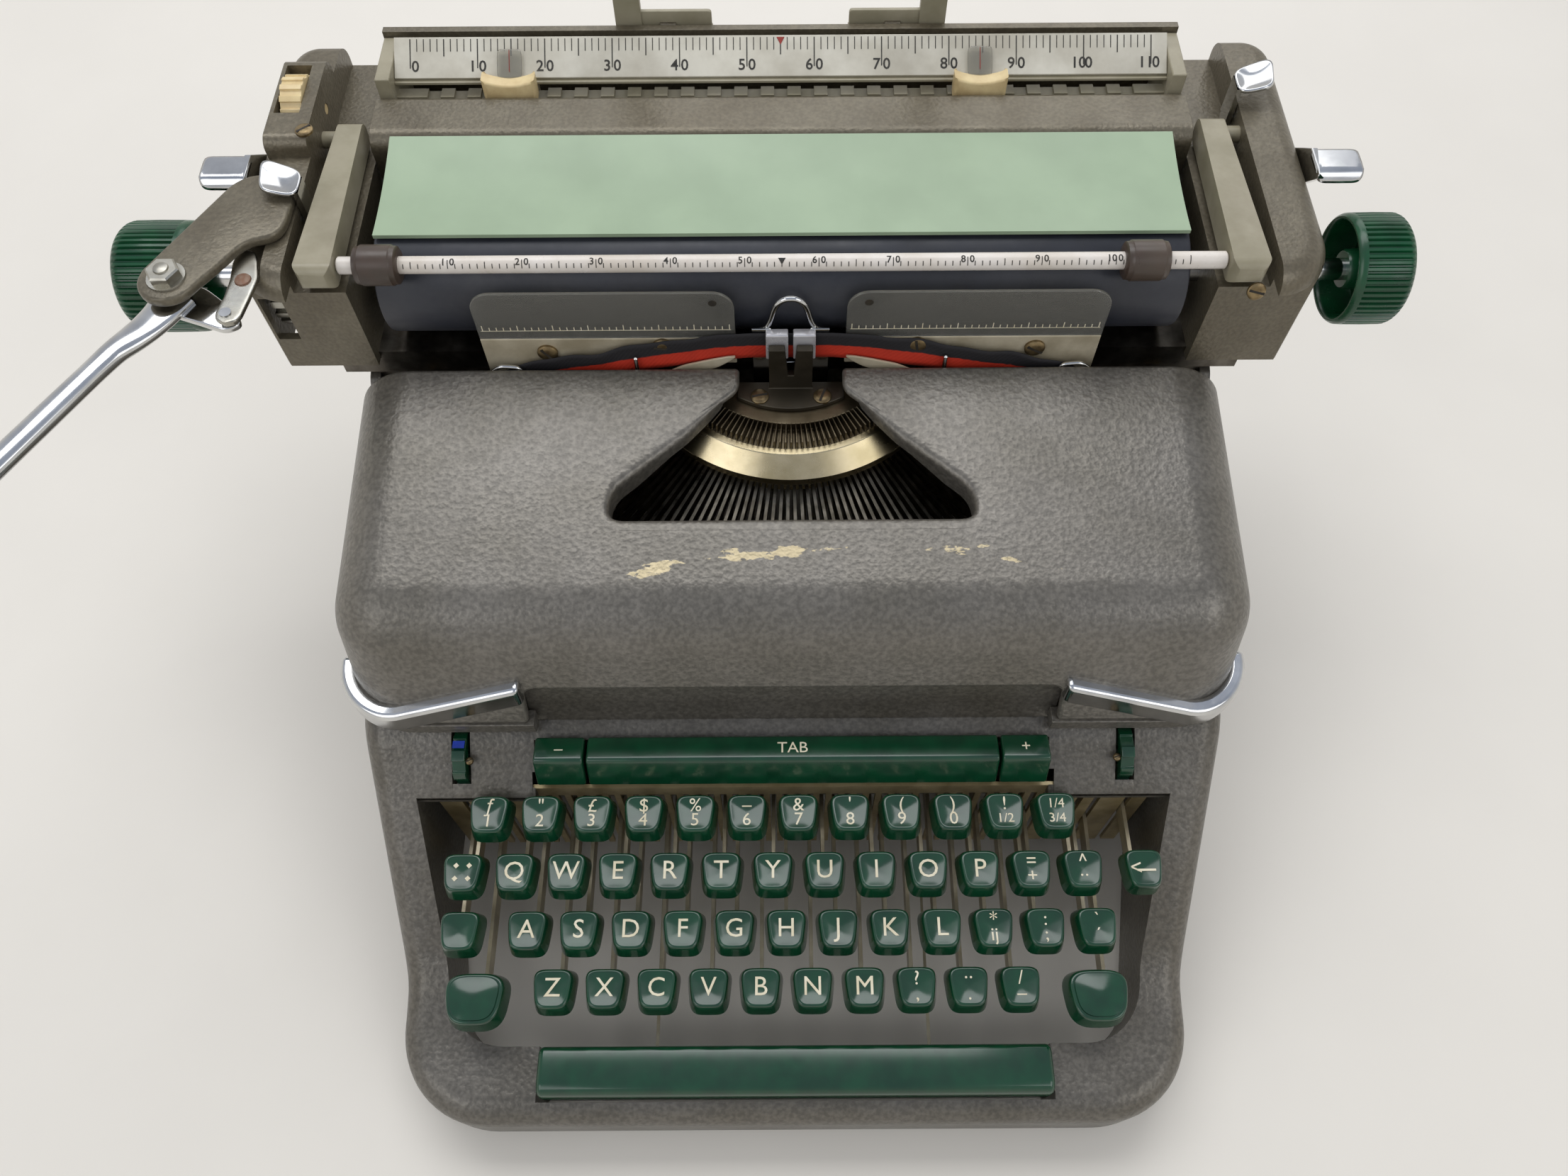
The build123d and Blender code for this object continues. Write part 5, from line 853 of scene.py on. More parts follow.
def sliced(solid: Solid, step: float) -> Solid:
    """Cuts a solid's faces across Y at even steps, so that it can be wrapped round a bar.

    Args:
        solid: points in millimetres and faces.
        step: distance between two cuts in millimetres.

    Returns:
        Points in millimetres and faces.
    """
    points, faces = solid
    mesh = bpy.data.meshes.new("sliced")
    mesh.from_pydata(points.tolist(), [], faces)
    work = bmesh.new()
    work.from_mesh(mesh)
    for y in np.arange(points[:, 1].min() + step, points[:, 1].max(), step):
        everything = work.verts[:] + work.edges[:] + work.faces[:]
        bmesh.ops.bisect_plane(work, geom=everything, plane_co=(0.0, y, 0.0), plane_no=(0.0, 1.0, 0.0))
    work.verts.index_update()
    cut = np.array([tuple(vertex.co) for vertex in work.verts])
    rings = [[vertex.index for vertex in face.verts] for face in work.faces]
    work.free()
    bpy.data.meshes.remove(mesh)
    return cut, rings


def mark_sizes(tall: tuple[float, float, float], thin: float, bold: float) -> tuple[Array, Array]:
    """Half heights and half widths of a scale's marks: every tenth and every fifth one stands out.

    Args:
        tall: half height of every tenth mark, every fifth one and the others.
        thin: half width of the others.
        bold: half width of every fifth mark.

    Returns:
        One half height and one half width for each mark.
    """
    n = np.arange(MARKS)
    high = np.where(n % 10 == 0, tall[0], np.where(n % 5 == 0, tall[1], tall[2]))
    return high, np.where(n % 5 == 0, bold, thin)


def finish_mesh(mesh: bpy.types.Mesh, recalculate: bool, flat_deg: float, crease_deg: float) -> None:
    """Merges doubles, dissolves flat seams, turns faces outwards and shades all but sharp edges smooth.

    Args:
        mesh: mesh to change.
        recalculate: whether the face directions are worked out anew.
        flat_deg: seams flatter than this are dissolved, none if 0.
        crease_deg: edges sharper than this stay sharp.
    """
    work = bmesh.new()
    work.from_mesh(mesh)
    bmesh.ops.remove_doubles(work, verts=work.verts, dist=MERGE_M)
    if flat_deg:
        limit = math.radians(flat_deg)
        bmesh.ops.dissolve_limit(work, angle_limit=limit, verts=work.verts, edges=work.edges)
    if recalculate:
        bmesh.ops.recalc_face_normals(work, faces=work.faces)
    work.to_mesh(mesh)
    work.free()
    mesh.shade_smooth()
    mesh.set_sharp_from_angle(angle=math.radians(crease_deg))


def settle(
    name: str, mesh: bpy.types.Mesh, finish: Look, body: str, replaced: Sequence[str]
) -> bpy.types.Object:
    """Makes an object of a mesh, dresses it and hangs it on its body.

    Args:
        name: name of the piece.
        mesh: its mesh, in frame metres.
        finish: its finish.
        body: body that it rides on.
        replaced: nodes that it stands for.

    Returns:
        The new object.
    """
    piece = bpy.data.objects.new(name, mesh)
    mesh.materials.clear()
    mesh.materials.append(finish.material())
    bpy.context.scene.collection.objects.link(piece)
    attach(piece, body)
    if replaced:
        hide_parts(*replaced)
    LOG.info("%s rides on %s in %s", name, body, finish.name)
    return piece


def make_piece(
    name: str,
    solids: Sequence[Solid],
    finish: Look,
    body: str,
    replaced: Sequence[str] = (),
    crease_deg: float = 38.0,
) -> bpy.types.Object:
    """Makes one piece of worked-out solids.

    Args:
        name: name of the piece.
        solids: points in drawing millimetres, and faces.
        finish: its finish.
        body: body that it rides on.
        replaced: nodes that it stands for.
        crease_deg: edges sharper than this stay sharp.

    Returns:
        The new object.
    """
    points, faces = joined(solids)
    mesh = bpy.data.meshes.new(name)
    mesh.from_pydata(Place.of(body).metres(points).tolist(), [], faces)
    finish_mesh(mesh, True, 0.0, crease_deg)
    return settle(name, mesh, finish, body, replaced)


def thicken(piece: bpy.types.Object, wall_mm: float) -> None:
    """Gives a sheet its thickness, half to each side.

    Args:
        piece: sheet to change.
        wall_mm: its thickness.
    """
    wall = piece.modifiers.new("sheet_thickness", "SOLIDIFY")
    wall.thickness = wall_mm / MM_PER_M
    wall.offset = 0.0


def soften(piece: bpy.types.Object, width_mm: float, segments: int = 2) -> None:
    """Rounds a piece's sharp edges and keeps its flat faces flat.

    Args:
        piece: piece to change.
        width_mm: width of the rounding.
        segments: faces across it.
    """
    bevel = piece.modifiers.new("rounded_edges", "BEVEL")
    bevel.width = width_mm / MM_PER_M
    bevel.segments = segments
    bevel.limit_method = "ANGLE"
    bevel.angle_limit = math.radians(SHARP_DEG)
    bevel.use_clamp_overlap = True
    bevel.harden_normals = False
    flat = piece.modifiers.new("flat_faces", "WEIGHTED_NORMAL")
    flat.keep_sharp = True
    flat.weight = FLAT_FACE_WEIGHT


def recut(
    node: str,
    finish: Look,
    edge_mm: float = 0.4,
    segments: int = 2,
    keep: Optional[Callable[[Array], Array]] = None,
    name: Optional[str] = None,
    crease_deg: float = 32.0,
    reshape: Optional[Callable[[Array], Array]] = None,
) -> bpy.types.Object:
    """Takes a merged copy of a node's mesh, keeps the faces asked for and rounds their edges.

    Args:
        node: node to copy.
        finish: finish of the copy.
        edge_mm: width of the rounded edges, none if 0.
        segments: faces across each rounding.
        keep: tells from the middles of the faces, in body millimetres, which ones stay.
        name: name of the piece, the node's with _skin if not given.
        crease_deg: edges sharper than this stay sharp.
        reshape: gives new points for the old ones, in body millimetres.

    Returns:
        The new piece, which stands for the node.
    """
    source = frame["nodes"][node]
    points = np.zeros(3 * len(source.data.vertices))
    source.data.vertices.foreach_get("co", points)
    corners = np.zeros(len(source.data.loops), int)
    source.data.loops.foreach_get("vertex_index", corners)
    points, corners = points.reshape(-1, 3), corners.reshape(-1, 3)
    if keep is not None:
        corners = corners[keep(Place.BODY.millimetres(points[corners].mean(1)))]
    if reshape is not None:
        points = Place.BODY.metres(reshape(Place.BODY.millimetres(points)))
    used, renumbered = np.unique(corners, return_inverse=True)
    title = name or f"{node}_skin"
    mesh = bpy.data.meshes.new(title)
    mesh.from_pydata(points[used].tolist(), [], renumbered.reshape(-1, 3).tolist())
    finish_mesh(mesh, False, SEAM_DEG if edge_mm else 0.0, crease_deg)
    piece = settle(title, mesh, finish, body_of(source)[0], (node,))
    if edge_mm:
        soften(piece, edge_mm, segments)
    return piece


def below(height: float) -> Callable[[Array], Array]:
    """Test for recut that keeps the faces whose middles lie under a height."""
    return lambda middle: middle[:, 2] < height


def off_middle(points: Array) -> Array:
    """Distances from the carriage's middle plane, for points in body millimetres."""
    return np.abs(points[:, 0] + Place.BODY.value[0] - Place.CARRIAGE.value[0])


def split_numbers(
    counts: Sequence[int], first: float, size: float, place: Sequence[float], **strokes: float
) -> list[Solid]:
    """Numbers on a scale: the last digit stands to the right of its mark and the others to the left.

    Args:
        counts: the numbers.
        first: X of the mark for 0.
        size: type size.
        place: distance from the mark, then height above the scale's foot line and above its surface.
        strokes: thickness and weight for the lettering.

    Returns:
        The digits as solids.
    """
    aside, back, lift = place
    return [
        moved(lettering(sign, size, **strokes), (first + count * PITCH + shift, back, lift))
        for count in counts
        for sign, shift in ((str(count)[:-1], -aside), (str(count)[-1], aside))
        if sign
    ]


@dataclass
class Screw:
    """Slotted screw head: where it sits, which way it faces and how its slot is turned."""

    centre: tuple[float, float, float]
    radius: float = 3.6
    height: float = 1.3
    slot_deg: float = 20.0
    outward: tuple[float, float, float] = (0.0, 0.0, 1.0)

    def axes(self) -> Array:
        """Three directions: outward, and two across it turned by the slot's angle.

        Returns:
            Rows for the head's own X (outward), Y and Z.
        """
        out = unit(np.asarray(self.outward, float))
        across = unit(np.cross(out, (0.0, 1.0, 0.0) if abs(out[1]) < 0.9 else (1.0, 0.0, 0.0)))
        beside = np.cross(out, across)
        a = math.radians(self.slot_deg)
        turn, lean = math.cos(a), math.sin(a)
        return np.array([out, turn * across + lean * beside, turn * beside - lean * across])

    def head(self) -> Solid:
        """Low dome turned about the outward line.

        Returns:
            Points and faces.
        """
        rise, edge = self.height, self.radius
        dome = [(rise * 0.45, edge), (rise * 0.8, edge * 0.85), (rise, edge * 0.5), (rise, 0)]
        profile = np.array([(-0.3, 0), (-0.3, edge), *dome])
        return moved(facing(turned(profile, 28), self.axes()), self.centre)

    def slot(self) -> Solid:
        """Dark bar across the dome: painted shade that stands for the slot."""
        centre = np.array(self.centre) + self.axes()[0] * (self.height - 0.25)
        return slabs(centre[None], np.array([(0.29, self.radius * 0.86, self.radius * 0.13)]), self.axes())


def fix_screws(name: str, screws: Sequence[Screw], body: str) -> None:
    """Makes the heads of a group of screws, and dark bars of painted shade for their slots.

    Args:
        name: name of the group.
        screws: the screws.
        body: body that they ride on.
    """
    make_piece(f"{name}_heads", [screw.head() for screw in screws], SCREW_BRASS, body)
    make_piece(f"{name}_slots", [screw.slot() for screw in screws], SLOT_SHADE, body)


@dataclass
class KeyTop:
    """Dished key top, wider at the back than at the front, with flared sides and a rounded rim."""

    width: float = 15.0
    taper: float = 1.7
    depth: float = 14.0
    height: float = 9.0
    flare: float = 1.2
    dish: float = 1.0
    power: float = 4.2
    count: int = 44

    def half_width(self, y: Array) -> Array:
        """Half width at y, measured from the middle of the key top."""
        return self.width / 2.0 - self.taper / 2.0 + self.taper / 2.0 * y / (self.depth / 2.0)

    def floor(self, x: Array, y: Array) -> Array:
        """Depth of the dish: -dish (1 - s^2), where s is the share of the way out to the rim."""
        near = np.abs(x / self.half_width(y)) ** self.power + np.abs(y / (self.depth / 2.0)) ** self.power
        return -self.dish * (1.0 - np.minimum(near ** (2.0 / self.power), 1.0))

    def solid(self) -> Solid:
        """Rings of a rounded four-sided outline |x/a|^n + |y/b|^n = 1, scaled and grown from foot to dish.

        Returns:
            Points about the middle of the upper face, and faces.
        """
        ux, uy = squarish(round_turn(self.count), 2.0 / self.power)
        skirt = self.flare / self.height
        rings = np.array(
            [
                (0.0, 0.0, -self.height),
                (1.0, self.flare - 0.5, -self.height),
                (1.0, self.flare, -self.height + 0.5),
                (1.0, 2.4 * skirt, -2.4),
                (1.0, 0.05, -1.3),
                (1.0, -0.12, -0.65),
                (1.0, -0.45, -0.25),
                (0.98, -0.75, -0.12),
                (0.90, -0.55, -0.2),
            ]
        )
        inner = np.linspace(0.84, 0.0, 8)
        bowl = np.stack([inner, np.zeros(8), -self.dish * (1.0 - inner**2)], -1)
        scale, grow, z = np.concatenate([rings, bowl]).T[:, :, None]
        y = uy[None] * (scale * self.depth / 2.0 + grow)
        x = ux[None] * (scale * self.half_width(uy * self.depth / 2.0)[None] + grow)
        points = np.stack([x, y, np.broadcast_to(z, x.shape)], -1)
        return points.reshape(-1, 3), grid_faces(len(points), self.count, True)

    def sign(self, words: str, size: float, aside: float, back: float) -> Solid:
        """Words laid on the floor of the dish.

        Args:
            words: what is written.
            size: type size.
            aside: shift to the right of the middle.
            back: shift to the back of the middle.

        Returns:
            Points about the middle of the upper face, and faces.
        """
        points, faces = lettering(words, size)
        points = points + np.array((aside, back, 0.0))
        points[:, 2] += self.floor(points[:, 0], points[:, 1]) + 0.08
        return points, faces


@dataclass
class Keyboard:
    """Typing rows, control keys, space bar and tabulator keys."""

    pitch: float = 19.05
    rows: tuple = (
        (
            "number_row", -112.5, 100.5, 89.0,
            ("ƒ 1", '" 2', "£ 3", "$ 4", "% 5", "– 6", "& 7", "' 8", "( 9", ") 0", "! 1/2", "1/4 3/4"),
        ),
        ("upper_row", -102.975, 81.45, 80.0, (*"QWERTYUIOP", "= +", "^ ··")),
        ("home_row", -98.2125, 62.4, 71.0, (*"ASDFGHJKL", "* ij", ": ;", "` ´")),
        ("lower_row", -88.6875, 43.35, 62.0, (*"ZXCVBNM", "? ,", "·· .", "/ –")),
    )
    single_size: float = 9.6
    pair_size: float = 6.9
    fraction_size: float = 5.0
    upper_back: float = 2.9
    lower_back: float = -2.6
    space_foot: float = 29.9
    tab_foot: float = 88.4
    tab_sign_y: float = 120.8
    tab_crest: tuple[float, float] = (116.0, 102.05)
    tab_fall: float = 0.14
    tab_gap: float = 0.6

    def signs(self, top: KeyTop, words: str) -> list[Solid]:
        """One large sign, or an upper and a lower one.

        Args:
            top: key top that carries them.
            words: one sign, or two with a space between.

        Returns:
            The signs as solids about the middle of the key top.
        """
        if " " not in words:
            return [top.sign(words, self.single_size, 0.0, 0.2)]
        upper, lower = words.split(" ")
        placed = ((upper, self.upper_back), (lower, self.lower_back))
        return [
            top.sign(sign, self.fraction_size if "/" in sign and len(sign) > 1 else self.pair_size, 0.0, back)
            for sign, back in placed
        ]

    def levers(self, node: str, cap_base: float) -> None:
        """Keeps a row's levers and stems, below the foot of its key tops."""
        recut(node, LEVER_STEEL, 0.0, keep=below(cap_base - 0.1), name=f"{node}_levers")

    def row(self, node: str, first: float, y: float, z: float, words: Sequence[str]) -> None:
        """Builds one typing row.

        Args:
            node: node of the row.
            first: X of the first key.
            y: Y of the row.
            z: height of its key tops.
            words: signs of its keys, from the left.
        """
        top = KeyTop()
        centres = [(first + n * self.pitch, y, z) for n in range(len(words))]
        cap = top.solid()
        make_piece(f"{node}_tops", [moved(cap, c) for c in centres], GREEN, node, (node,))
        signs = [moved(sign, c) for word, c in zip(words, centres) for sign in self.signs(top, word)]
        make_piece(f"{node}_signs", signs, SIGN, node)
        self.levers(node, z - top.height)

    def control(self, node: str, top: KeyTop, centres: Sequence[tuple], signs: Sequence[Solid]) -> None:
        """Builds one control key or pair of keys.

        Args:
            node: node of the key.
            top: its key top.
            centres: middles of the upper faces.
            signs: signs about the middle of the key top.
        """
        cap = top.solid()
        make_piece(f"{node}_top", [moved(cap, c) for c in centres], GREEN, node, (node,))
        if signs:
            placed = [moved(sign, c) for c in centres for sign in signs]
            make_piece(f"{node}_sign", placed, SIGN, node)
        self.levers(node, centres[0][2] - top.height)

    def bars(self) -> None:
        """Builds the space bar and the three tabulator keys from rounded sections carried along X."""
        space = rounded_outline([(8.5, 30), (26, 30), (26, 45.2), (8.5, 46)], [1, 1, 2.5, 5.5])
        make_piece("space_bar_top", [bar_along_x(space, -95, 95, 2.2)], GREEN, "space_bar", ("space_bar",))
        recut("space_bar", LEVER_STEEL, 0.0, keep=below(self.space_foot), name="space_bar_arms")
        section = rounded_outline([(111.5, 88.5), (126, 88.5), (126, 100.6), (116, 102)], [0.6, 0.6, 1.2, 1.6])
        ends = (-96.0, -76.6, 76.2, 95.0)
        names = (("tab_minus", "–"), ("tab_bar", "TAB"), ("tab_plus", "+"))
        for (node, sign), start, end in zip(names, ends, ends[1:]):
            bar = bar_along_x(section, start + self.tab_gap, end - self.tab_gap, 0.9)
            make_piece(f"{node}_top", [bar], GREEN, node, (node,))
            recut(node, STEEL, 0.0, keep=below(self.tab_foot), name=f"{node}_arms")
            points, faces = lettering(sign, 6.2)
            points = points + np.array(((start + end) / 2.0, self.tab_sign_y, self.tab_crest[1]))
            points[:, 2] -= self.tab_fall * (points[:, 1] - self.tab_crest[0])
            make_piece(f"{node}_sign", [(points, faces)], SIGN, node)

    def build(self) -> None:
        """Builds the whole keyboard."""
        for node, first, y, z, words in self.rows:
            self.row(node, first, y, z, words)
        plain = KeyTop()
        dots = slabs(
            np.array([(x, y, -0.72) for x in (-2.4, 2.4) for y in (-2.2, 2.6)]),
            np.full((4, 3), (0.75, 0.75, 0.1)),
            ((0.707, 0.707, 0.0), (-0.707, 0.707, 0.0), (0.0, 0.0, 1.0)),
        )
        self.control("margin_release", plain, [(-122.1, 81.45, 80.0)], [dots])
        arrow = [plain.sign("<", 8.0, -3.2, 0.0), plain.sign("–", 13.0, 0.6, 0.0)]
        self.control("backspace", KeyTop(width=14.2, flare=0.8), [(129.0, 81.45, 80.0)], arrow)
        self.control("shift_lock", plain, [(-123.0, 62.4, 71.0)], [])
        wide = KeyTop(width=23.0, taper=2.6, depth=18.0, dish=-1.4, power=3.2)
        self.control("shift_keys", wide, [(-117.0, 40.0, 62.0), (111.0, 40.0, 62.0)], [])
        self.bars()


@dataclass
class Casing:
    """Lower casing with its feet, the deck's selectors and the hood with its trims."""

    peg_x: float = 120.7
    peg_y: float = 119.5
    peg_z: float = 93.2
    trim_foot: float = 99.3
    trim_grow: float = 2.0
    trim_rise: tuple[float, float] = (3.5, 17.0)
    trim_reach: tuple[float, float] = (152.0, 97.0)
    lean: float = 0.33
    notch: tuple[float, float] = (97.3, 114.5)
    notch_foot: float = 105.8
    notch_lift: float = 9.0
    hood_top: tuple[float, float, float] = (145.0, 154.0, 0.13)
    foot_share: float = 0.982
    foot_back: float = 2.7
    mouth_middle: tuple[float, float] = (0.0, 206.0)

    def risen_trim(self, points: Array) -> Array:
        """Sweeps the trims up to their inner ends: the rise grows by 3t^2 - 2t^3 and follows the leaning face.

        Args:
            points: points of the trims.

        Returns:
            The moved points.
        """
        out, inside = self.trim_reach
        t = np.clip((out - np.abs(points[:, 0])) / (out - inside), 0.0, 1.0)
        rise = self.trim_rise[0] + (self.trim_rise[1] - self.trim_rise[0]) * t**2 * (3.0 - 2.0 * t)
        grown = points.copy()
        grown[:, 1] += self.lean * rise
        grown[:, 2] = self.trim_foot + (points[:, 2] - self.trim_foot) * self.trim_grow + rise
        return grown

    def flush_foot(self, points: Array) -> Array:
        """Draws the trims' plan in until it is flush with the hood, as the hood's own foot.

        Args:
            points: points of the trims.

        Returns:
            The moved points.
        """
        drawn = points.copy()
        drawn[:, 0] *= self.foot_share
        drawn[:, 1] += self.foot_back
        return drawn

    def lifted_notch(self, points: Array) -> Array:
        """Lifts the edge of the notch over the tabulator keys along the leaning face.

        Args:
            points: points of the hood.

        Returns:
            The moved points.
        """
        half, top = self.notch
        edge = (np.abs(points[:, 0]) < half) & (points[:, 2] > self.notch_foot) & (points[:, 2] < top)
        lifted = points.copy()
        lifted[edge, 1] += self.lean * self.notch_lift
        lifted[edge, 2] += self.notch_lift
        return lifted

    def mouth_lip(self) -> None:
        """Rolls the hood's edge down round the mouth: a rounded profile carried along the mouth's plan.

        The plan stops short of the horns, and the lip gets shallower to the back, over the segment.
        """
        corners = [(25.0, 231.0), (67.0, 196.0), (67.0, 182.0), (-67.0, 182.0), (-67.0, 196.0), (-25.0, 231.0)]
        plan = smooth_path(rounded_outline(np.array(corners), [0.1, 7.0, 7.0, 7.0, 7.0, 0.1], 8), 180, 2)
        along = np.gradient(plan, axis=0)
        out = np.stack([-along[:, 1], along[:, 0]], -1) / np.linalg.norm(along, axis=1)[:, None]
        out *= np.sign(np.sum(out * (plan - np.array(self.mouth_middle)), axis=1))[:, None]
        deep = np.interp(plan[:, 1], [182.0, 204.0, 214.0, 226.0, 230.5], [9.0, 9.0, 6.0, 5.0, 3.4])
        roll = np.interp(plan[:, 1], [182.0, 219.0, 230.5], [1.0, 1.0, 0.05])
        profile = np.array(
            [
                (2.4, 0.08, 0), (0.6, 0.06, 0), (-0.5, -0.1, 0), (-1.3, -0.5, 0), (-1.9, -1.2, 0),
                (-2.2, -2.0, 0), (-2.3, -3.0, 0), (-2.3, -0.3, 1), (-1.7, 0.0, 1), (-1.1, -0.3, 1),
                (-1.0, -3.1, 0), (0.6, -2.9, 0),
            ]
        )
        level = self.hood_top[1] + (plan[:, 1] - self.hood_top[0]) * self.hood_top[2]
        aside = roll[:, None] * profile[None, :, 0]
        flat = plan[:, None] + out[:, None] * aside[:, :, None]
        slant = self.hood_top[2] * (flat[:, :, 1] - plan[:, None, 1])
        z = level[:, None] + slant + profile[None, :, 1] - profile[None, :, 2] * deep[:, None]
        points = np.concatenate([flat, z[:, :, None]], -1)
        points[0] = points[0].mean(0)
        points[-1] = points[-1].mean(0)
        faces = grid_faces(len(plan), len(profile), True)
        make_piece("mouth_lip", [(points.reshape(-1, 3), faces)], HOOD_LACQUER, "hood")

    def deck_fronts(self) -> None:
        """Closes the deck's front edge beside the tabulator keys, leaving the selectors' slots open."""
        foot = [(109.0, 80.0), (111.8, 80.0), (111.8, 84.15), (112.9, 84.15)]
        full = [(113.6, 84.15), (119.6, 88.4), (119.6, 90.1), (111.6, 84.6), (109.0, 82.6)]
        wide = rounded_outline([*foot[:3], *full], [0.2, 0.2, 0.2, 0.2, 0.2, 0.05, 3.0, 1.2])
        slim_corners = [*foot, (112.9, 85.3), *full[-2:]]
        slim = rounded_outline(slim_corners, [0.2, 0.2, 0.2, 0.1, 0.05, 2.0, 1.2])
        spans = ((98.0, 120.9, wide), (120.9, 128.1, slim), (128.1, 142.2, wide))
        bars = [
            bar_along_x(section, *sorted((side * start, side * end)), 0.05)
            for side in (-1, 1) for start, end, section in spans
        ]
        make_piece("deck_fronts", bars, LACQUER, "frame")

    def build(self) -> None:
        """Builds the casing, hood, trims, feet and selectors."""
        recut("lower_casing", LACQUER, 2.0, 4)
        self.deck_fronts()
        corners = [(133.6, 98.8), (138.0, 98.8), (140.6, 126.0), (139.2, 126.0), (136.0, 103.5)]
        back = rounded_outline(corners, [0.2, 0.2, 0.2, 0.2, 4.0])
        make_piece("deck_back", [bar_along_x(back, -98.0, 98.0, 0.05)], LACQUER, "frame")
        recut("rubber_feet", FOOT, 0.8)
        recut("hood", HOOD_LACQUER, 1.6, 4, reshape=self.lifted_notch)
        self.mouth_lip()
        recut("chrome_trim", HOOD_LACQUER, 0.3, name="hood_foot", reshape=self.flush_foot)
        recut("chrome_trim", CHROME, 2.6, 5, name="chrome_trim_band", reshape=self.risen_trim)
        recut("ribbon_selector", GREEN, 0.3)
        recut("touch_lever", GREEN, 0.3)
        stripe = slabs(np.array([(-124.5, 124.6, 97.1)]), np.array([(2.2, 1.4, 0.15)]), np.eye(3))
        make_piece("ribbon_selector_stripe", [stripe], BLUE, "ribbon_selector")
        pegs = [Screw((side * self.peg_x, self.peg_y, self.peg_z), 1.5, 0.9) for side in (-1, 1)]
        fix_screws("deck_pegs", pegs, "frame")


@dataclass
class Basket:
    """Segment, type bars, type guide, ribbon and what guides it."""

    ribbon_width: float = 13.0
    ribbon_y: float = 247.6
    ribbon_lean: float = 1.2
    gauge_y: float = 249.9
    middle_y: float = 270.0
    rim_start: float = 52.6
    tip_z: tuple[float, float] = (172.4, 183.4)
    spool: tuple[float, float, float] = (131.7, 214.7, 145.3)
    print_point: tuple[float, float] = (15.0, 176.0)
    cloth_mm: float = 0.2

    def out_from_middle(self, points: Array) -> Array:
        """Distances in plan from the upright line about which the type bars are fanned."""
        return np.hypot(points[:, 0], points[:, 1] - self.middle_y)

    def finger_tips(self) -> None:
        """Builds the vibrator's two bright tips in front of the ribbon, bent back over its upper edge."""
        low, high = self.tip_z
        front = [(244.2, low), (245.2, low), (246.6, high - 0.8)]
        back = [(249.0, high - 0.8), (249.0, high), (245.6, high)]
        section = rounded_outline([*front, *back], [0.3, 0.3, 0.4, 0.3, 0.3, 0.6])
        tips = [bar_along_x(section, start, end, 0.4) for start, end in ((-9.0, -0.9), (0.9, 9.0))]
        make_piece("vibrator_tips", tips, TIP_PLATE, "vibrator")

    def ribbon_path(self) -> Array:
        """Middle line of the ribbon from spool to spool.

        Returns:
            Points in drawing millimetres.
        """
        rise = [(118.3, 145.3), (114.0, 149.5), (106.0, 157.6), (98.0, 160.6), (60.0, 168.6), (30.0, 174.6)]
        bend = smooth_path([*rise, self.print_point], 40, 3)
        side = np.stack([bend[:, 0], np.full(len(bend), self.ribbon_y), bend[:, 1]], -1)
        half = np.concatenate([np.linspace(np.array(self.spool), side[0], 9)[:-1], side])
        end = np.array((self.print_point[0], self.ribbon_y, self.print_point[1]))
        middle = np.linspace(end, end * MIRROR, 7)[1:-1]
        return np.concatenate([half, middle, half[::-1] * MIRROR])

    def ribbon(self) -> None:
        """Carries the ribbon's width along its path; on the slopes its foot leans out and two sines wave it."""
        path = self.ribbon_path()
        step = np.linalg.norm(np.diff(path, axis=0), axis=1)
        along = np.concatenate([[0.0], np.cumsum(step)])
        across = np.linspace(-0.5, 0.5, 7) * self.ribbon_width
        x = np.abs(path[:, 0])
        slope = np.interp(x, [self.print_point[0], 55.0], [0.0, 1.0]) * np.interp(x, [88.0, 118.0], [1.0, 0.0])
        lean = slope * np.interp(path[:, 2], [165.0, 173.0], [0.0, 1.0]) * self.ribbon_lean
        wave = (0.45 * np.sin(along / 5.5) + 0.3 * np.sin(along / 2.9)) * slope
        points = np.repeat(path[:, None], len(across), axis=1)
        points[:, :, 2] += across[None] + 0.7 * wave[:, None] * (across[None] / self.ribbon_width + 0.5)
        points[:, :, 1] += lean[:, None] * across[None] / self.ribbon_width + wave[:, None] * (across[None] > 0)
        mesh = bpy.data.meshes.new("ribbon_cloth")
        mesh.from_pydata(
            Place.BODY.metres(points.reshape(-1, 3)).tolist(), [], grid_faces(len(path), len(across), False)
        )
        uv = np.stack(np.broadcast_arrays(along[:, None], across[None]), -1).reshape(-1, 2) / MM_PER_M
        layer = mesh.uv_layers.new(name=RIBBON_MAP)
        corner = np.zeros(len(mesh.loops), int)
        mesh.loops.foreach_get("vertex_index", corner)
        layer.data.foreach_set("uv", uv[corner].reshape(-1))
        mesh.shade_smooth()
        piece = settle("ribbon_cloth", mesh, RIBBON, "frame", ("ribbon",))
        thicken(piece, self.cloth_mm)

    def gauge(self) -> None:
        """Bends the line gauge's wire: a smooth loop over the printing point with two feet."""
        foot = [(-14.0, 181.0), (-10.5, 181.3), (-8.2, 183.6)]
        knots = np.array([*foot, (-6.8, 188.0), (-5.8, 193.5), (-3.4, 197.2), (0.0, 198.1)])
        fine, rough = np.linspace(0.0, 1.0, 40), np.linspace(0.0, 1.0, len(knots))
        x, z = (np.interp(fine, rough, knots[:, k]) for k in (0, 1))
        left = np.stack([x, np.full(len(fine), self.gauge_y), z], -1)
        line = np.concatenate([left, left[-2::-1] * MIRROR])
        even = np.ones(9) / 9.0
        soft = np.stack([np.convolve(np.pad(line[:, k], 4, "edge"), even, "valid") for k in range(3)], -1)
        make_piece("line_gauge_wire", [tube(soft, 1.1)], CHROME, "vibrator", ("line_gauge",))

    def build(self) -> None:
        """Builds the basket."""
        def inside(middle: Array) -> Array:
            """Tells which faces of the segment lie inside its rim."""
            return self.out_from_middle(middle) < self.rim_start

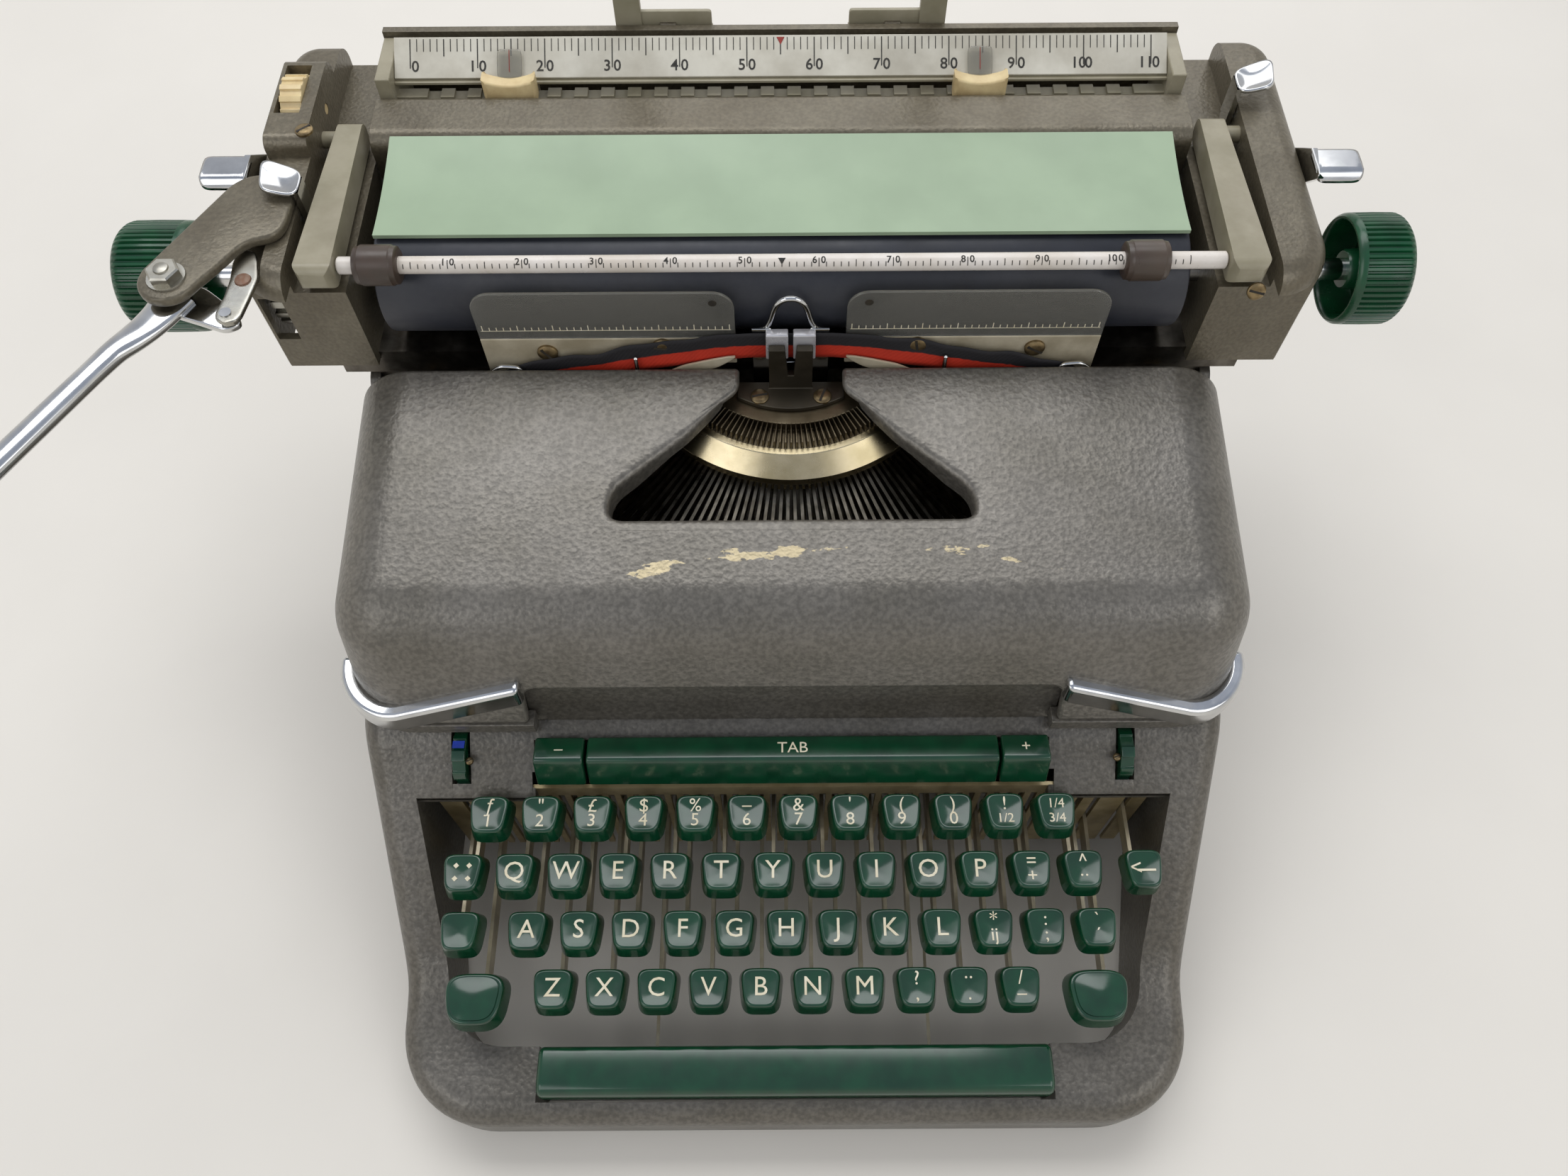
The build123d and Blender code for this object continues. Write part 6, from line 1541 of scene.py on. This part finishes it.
        recut("segment", SEGMENT_STEEL, 0.25, keep=inside, name="segment_slots")
        recut("segment", RIM_STEEL, 0.25, keep=lambda middle: ~inside(middle), name="segment_rim")
        recut("typebars", TYPE_STEEL, 0.0)
        recut("type_guide", GUIDE_STEEL, 0.3)
        recut("typebar_rest", STEEL, 0.3)
        recut("ribbon_vibrator", CHROME, 0.2)
        self.finger_tips()
        recut("left_spool", STEEL, 0.2)
        recut("right_spool", STEEL, 0.2)
        self.ribbon()
        self.gauge()
        guide = [Screw((x, 237.4, 159.0), 3.4, 1.2, turn) for x, turn in ((-11.6, 12.0), (11.8, 70.0))]
        fix_screws("guide_screws", guide, "basket")


@dataclass
class CardHolders:
    """Sheet brackets with clear plates behind the ribbon."""

    screw_y: float = 249.4
    plate_y: float = 249.55
    guide_y: float = 246.2
    marks: int = 36
    first_mark: float = 22.0
    mark_foot: float = 182.5

    def guides(self, side: int, name: str) -> None:
        """Builds what leads the ribbon on one side: a pointed sheet horn, an upright pin and a bent wire.

        Args:
            side: -1 for the left, 1 for the right.
            name: the side's name.
        """
        flip = np.array((side, 1.0, 1.0))
        tip = [(20.4, 171.6, 0.2), (22.5, 170.6, 1.2), (28.0, 168.0, 2.4)]
        knots = [*tip, (38.0, 164.2, 3.2), (47.0, 158.0, 4.0), (50.0, 149.5, 4.0)]
        line = smooth_path([(x, z, self.guide_y + 0.05, half) for x, z, half in knots], 40, 2)
        horn = blade(line[:, :3], line[:, 3], np.full(len(line), 0.45), 5.0)
        stood = horn[0][:, [0, 2, 1]] * flip
        make_piece(f"ribbon_horn_{name}", [(stood, horn[1])], ZINC, "frame")
        profile = [(149.0, 0), (149.0, 0.8), (171.0, 0.8), (171.6, 0.3), (171.6, 0)]
        pin = moved(facing(turned(profile, 14), UPRIGHT), (side * 57.0, self.guide_y, 0.0))
        hook = [(107.5, 167.0), (101.0, 166.2), (98.5, 161.0)]
        bend = smooth_path([(112.0, 149.0), (112.0, 163.0), *hook], 40, 4)
        wire = tube(np.stack([bend[:, 0], np.full(len(bend), self.guide_y), bend[:, 1]], -1) * flip, 0.8)
        make_piece(f"ribbon_wires_{name}", [pin, wire], CHROME, "frame")

    def build(self) -> None:
        """Builds brackets, plates, their printed lines and screws."""
        recut("card_brackets", ZINC, 0.3)
        recut("card_plates", CLEAR, 0.3)
        x = self.first_mark + np.arange(self.marks) * PITCH
        tall = np.where(np.arange(self.marks) % 5 == 0, 1.3, 0.8)
        for side, name in SIDES:
            centres = np.stack([side * x, np.full(self.marks, self.plate_y), self.mark_foot + tall], -1)
            half = np.stack([np.full(self.marks, 0.16), np.full(self.marks, 0.04), tall], -1)
            middle = np.array([(side * 66.5, self.plate_y, self.mark_foot - 0.1)])
            line = slabs(middle, np.array([(45.0, 0.04, 0.12)]), np.eye(3))
            make_piece(f"card_marks_{name}", [slabs(centres, half, np.eye(3)), line], SIGN, "frame")
        front = [(28.0, 246.0), (98.0, 246.0), (101.0, 248.9), (146.0, 248.9)]
        corners = np.array([*front, (146.0, 257.9), (28.0, 257.9)])
        # Dark discs on the clear plates: painted shade that stands for the holes in them.
        disc = turned([(0.0, 0.0), (0.0, 1.5), (0.06, 1.5), (0.06, 0.0)], 20)
        hole = facing(disc, ((0, -1, 0), (1, 0, 0), (0, 0, 1)))
        for side, name in SIDES:
            rim = rounded_outline((corners * (side, 1.0))[::side], [1.0, 1.0, 1.0, 3.0, 2.0, 1.0][::side])
            make_piece(f"rail_lug_{name}", [plate(rim, 148.0, 149.9, 0.4)], ZINC, "frame")
            self.guides(side, name)
            make_piece(f"card_hole_shade_{name}", [moved(hole, (side * 27.5, 249.6, 196.0))], SLOT_SHADE, "frame")
        lugs = [Screw((-137.2, 253.6, 149.9), 3.4, 1.2, 25.0), Screw((140.0, 253.6, 149.9), 3.4, 1.2, 60.0)]
        fix_screws("lug_screws", lugs, "frame")
        places = ((-89.5, 171.0, 35.0), (-46.8, 174.0, 80.0), (46.2, 174.0, 10.0), (89.7, 172.0, 60.0))
        screws = [Screw((px, self.screw_y, pz), 3.8, 1.6, turn, (0.0, -1.0, 0.0)) for px, pz, turn in places]
        fix_screws("card_screws", screws, "frame")


@dataclass
class Platen:
    """Platen with its shaft, ratchet and two ribbed knobs."""

    y: float = 273.0
    z: float = 186.5
    radius: float = 20.0
    half: float = 143.5
    knob_ribs: int = 54
    rib_depth: float = 0.95
    knob_ends: tuple = ((-211.0, -237.0), (203.0, 224.0))

    def knob(self, inner: float, outer: float) -> Solid:
        """Ribbed cup on a hub, open towards the carriage, with a plain rim and a rounded outer end.

        Args:
            inner: X of the face towards the carriage.
            outer: X of the outer face.

        Returns:
            Points about the shaft, and faces.
        """
        s = np.array(
            [
                (0.10, 0.0, 0), (0.10, 6.5, 0), (0.14, 7.1, 0), (0.52, 7.6, 0), (0.58, 9.5, 0),
                (0.60, 15.5, 0), (0.50, 16.5, 0), (0.10, 17.2, 0), (0.03, 17.4, 0), (0.0, 17.9, 0),
                (0.0, 18.6, 0), (0.03, 19.3, 0), (0.07, 19.7, 0), (0.13, 19.8, 0), (0.14, 19.8, 1),
                (0.5, 19.9, 1), (0.84, 19.8, 1), (0.90, 19.3, 0.7), (0.95, 18.4, 0.2), (0.98, 17.6, 0),
                (1.0, 16.2, 0), (1.0, 14.5, 0), (0.98, 12.0, 0), (0.98, 0.0, 0),
            ]
        )
        profile = np.stack([inner + s[:, 0] * (outer - inner), s[:, 1]], -1)
        return turned(profile, 5 * self.knob_ribs, self.knob_ribs, self.rib_depth, s[:, 2])

    def build(self) -> None:
        """Builds the platen."""
        axis = (0.0, self.y, self.z)
        h, r = self.half, self.radius
        end = np.array([(h, 0), (h, r - 1.0), (h - 0.4, r - 0.3), (h - 1.2, r)])
        roller = turned(np.concatenate([end * (-1, 1), [(0, r)], end[::-1]]), 96)
        make_piece("platen_rubber", [moved(roller, axis)], PLATEN, "platen", ("platen_roller",))
        knobs = [moved(self.knob(*ends), axis) for ends in self.knob_ends]
        make_piece("knob_pair", knobs, KNOB_GREEN, "platen", ("platen_knobs",))
        recut("platen_shaft", CHROME, 0.0)
        recut("line_ratchet", NICKEL, 0.0)


@dataclass
class PaperBail:
    """Bail arms, scaled rod and two rollers."""

    y: float = 256.6
    z: float = 208.3
    rod: float = 3.0
    first: float = -139.7
    facing_deg: float = 30.0
    mark_foot: float = -2.1
    roller_x: tuple[float, float] = (-139.0, 125.0)

    def on_rod(self, points: Array) -> Array:
        """Wraps flat points round the rod: height v goes to the angle v / radius from the facing line.

        Args:
            points: X along the rod, Y round it and Z above its surface.

        Returns:
            Points about the carriage's origin.
        """
        angle = points[:, 1] / self.rod - math.radians(self.facing_deg)
        reach = self.rod + points[:, 2]
        return np.stack([points[:, 0], self.y + reach * np.sin(angle), self.z + reach * np.cos(angle)], -1)

    def scale(self) -> list[Solid]:
        """Marks at the typing pitch, a number at every tenth of them and an arrowhead at the middle one.

        Returns:
            Marks, numbers and arrowhead as solids.
        """
        tall, wide = mark_sizes((1.5, 1.15, 0.8), 0.14, 0.14)
        x = self.first + np.arange(MARKS) * PITCH
        centres = np.stack([x, self.mark_foot + tall, np.full(MARKS, 0.04)], -1)
        flat = [slabs(centres, np.stack([wide, tall, np.full(MARKS, 0.05)], -1), np.eye(3))]
        flat += split_numbers(range(10, 110, 10), self.first, 3.4, (1.5, 0.1, 0.06), thick=0.06, weight=0.05)
        tip = plate(np.array([(-1.3, 0.9), (0.0, -1.4), (1.3, 0.9)]), 0.0, 0.1, 0.0, 2)
        flat.append(moved(tip, (x[CENTRE_MARK], 0.0, 0.02)))
        cut = [sliced(solid, WRAP_STEP) for solid in flat]
        return [(self.on_rod(points), faces) for points, faces in cut]

    def build(self) -> None:
        """Builds the bail."""
        recut("bail_arms", GREY_GREEN, 1.4, 3)
        start, end = (MM_PER_M * corner.x - Place.CARRIAGE.value[0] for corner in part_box("bail_rod"))
        r = self.rod
        rims = [(start, r - 0.5), (start + 0.5, r), (end - 0.5, r), (end, r - 0.5)]
        rod = turned([(start, 0), *rims, (end, 0)], 32)
        make_piece("bail_rod_bar", [moved(rod, (0.0, self.y, self.z))], ROD_WHITE, "bail", ("bail_rod",))
        make_piece("bail_rod_scale", self.scale(), INK, "bail")
        half = np.array([(-7.5, 3.1), (-7.5, 5.6), (-7.0, 6.4), (-5.6, 6.6), (-5.2, 6.95)])
        profile = np.concatenate([half, half[::-1] * (-1, 1), half[:1]])
        for (_, side), centre in zip(SIDES, self.roller_x):
            node = f"bail_roller_{side}"
            body = moved(turned(profile, 40), (centre, self.y, self.z))
            make_piece(f"{node}_rubber", [body], ROLLER, node, (node,))


@dataclass
class MarginScale:
    """Sloping scale with its rail, end brackets and stops."""

    first: float = -139.7
    foot: tuple[float, float] = (347.0, 213.0)
    head: tuple[float, float] = (360.0, 221.0)
    stop_half: float = 10.0
    stop_foot: float = 207.6
    stop_top: float = 214.0
    stop_rise: float = 2.4
    stop_back: float = 346.4
    stop_x: tuple[float, float] = (-102.0, 75.0)
    bracket_x: float = 145.8
    margin: float = 0.8

    def axes(self) -> Array:
        """Rows for the scale's own right, up-slope and outward directions."""
        run, rise = (np.array(self.head) - self.foot) / math.dist(self.foot, self.head)
        return np.array([(1.0, 0.0, 0.0), (0.0, run, rise), (0.0, -rise, run)])

    def stop(self, node: str, x: float) -> None:
        """Builds one stop: a cream tab with a hollowed top, its zinc foot and a clear pointer with a red line.

        The top stands at stop_top + stop_rise (x / half)^2, so that it is lowest in the middle.

        Args:
            node: node of the stop.
            x: X of its middle.
        """
        half, steps = self.stop_half, 13
        across = np.linspace(-half, half, steps)
        top = self.stop_top + self.stop_rise * (across / half) ** 2
        rim = np.concatenate(
            [np.stack([across, np.full(steps, self.stop_foot)], -1), np.stack([across, top], -1)[::-1]]
        )
        tab = moved(facing(plate(rim, 0.0, 5.6, 0.9), STOOD_UP), (x, self.stop_back, 0.0))
        make_piece(f"{node}_tab", [tab], CREAM, node, (node,))
        recut(node, ZINC, 0.0, keep=below(self.stop_foot + 0.5), name=f"{node}_foot")
        axes = self.axes()
        origin = np.array((x, *self.foot))
        window = patch(lambda u, v: np.stack([4.6 * u, 4.5 + 5.5 * v, np.full_like(u, 1.5)], -1), 0.3)
        sheet = make_piece(f"{node}_pointer", [(window[0] @ axes + origin, window[1])], CLEAR, node)
        thicken(sheet, 0.5)
        hair = slabs(np.array([(0.0, 5.5, 1.9)]) @ axes + origin, np.array([(0.14, 4.0, 0.05)]), axes)
        make_piece(f"{node}_hairline", [hair], RED_MARK, node)

    def build(self) -> None:
        """Builds the scale, its print, the rail and the stops."""
        edge = self.bracket_x
        recut("margin_rail", GREY_GREEN, 0.5, keep=lambda m: off_middle(m) > edge, name="scale_brackets")
        recut("margin_rail", GREY_GREEN, 0.0, keep=lambda m: off_middle(m) < edge, name="toothed_rail")
        strip = rounded_outline([(345.8, 210.9), (348.4, 210.9), (348.4, 212.0), (345.8, 212.0)], [0.3] * 4, 3)
        make_piece("scale_strip", [bar_along_x(strip, -146.0, 146.0, 0.2)], GREY_GREEN, "carriage")
        recut("margin_scale", ALUMINIUM, 0.2)
        for (_, side), x in zip(SIDES, self.stop_x):
            self.stop(f"margin_stop_{side}", x)
        axes, origin = self.axes(), np.array((0.0, *self.foot))
        top_line = math.dist(self.foot, self.head) - self.margin
        lift = max(0.0, MM_PER_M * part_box("margin_scale")[1].z - self.head[1]) + 0.06
        tall, wide = mark_sizes((5.4, 3.2, 2.3), 0.15, 0.2)
        x = self.first + np.arange(MARKS) * PITCH
        centres = np.stack([x, top_line - tall, np.full(MARKS, lift)], -1) @ axes + origin
        inked = [slabs(centres, np.stack([wide, tall, np.full(MARKS, 0.05)], -1), axes)]
        numbers = split_numbers(range(0, 120, 10), self.first, 5.8, (1.9, 4.2, lift), thick=0.08, weight=0.07)
        inked += [(points @ axes + origin, faces) for points, faces in numbers]
        make_piece("margin_scale_print", inked, INK, "carriage")
        tip = np.array([(-1.5, top_line), (0.0, top_line - 2.8), (1.5, top_line)]) + (x[CENTRE_MARK], 0.0)
        points, faces = plate(tip, lift, lift + 0.12, 0.0, 2)
        make_piece("margin_scale_centre", [(points @ axes + origin, faces)], RED_MARK, "carriage")


@dataclass
class Carriage:
    """Carriage ends, paper table, rear cover, levers and paper supports."""

    platen: Platen = field(default_factory=Platen)
    bail: PaperBail = field(default_factory=PaperBail)
    scale: MarginScale = field(default_factory=MarginScale)
    pivot: tuple[float, float] = (-205.0, 244.0)
    nose: float = 10.2
    bracket_z: tuple[float, float] = (212.2, 216.2)
    lever_z: float = 208.0
    link_z: float = 210.05
    tab_foot: float = 217.8
    release_edge: float = 192.9
    support_y: float = 372.5

    def nut(self) -> list[Solid]:
        """Washer and six-sided nut with a domed pin end on the line-space lever's pivot.

        Returns:
            The three as solids.
        """
        washer = [(216.1, 0), (216.1, 6.6), (216.9, 6.4), (217.0, 0)]
        nut = [(216.9, 0), (216.9, 5.6), (219.8, 5.6), (220.3, 5.0), (220.3, 0)]
        pin = [(220.0, 0), (220.0, 2.7), (220.9, 2.4), (221.2, 1.4), (221.3, 0)]
        return [stood_pin(profile, count, self.pivot) for profile, count in ((washer, 32), (nut, 6), (pin, 24))]

    def bracket(self) -> None:
        """Builds the lever's bracket: a blade with a round nose, a long outer edge and a waved inner edge."""
        a = np.radians(np.linspace(156.0, 345.0, 16))
        nose = np.array(self.pivot) + self.nose * np.stack([np.cos(a), np.sin(a)], -1)
        wave = [
            (-191.8, 246.0), (-187.6, 252.5), (-184.8, 257.5), (-181.5, 260.8), (-178.0, 261.6),
            (-174.6, 262.4), (-171.8, 265.2), (-170.6, 269.5), (-170.4, 276.0),
        ]
        head = [
            (-170.4, 284.0), (-171.4, 289.5), (-175.0, 292.6),
            (-181.0, 293.2), (-188.0, 292.4), (-193.2, 288.2),
        ]
        ring = np.concatenate([nose, wave, head])
        rim = smooth_path(np.concatenate([ring, ring[:1]]), 120, 4)[:-1]
        blank = plate(rim, *self.bracket_z, 1.3)
        make_piece("lever_bracket_plate", [blank], BROWNED, "carriage", ("lever_bracket",))
        make_piece("lever_nut", self.nut(), NICKEL, "carriage")
        pin = stood_pin([(204.0, 0.0), (204.0, 4.0), (212.4, 4.0), (212.4, 0.0)], 28, self.pivot)
        make_piece("lever_pin", [pin], STEEL, "carriage")

    def lever(self) -> None:
        """Builds the line-space lever: a flat root, a round arm with a swollen tip, and its crank."""
        knots = [
            (-205.5, 243.0, 7.6, 2.6), (-208.0, 236.0, 6.6, 2.6), (-211.5, 229.5, 5.8, 2.6),
            (-215.5, 224.2, 5.2, 2.9), (-219.5, 219.5, 4.4, 3.0), (-224.0, 211.5, 4.1, 3.0),
            (-250.0, 164.5, 4.5, 3.0), (-272.0, 124.7, 5.2, 3.0), (-277.4, 114.9, 4.8, 2.8),
            (-279.6, 110.9, 3.4, 2.0), (-281.0, 108.4, 0.4, 0.4),
        ]
        line = smooth_path([(x, y, self.lever_z, wide, tall) for x, y, wide, tall in knots], 90, 2)
        arm = blade(line[:, :3], line[:, 3], line[:, 4])
        outer = [(-211.0, 238.0), (-199.0, 233.6), (-186.0, 228.6), (-180.8, 231.4)]
        inner = [(-183.6, 237.0), (-196.4, 247.6), (-206.0, 251.4)]
        crank = rounded_outline([*outer, *inner], [3.0, 3.0, 2.6, 2.6, 2.6, 3.0, 4.0])
        pin = stood_pin([(207.4, 0), (207.4, 2.0), (211.6, 2.0), (211.6, 0)], 20, (-185.0, 233.0))
        bar = [arm, plate(crank, 205.0, 207.5, 0.7), pin]
        make_piece("return_lever_bar", bar, CHROME, "return_lever", ("return_lever",))

    def link(self) -> None:
        """Builds the lever's link, a flat bar that swells at its ends, with a rivet in its middle."""
        knots = [
            (-184.6, 228.9, 0.3), (-184.5, 229.4, 3.2), (-184.2, 232.5, 4.4), (-183.0, 240.0, 4.3),
            (-182.4, 248.0, 4.6), (-183.6, 256.0, 4.2), (-184.2, 260.6, 3.0), (-184.3, 261.4, 0.3),
        ]
        line = smooth_path([(x, y, self.link_z, wide) for x, y, wide in knots], 50, 1)
        bar = blade(line[:, :3], line[:, 3], np.full(len(line), 1.1), 6.0)
        make_piece("lever_link_bar", [bar], NICKEL, "lever_link", ("lever_link",))
        head = [(211.1, 0), (211.1, 2.9), (211.7, 2.6), (212.0, 1.4), (212.05, 0)]
        make_piece("link_rivet", [stood_pin(head, 24, (-182.3, 247.5))], RUST, "lever_link")

    def curled_tab(self, node: str, side: int, y: float) -> None:
        """Builds a thumb tab that rises by the square of the way out; its corners turn up by v^2.

        Args:
            node: node of the lever that carries the tab.
            side: -1 for the left end, 1 for the right end.
            y: Y of the lever's middle.
        """
        def sheet(u: Array, v: Array) -> Array:
            """Points of the tab for u outwards and v to the back, both from -1 to 1."""
            out = (u + 1.0) / 2.0
            return np.stack(
                [
                    side * (167.6 + 14.0 * out + 1.2 * out * v),
                    y + 1.0 + 6.2 * v + 2.6 * out + 1.8 * out * v,
                    218.6 + 1.6 * out**2 + 0.9 * v**2 * out - 0.8 * (1.0 - u**2) * (1.0 - v**2),
                ],
                -1,
            )

        tab = make_piece(f"{node}_tab", [patch(sheet)], CHROME, node, (node,))
        thicken(tab, 1.3)
        recut(node, CHROME, 0.0, keep=below(self.tab_foot), name=f"{node}_stem")

    def release_tabs(self) -> None:
        """Builds the carriage releases: flat tabs whose front edge drops by the square of the way past it."""
        def sheet(u: Array, v: Array) -> Array:
            """Points of the right-hand tab for u outwards and v to the back, both from -1 to 1."""
            drop = 3.4 * np.maximum(-0.45 - v, 0.0) ** 2 / 0.3
            return np.stack([198.6 + 8.4 * u, 298.0 + 6.3 * v, 213.4 - drop], -1)

        points, faces = patch(sheet, 0.28)
        node, pair = "carriage_releases", [(points, faces), (points * MIRROR, faces)]
        thicken(make_piece("release_tabs", pair, CHROME, node, (node,)), 1.4)
        recut(node, CHROME, 0.3, keep=lambda m: off_middle(m) < self.release_edge, name="release_arms")

    def build(self) -> None:
        """Builds the carriage."""
        recut("left_end_cover", BROWNED, 2.6, 4)
        recut("right_end_cover", BROWNED, 3.2, 5)
        recut("paper_table", PALE_GREEN, 1.0, 4)
        recut("rear_cover", BROWNED, 0.9, 3)
        recut("paper_supports", GREY_GREEN, 0.6)
        corners = np.array([(26.2, 216.4), (62.8, 216.4), (62.8, 223.4), (26.2, 223.4)])
        rims = [rounded_outline(corners * (side, 1.0), [0.6, 0.6, 0.6, 1.5])[::side] for side in (-1, 1)]
        feet = [moved(facing(plate(rim, 0.0, 1.6, 0.3), STOOD_UP), (0.0, self.support_y, 0.0)) for rim in rims]
        make_piece("support_feet", feet, GREY_GREEN, "paper_supports")
        recut("spacing_selector", CREAM, 0.2)
        self.bracket()
        self.lever()
        self.link()
        self.curled_tab("detent_release", -1, 284.0)
        self.curled_tab("paper_release", 1, 334.0)
        self.release_tabs()
        self.platen.build()
        self.bail.build()
        self.scale.build()
        left = Screw((-171.0, 311.5, 219.0), 3.2, 1.1, 40.0)
        right = Screw((163.0, 247.0, 203.2), 3.2, 1.1, 75.0, (0.0, -1.0, 0.35))
        fix_screws("cover_screws", [left, right], "carriage")


@dataclass
class Works:
    """Inner frame, rails, comb and the hidden drive."""

    finishes: tuple = (
        ("chassis", STEEL), ("carriage_rails", STEEL), ("carriage_bed", STEEL), ("key_comb", BRASS),
        ("key_shaft", STEEL), ("mainspring_drum", STEEL), ("escapement_wheel", BRASS),
    )

    def build(self) -> None:
        """Dresses the inner pieces."""
        for node, finish in self.finishes:
            recut(node, finish, 0.0)


def link_object(name: str, data: bpy.types.ID, turn: Array) -> bpy.types.Object:
    """Makes an object of some data and sets it up by a 4 x 4 matrix.

    Args:
        name: name of the object.
        data: lamp, camera or mesh.
        turn: where it stands and how it is turned.

    Returns:
        The new object.
    """
    holder = bpy.data.objects.new(name, data)
    bpy.context.scene.collection.objects.link(holder)
    holder.matrix_world = Matrix(turn.tolist())
    return holder


@dataclass(frozen=True)
class Lamp:
    """Soft rectangular lamp: where it hangs, what it faces, its two sides in metres and its power in watts."""

    name: str
    place: tuple[float, float, float]
    aim: tuple[float, float, float]
    sides: tuple[float, float]
    power: float

    def hang(self) -> None:
        """Hangs the lamp; it looks along its own -Z."""
        light = bpy.data.lights.new(self.name, "AREA")
        light.shape = "RECTANGLE"
        light.size, light.size_y = self.sides
        light.energy = self.power
        back = unit(np.array(self.place) - np.array(self.aim))
        right = unit(np.cross((0.0, 1.0, 0.05), back))
        turn = np.eye(4)
        turn[:3] = np.stack([right, np.cross(back, right), back, self.place], -1)
        link_object(self.name, light, turn)


@dataclass
class Studio:
    """Pale floor, soft lamps, even sky and the camera of the photograph."""

    eye: tuple[float, float, float] = (30.25, -226.65, 510.4)
    pitch_deg: float = 61.0
    roll_deg: float = 0.37
    focal_px: float = 1671.0
    sensor_mm: float = 36.0
    floor: Finish = Finish(
        "pale_floor", "floor", "#f1ede6", "#efebe4", 80.0, 0.7, dust="#ece8e0", dust_amount=0.1
    )
    floor_reach: float = 1.5
    low_sky: str = "#e3e0da"
    high_sky: str = "#aab2c2"
    sky_top: float = 0.8
    even_light: str = "#eeeff1"
    even_strength: float = 0.48
    lamps: tuple[Lamp, ...] = (
        Lamp("key_lamp", (-0.15, 0.62, 1.5), (0.0, 0.0, 0.1), (1.6, 0.6), 10.0),
        Lamp("fill_lamp", (1.1, -0.8, 1.1), (0.0, 0.0, 0.1), (0.8, 0.8), 3.6),
        Lamp("front_lamp", (-1.0, -0.9, 1.2), (0.0, 0.0, 0.1), (0.9, 0.9), 4.2),
        Lamp("back_lamp", (0.2, 1.4, 1.2), (0.0, 0.0, 0.15), (1.4, 0.8), 5.0),
    )

    def ground(self) -> None:
        """Lays a round pale floor under the feet; seen from low down, its rim shows before the pale room."""
        mesh = bpy.data.meshes.new("floor")
        turn = round_turn(128)
        rim = self.floor_reach * np.stack([np.cos(turn), np.sin(turn), np.zeros_like(turn)], -1)
        mesh.from_pydata(rim.tolist(), [], [tuple(range(len(turn)))])
        mesh.materials.append(self.floor.material())
        link_object("floor", mesh, np.eye(4))

    def sky(self) -> None:
        """Even pale light from all round; seen directly or mirrored, pale low down and a cool grey overhead."""
        world = bpy.data.worlds.new("pale_room")
        bpy.context.scene.world = world
        world.use_nodes = True
        tree = world.node_tree
        tree.nodes.clear()
        place = add_node(tree, "ShaderNodeTexCoord").outputs["Generated"]
        height = add_node(tree, "ShaderNodeSeparateXYZ", {0: place}).outputs[2]
        share = spread_out(tree, height, 0.0, self.sky_top)
        tone = blend(tree, share, linear(self.low_sky), linear(self.high_sky))
        seen = add_node(tree, "ShaderNodeBackground", {"Color": tone, "Strength": 1.0})
        even = {"Color": linear(self.even_light), "Strength": self.even_strength}
        shade = add_node(tree, "ShaderNodeBackground", even)
        ray = add_node(tree, "ShaderNodeLightPath").outputs
        mirrored = reckon(tree, "ADD", ray["Is Glossy Ray"], ray["Is Transmission Ray"])
        direct = reckon(tree, "MINIMUM", reckon(tree, "ADD", ray["Is Camera Ray"], mirrored), 1.0)
        both = add_node(tree, "ShaderNodeMixShader", {0: direct, 1: shade.outputs[0], 2: seen.outputs[0]})
        add_node(tree, "ShaderNodeOutputWorld", {"Surface": both.outputs[0]})

    def camera(self) -> None:
        """Sets the camera up where the photograph was taken."""
        pitch, roll = math.radians(self.pitch_deg), math.radians(self.roll_deg)
        right, up = np.array((1.0, 0.0, 0.0)), np.array((0.0, math.sin(pitch), math.cos(pitch)))
        turn = np.eye(4)
        turn[:3, 0] = math.cos(roll) * right - math.sin(roll) * up
        turn[:3, 1] = math.sin(roll) * right + math.cos(roll) * up
        turn[:3, 2] = (0.0, -math.cos(pitch), math.sin(pitch))
        turn[:3, 3] = np.array(self.eye) / MM_PER_M
        data = bpy.data.cameras.new("view")
        data.sensor_fit = "HORIZONTAL"
        data.sensor_width = self.sensor_mm
        data.lens = self.sensor_mm * self.focal_px / IMAGE_WIDTH
        data.clip_start = 0.01
        bpy.context.scene.camera = link_object("view", data, turn)

    def build(self) -> None:
        """Sets up floor, lamps, sky, camera and the plain view transform."""
        bpy.context.scene.view_settings.view_transform = "Standard"
        self.ground()
        for lamp in self.lamps:
            lamp.hang()
        self.sky()
        self.camera()


def main() -> None:
    """Builds every sub-assembly in order."""
    logging.basicConfig(level=logging.INFO, format="%(message)s")
    for assembly in (Studio(), Casing(), Keyboard(), Basket(), CardHolders(), Carriage(), Works()):
        assembly.build()
        LOG.info("%s done", type(assembly).__name__)
    bpy.context.view_layer.update()


if __name__ == "__main__":
    main()
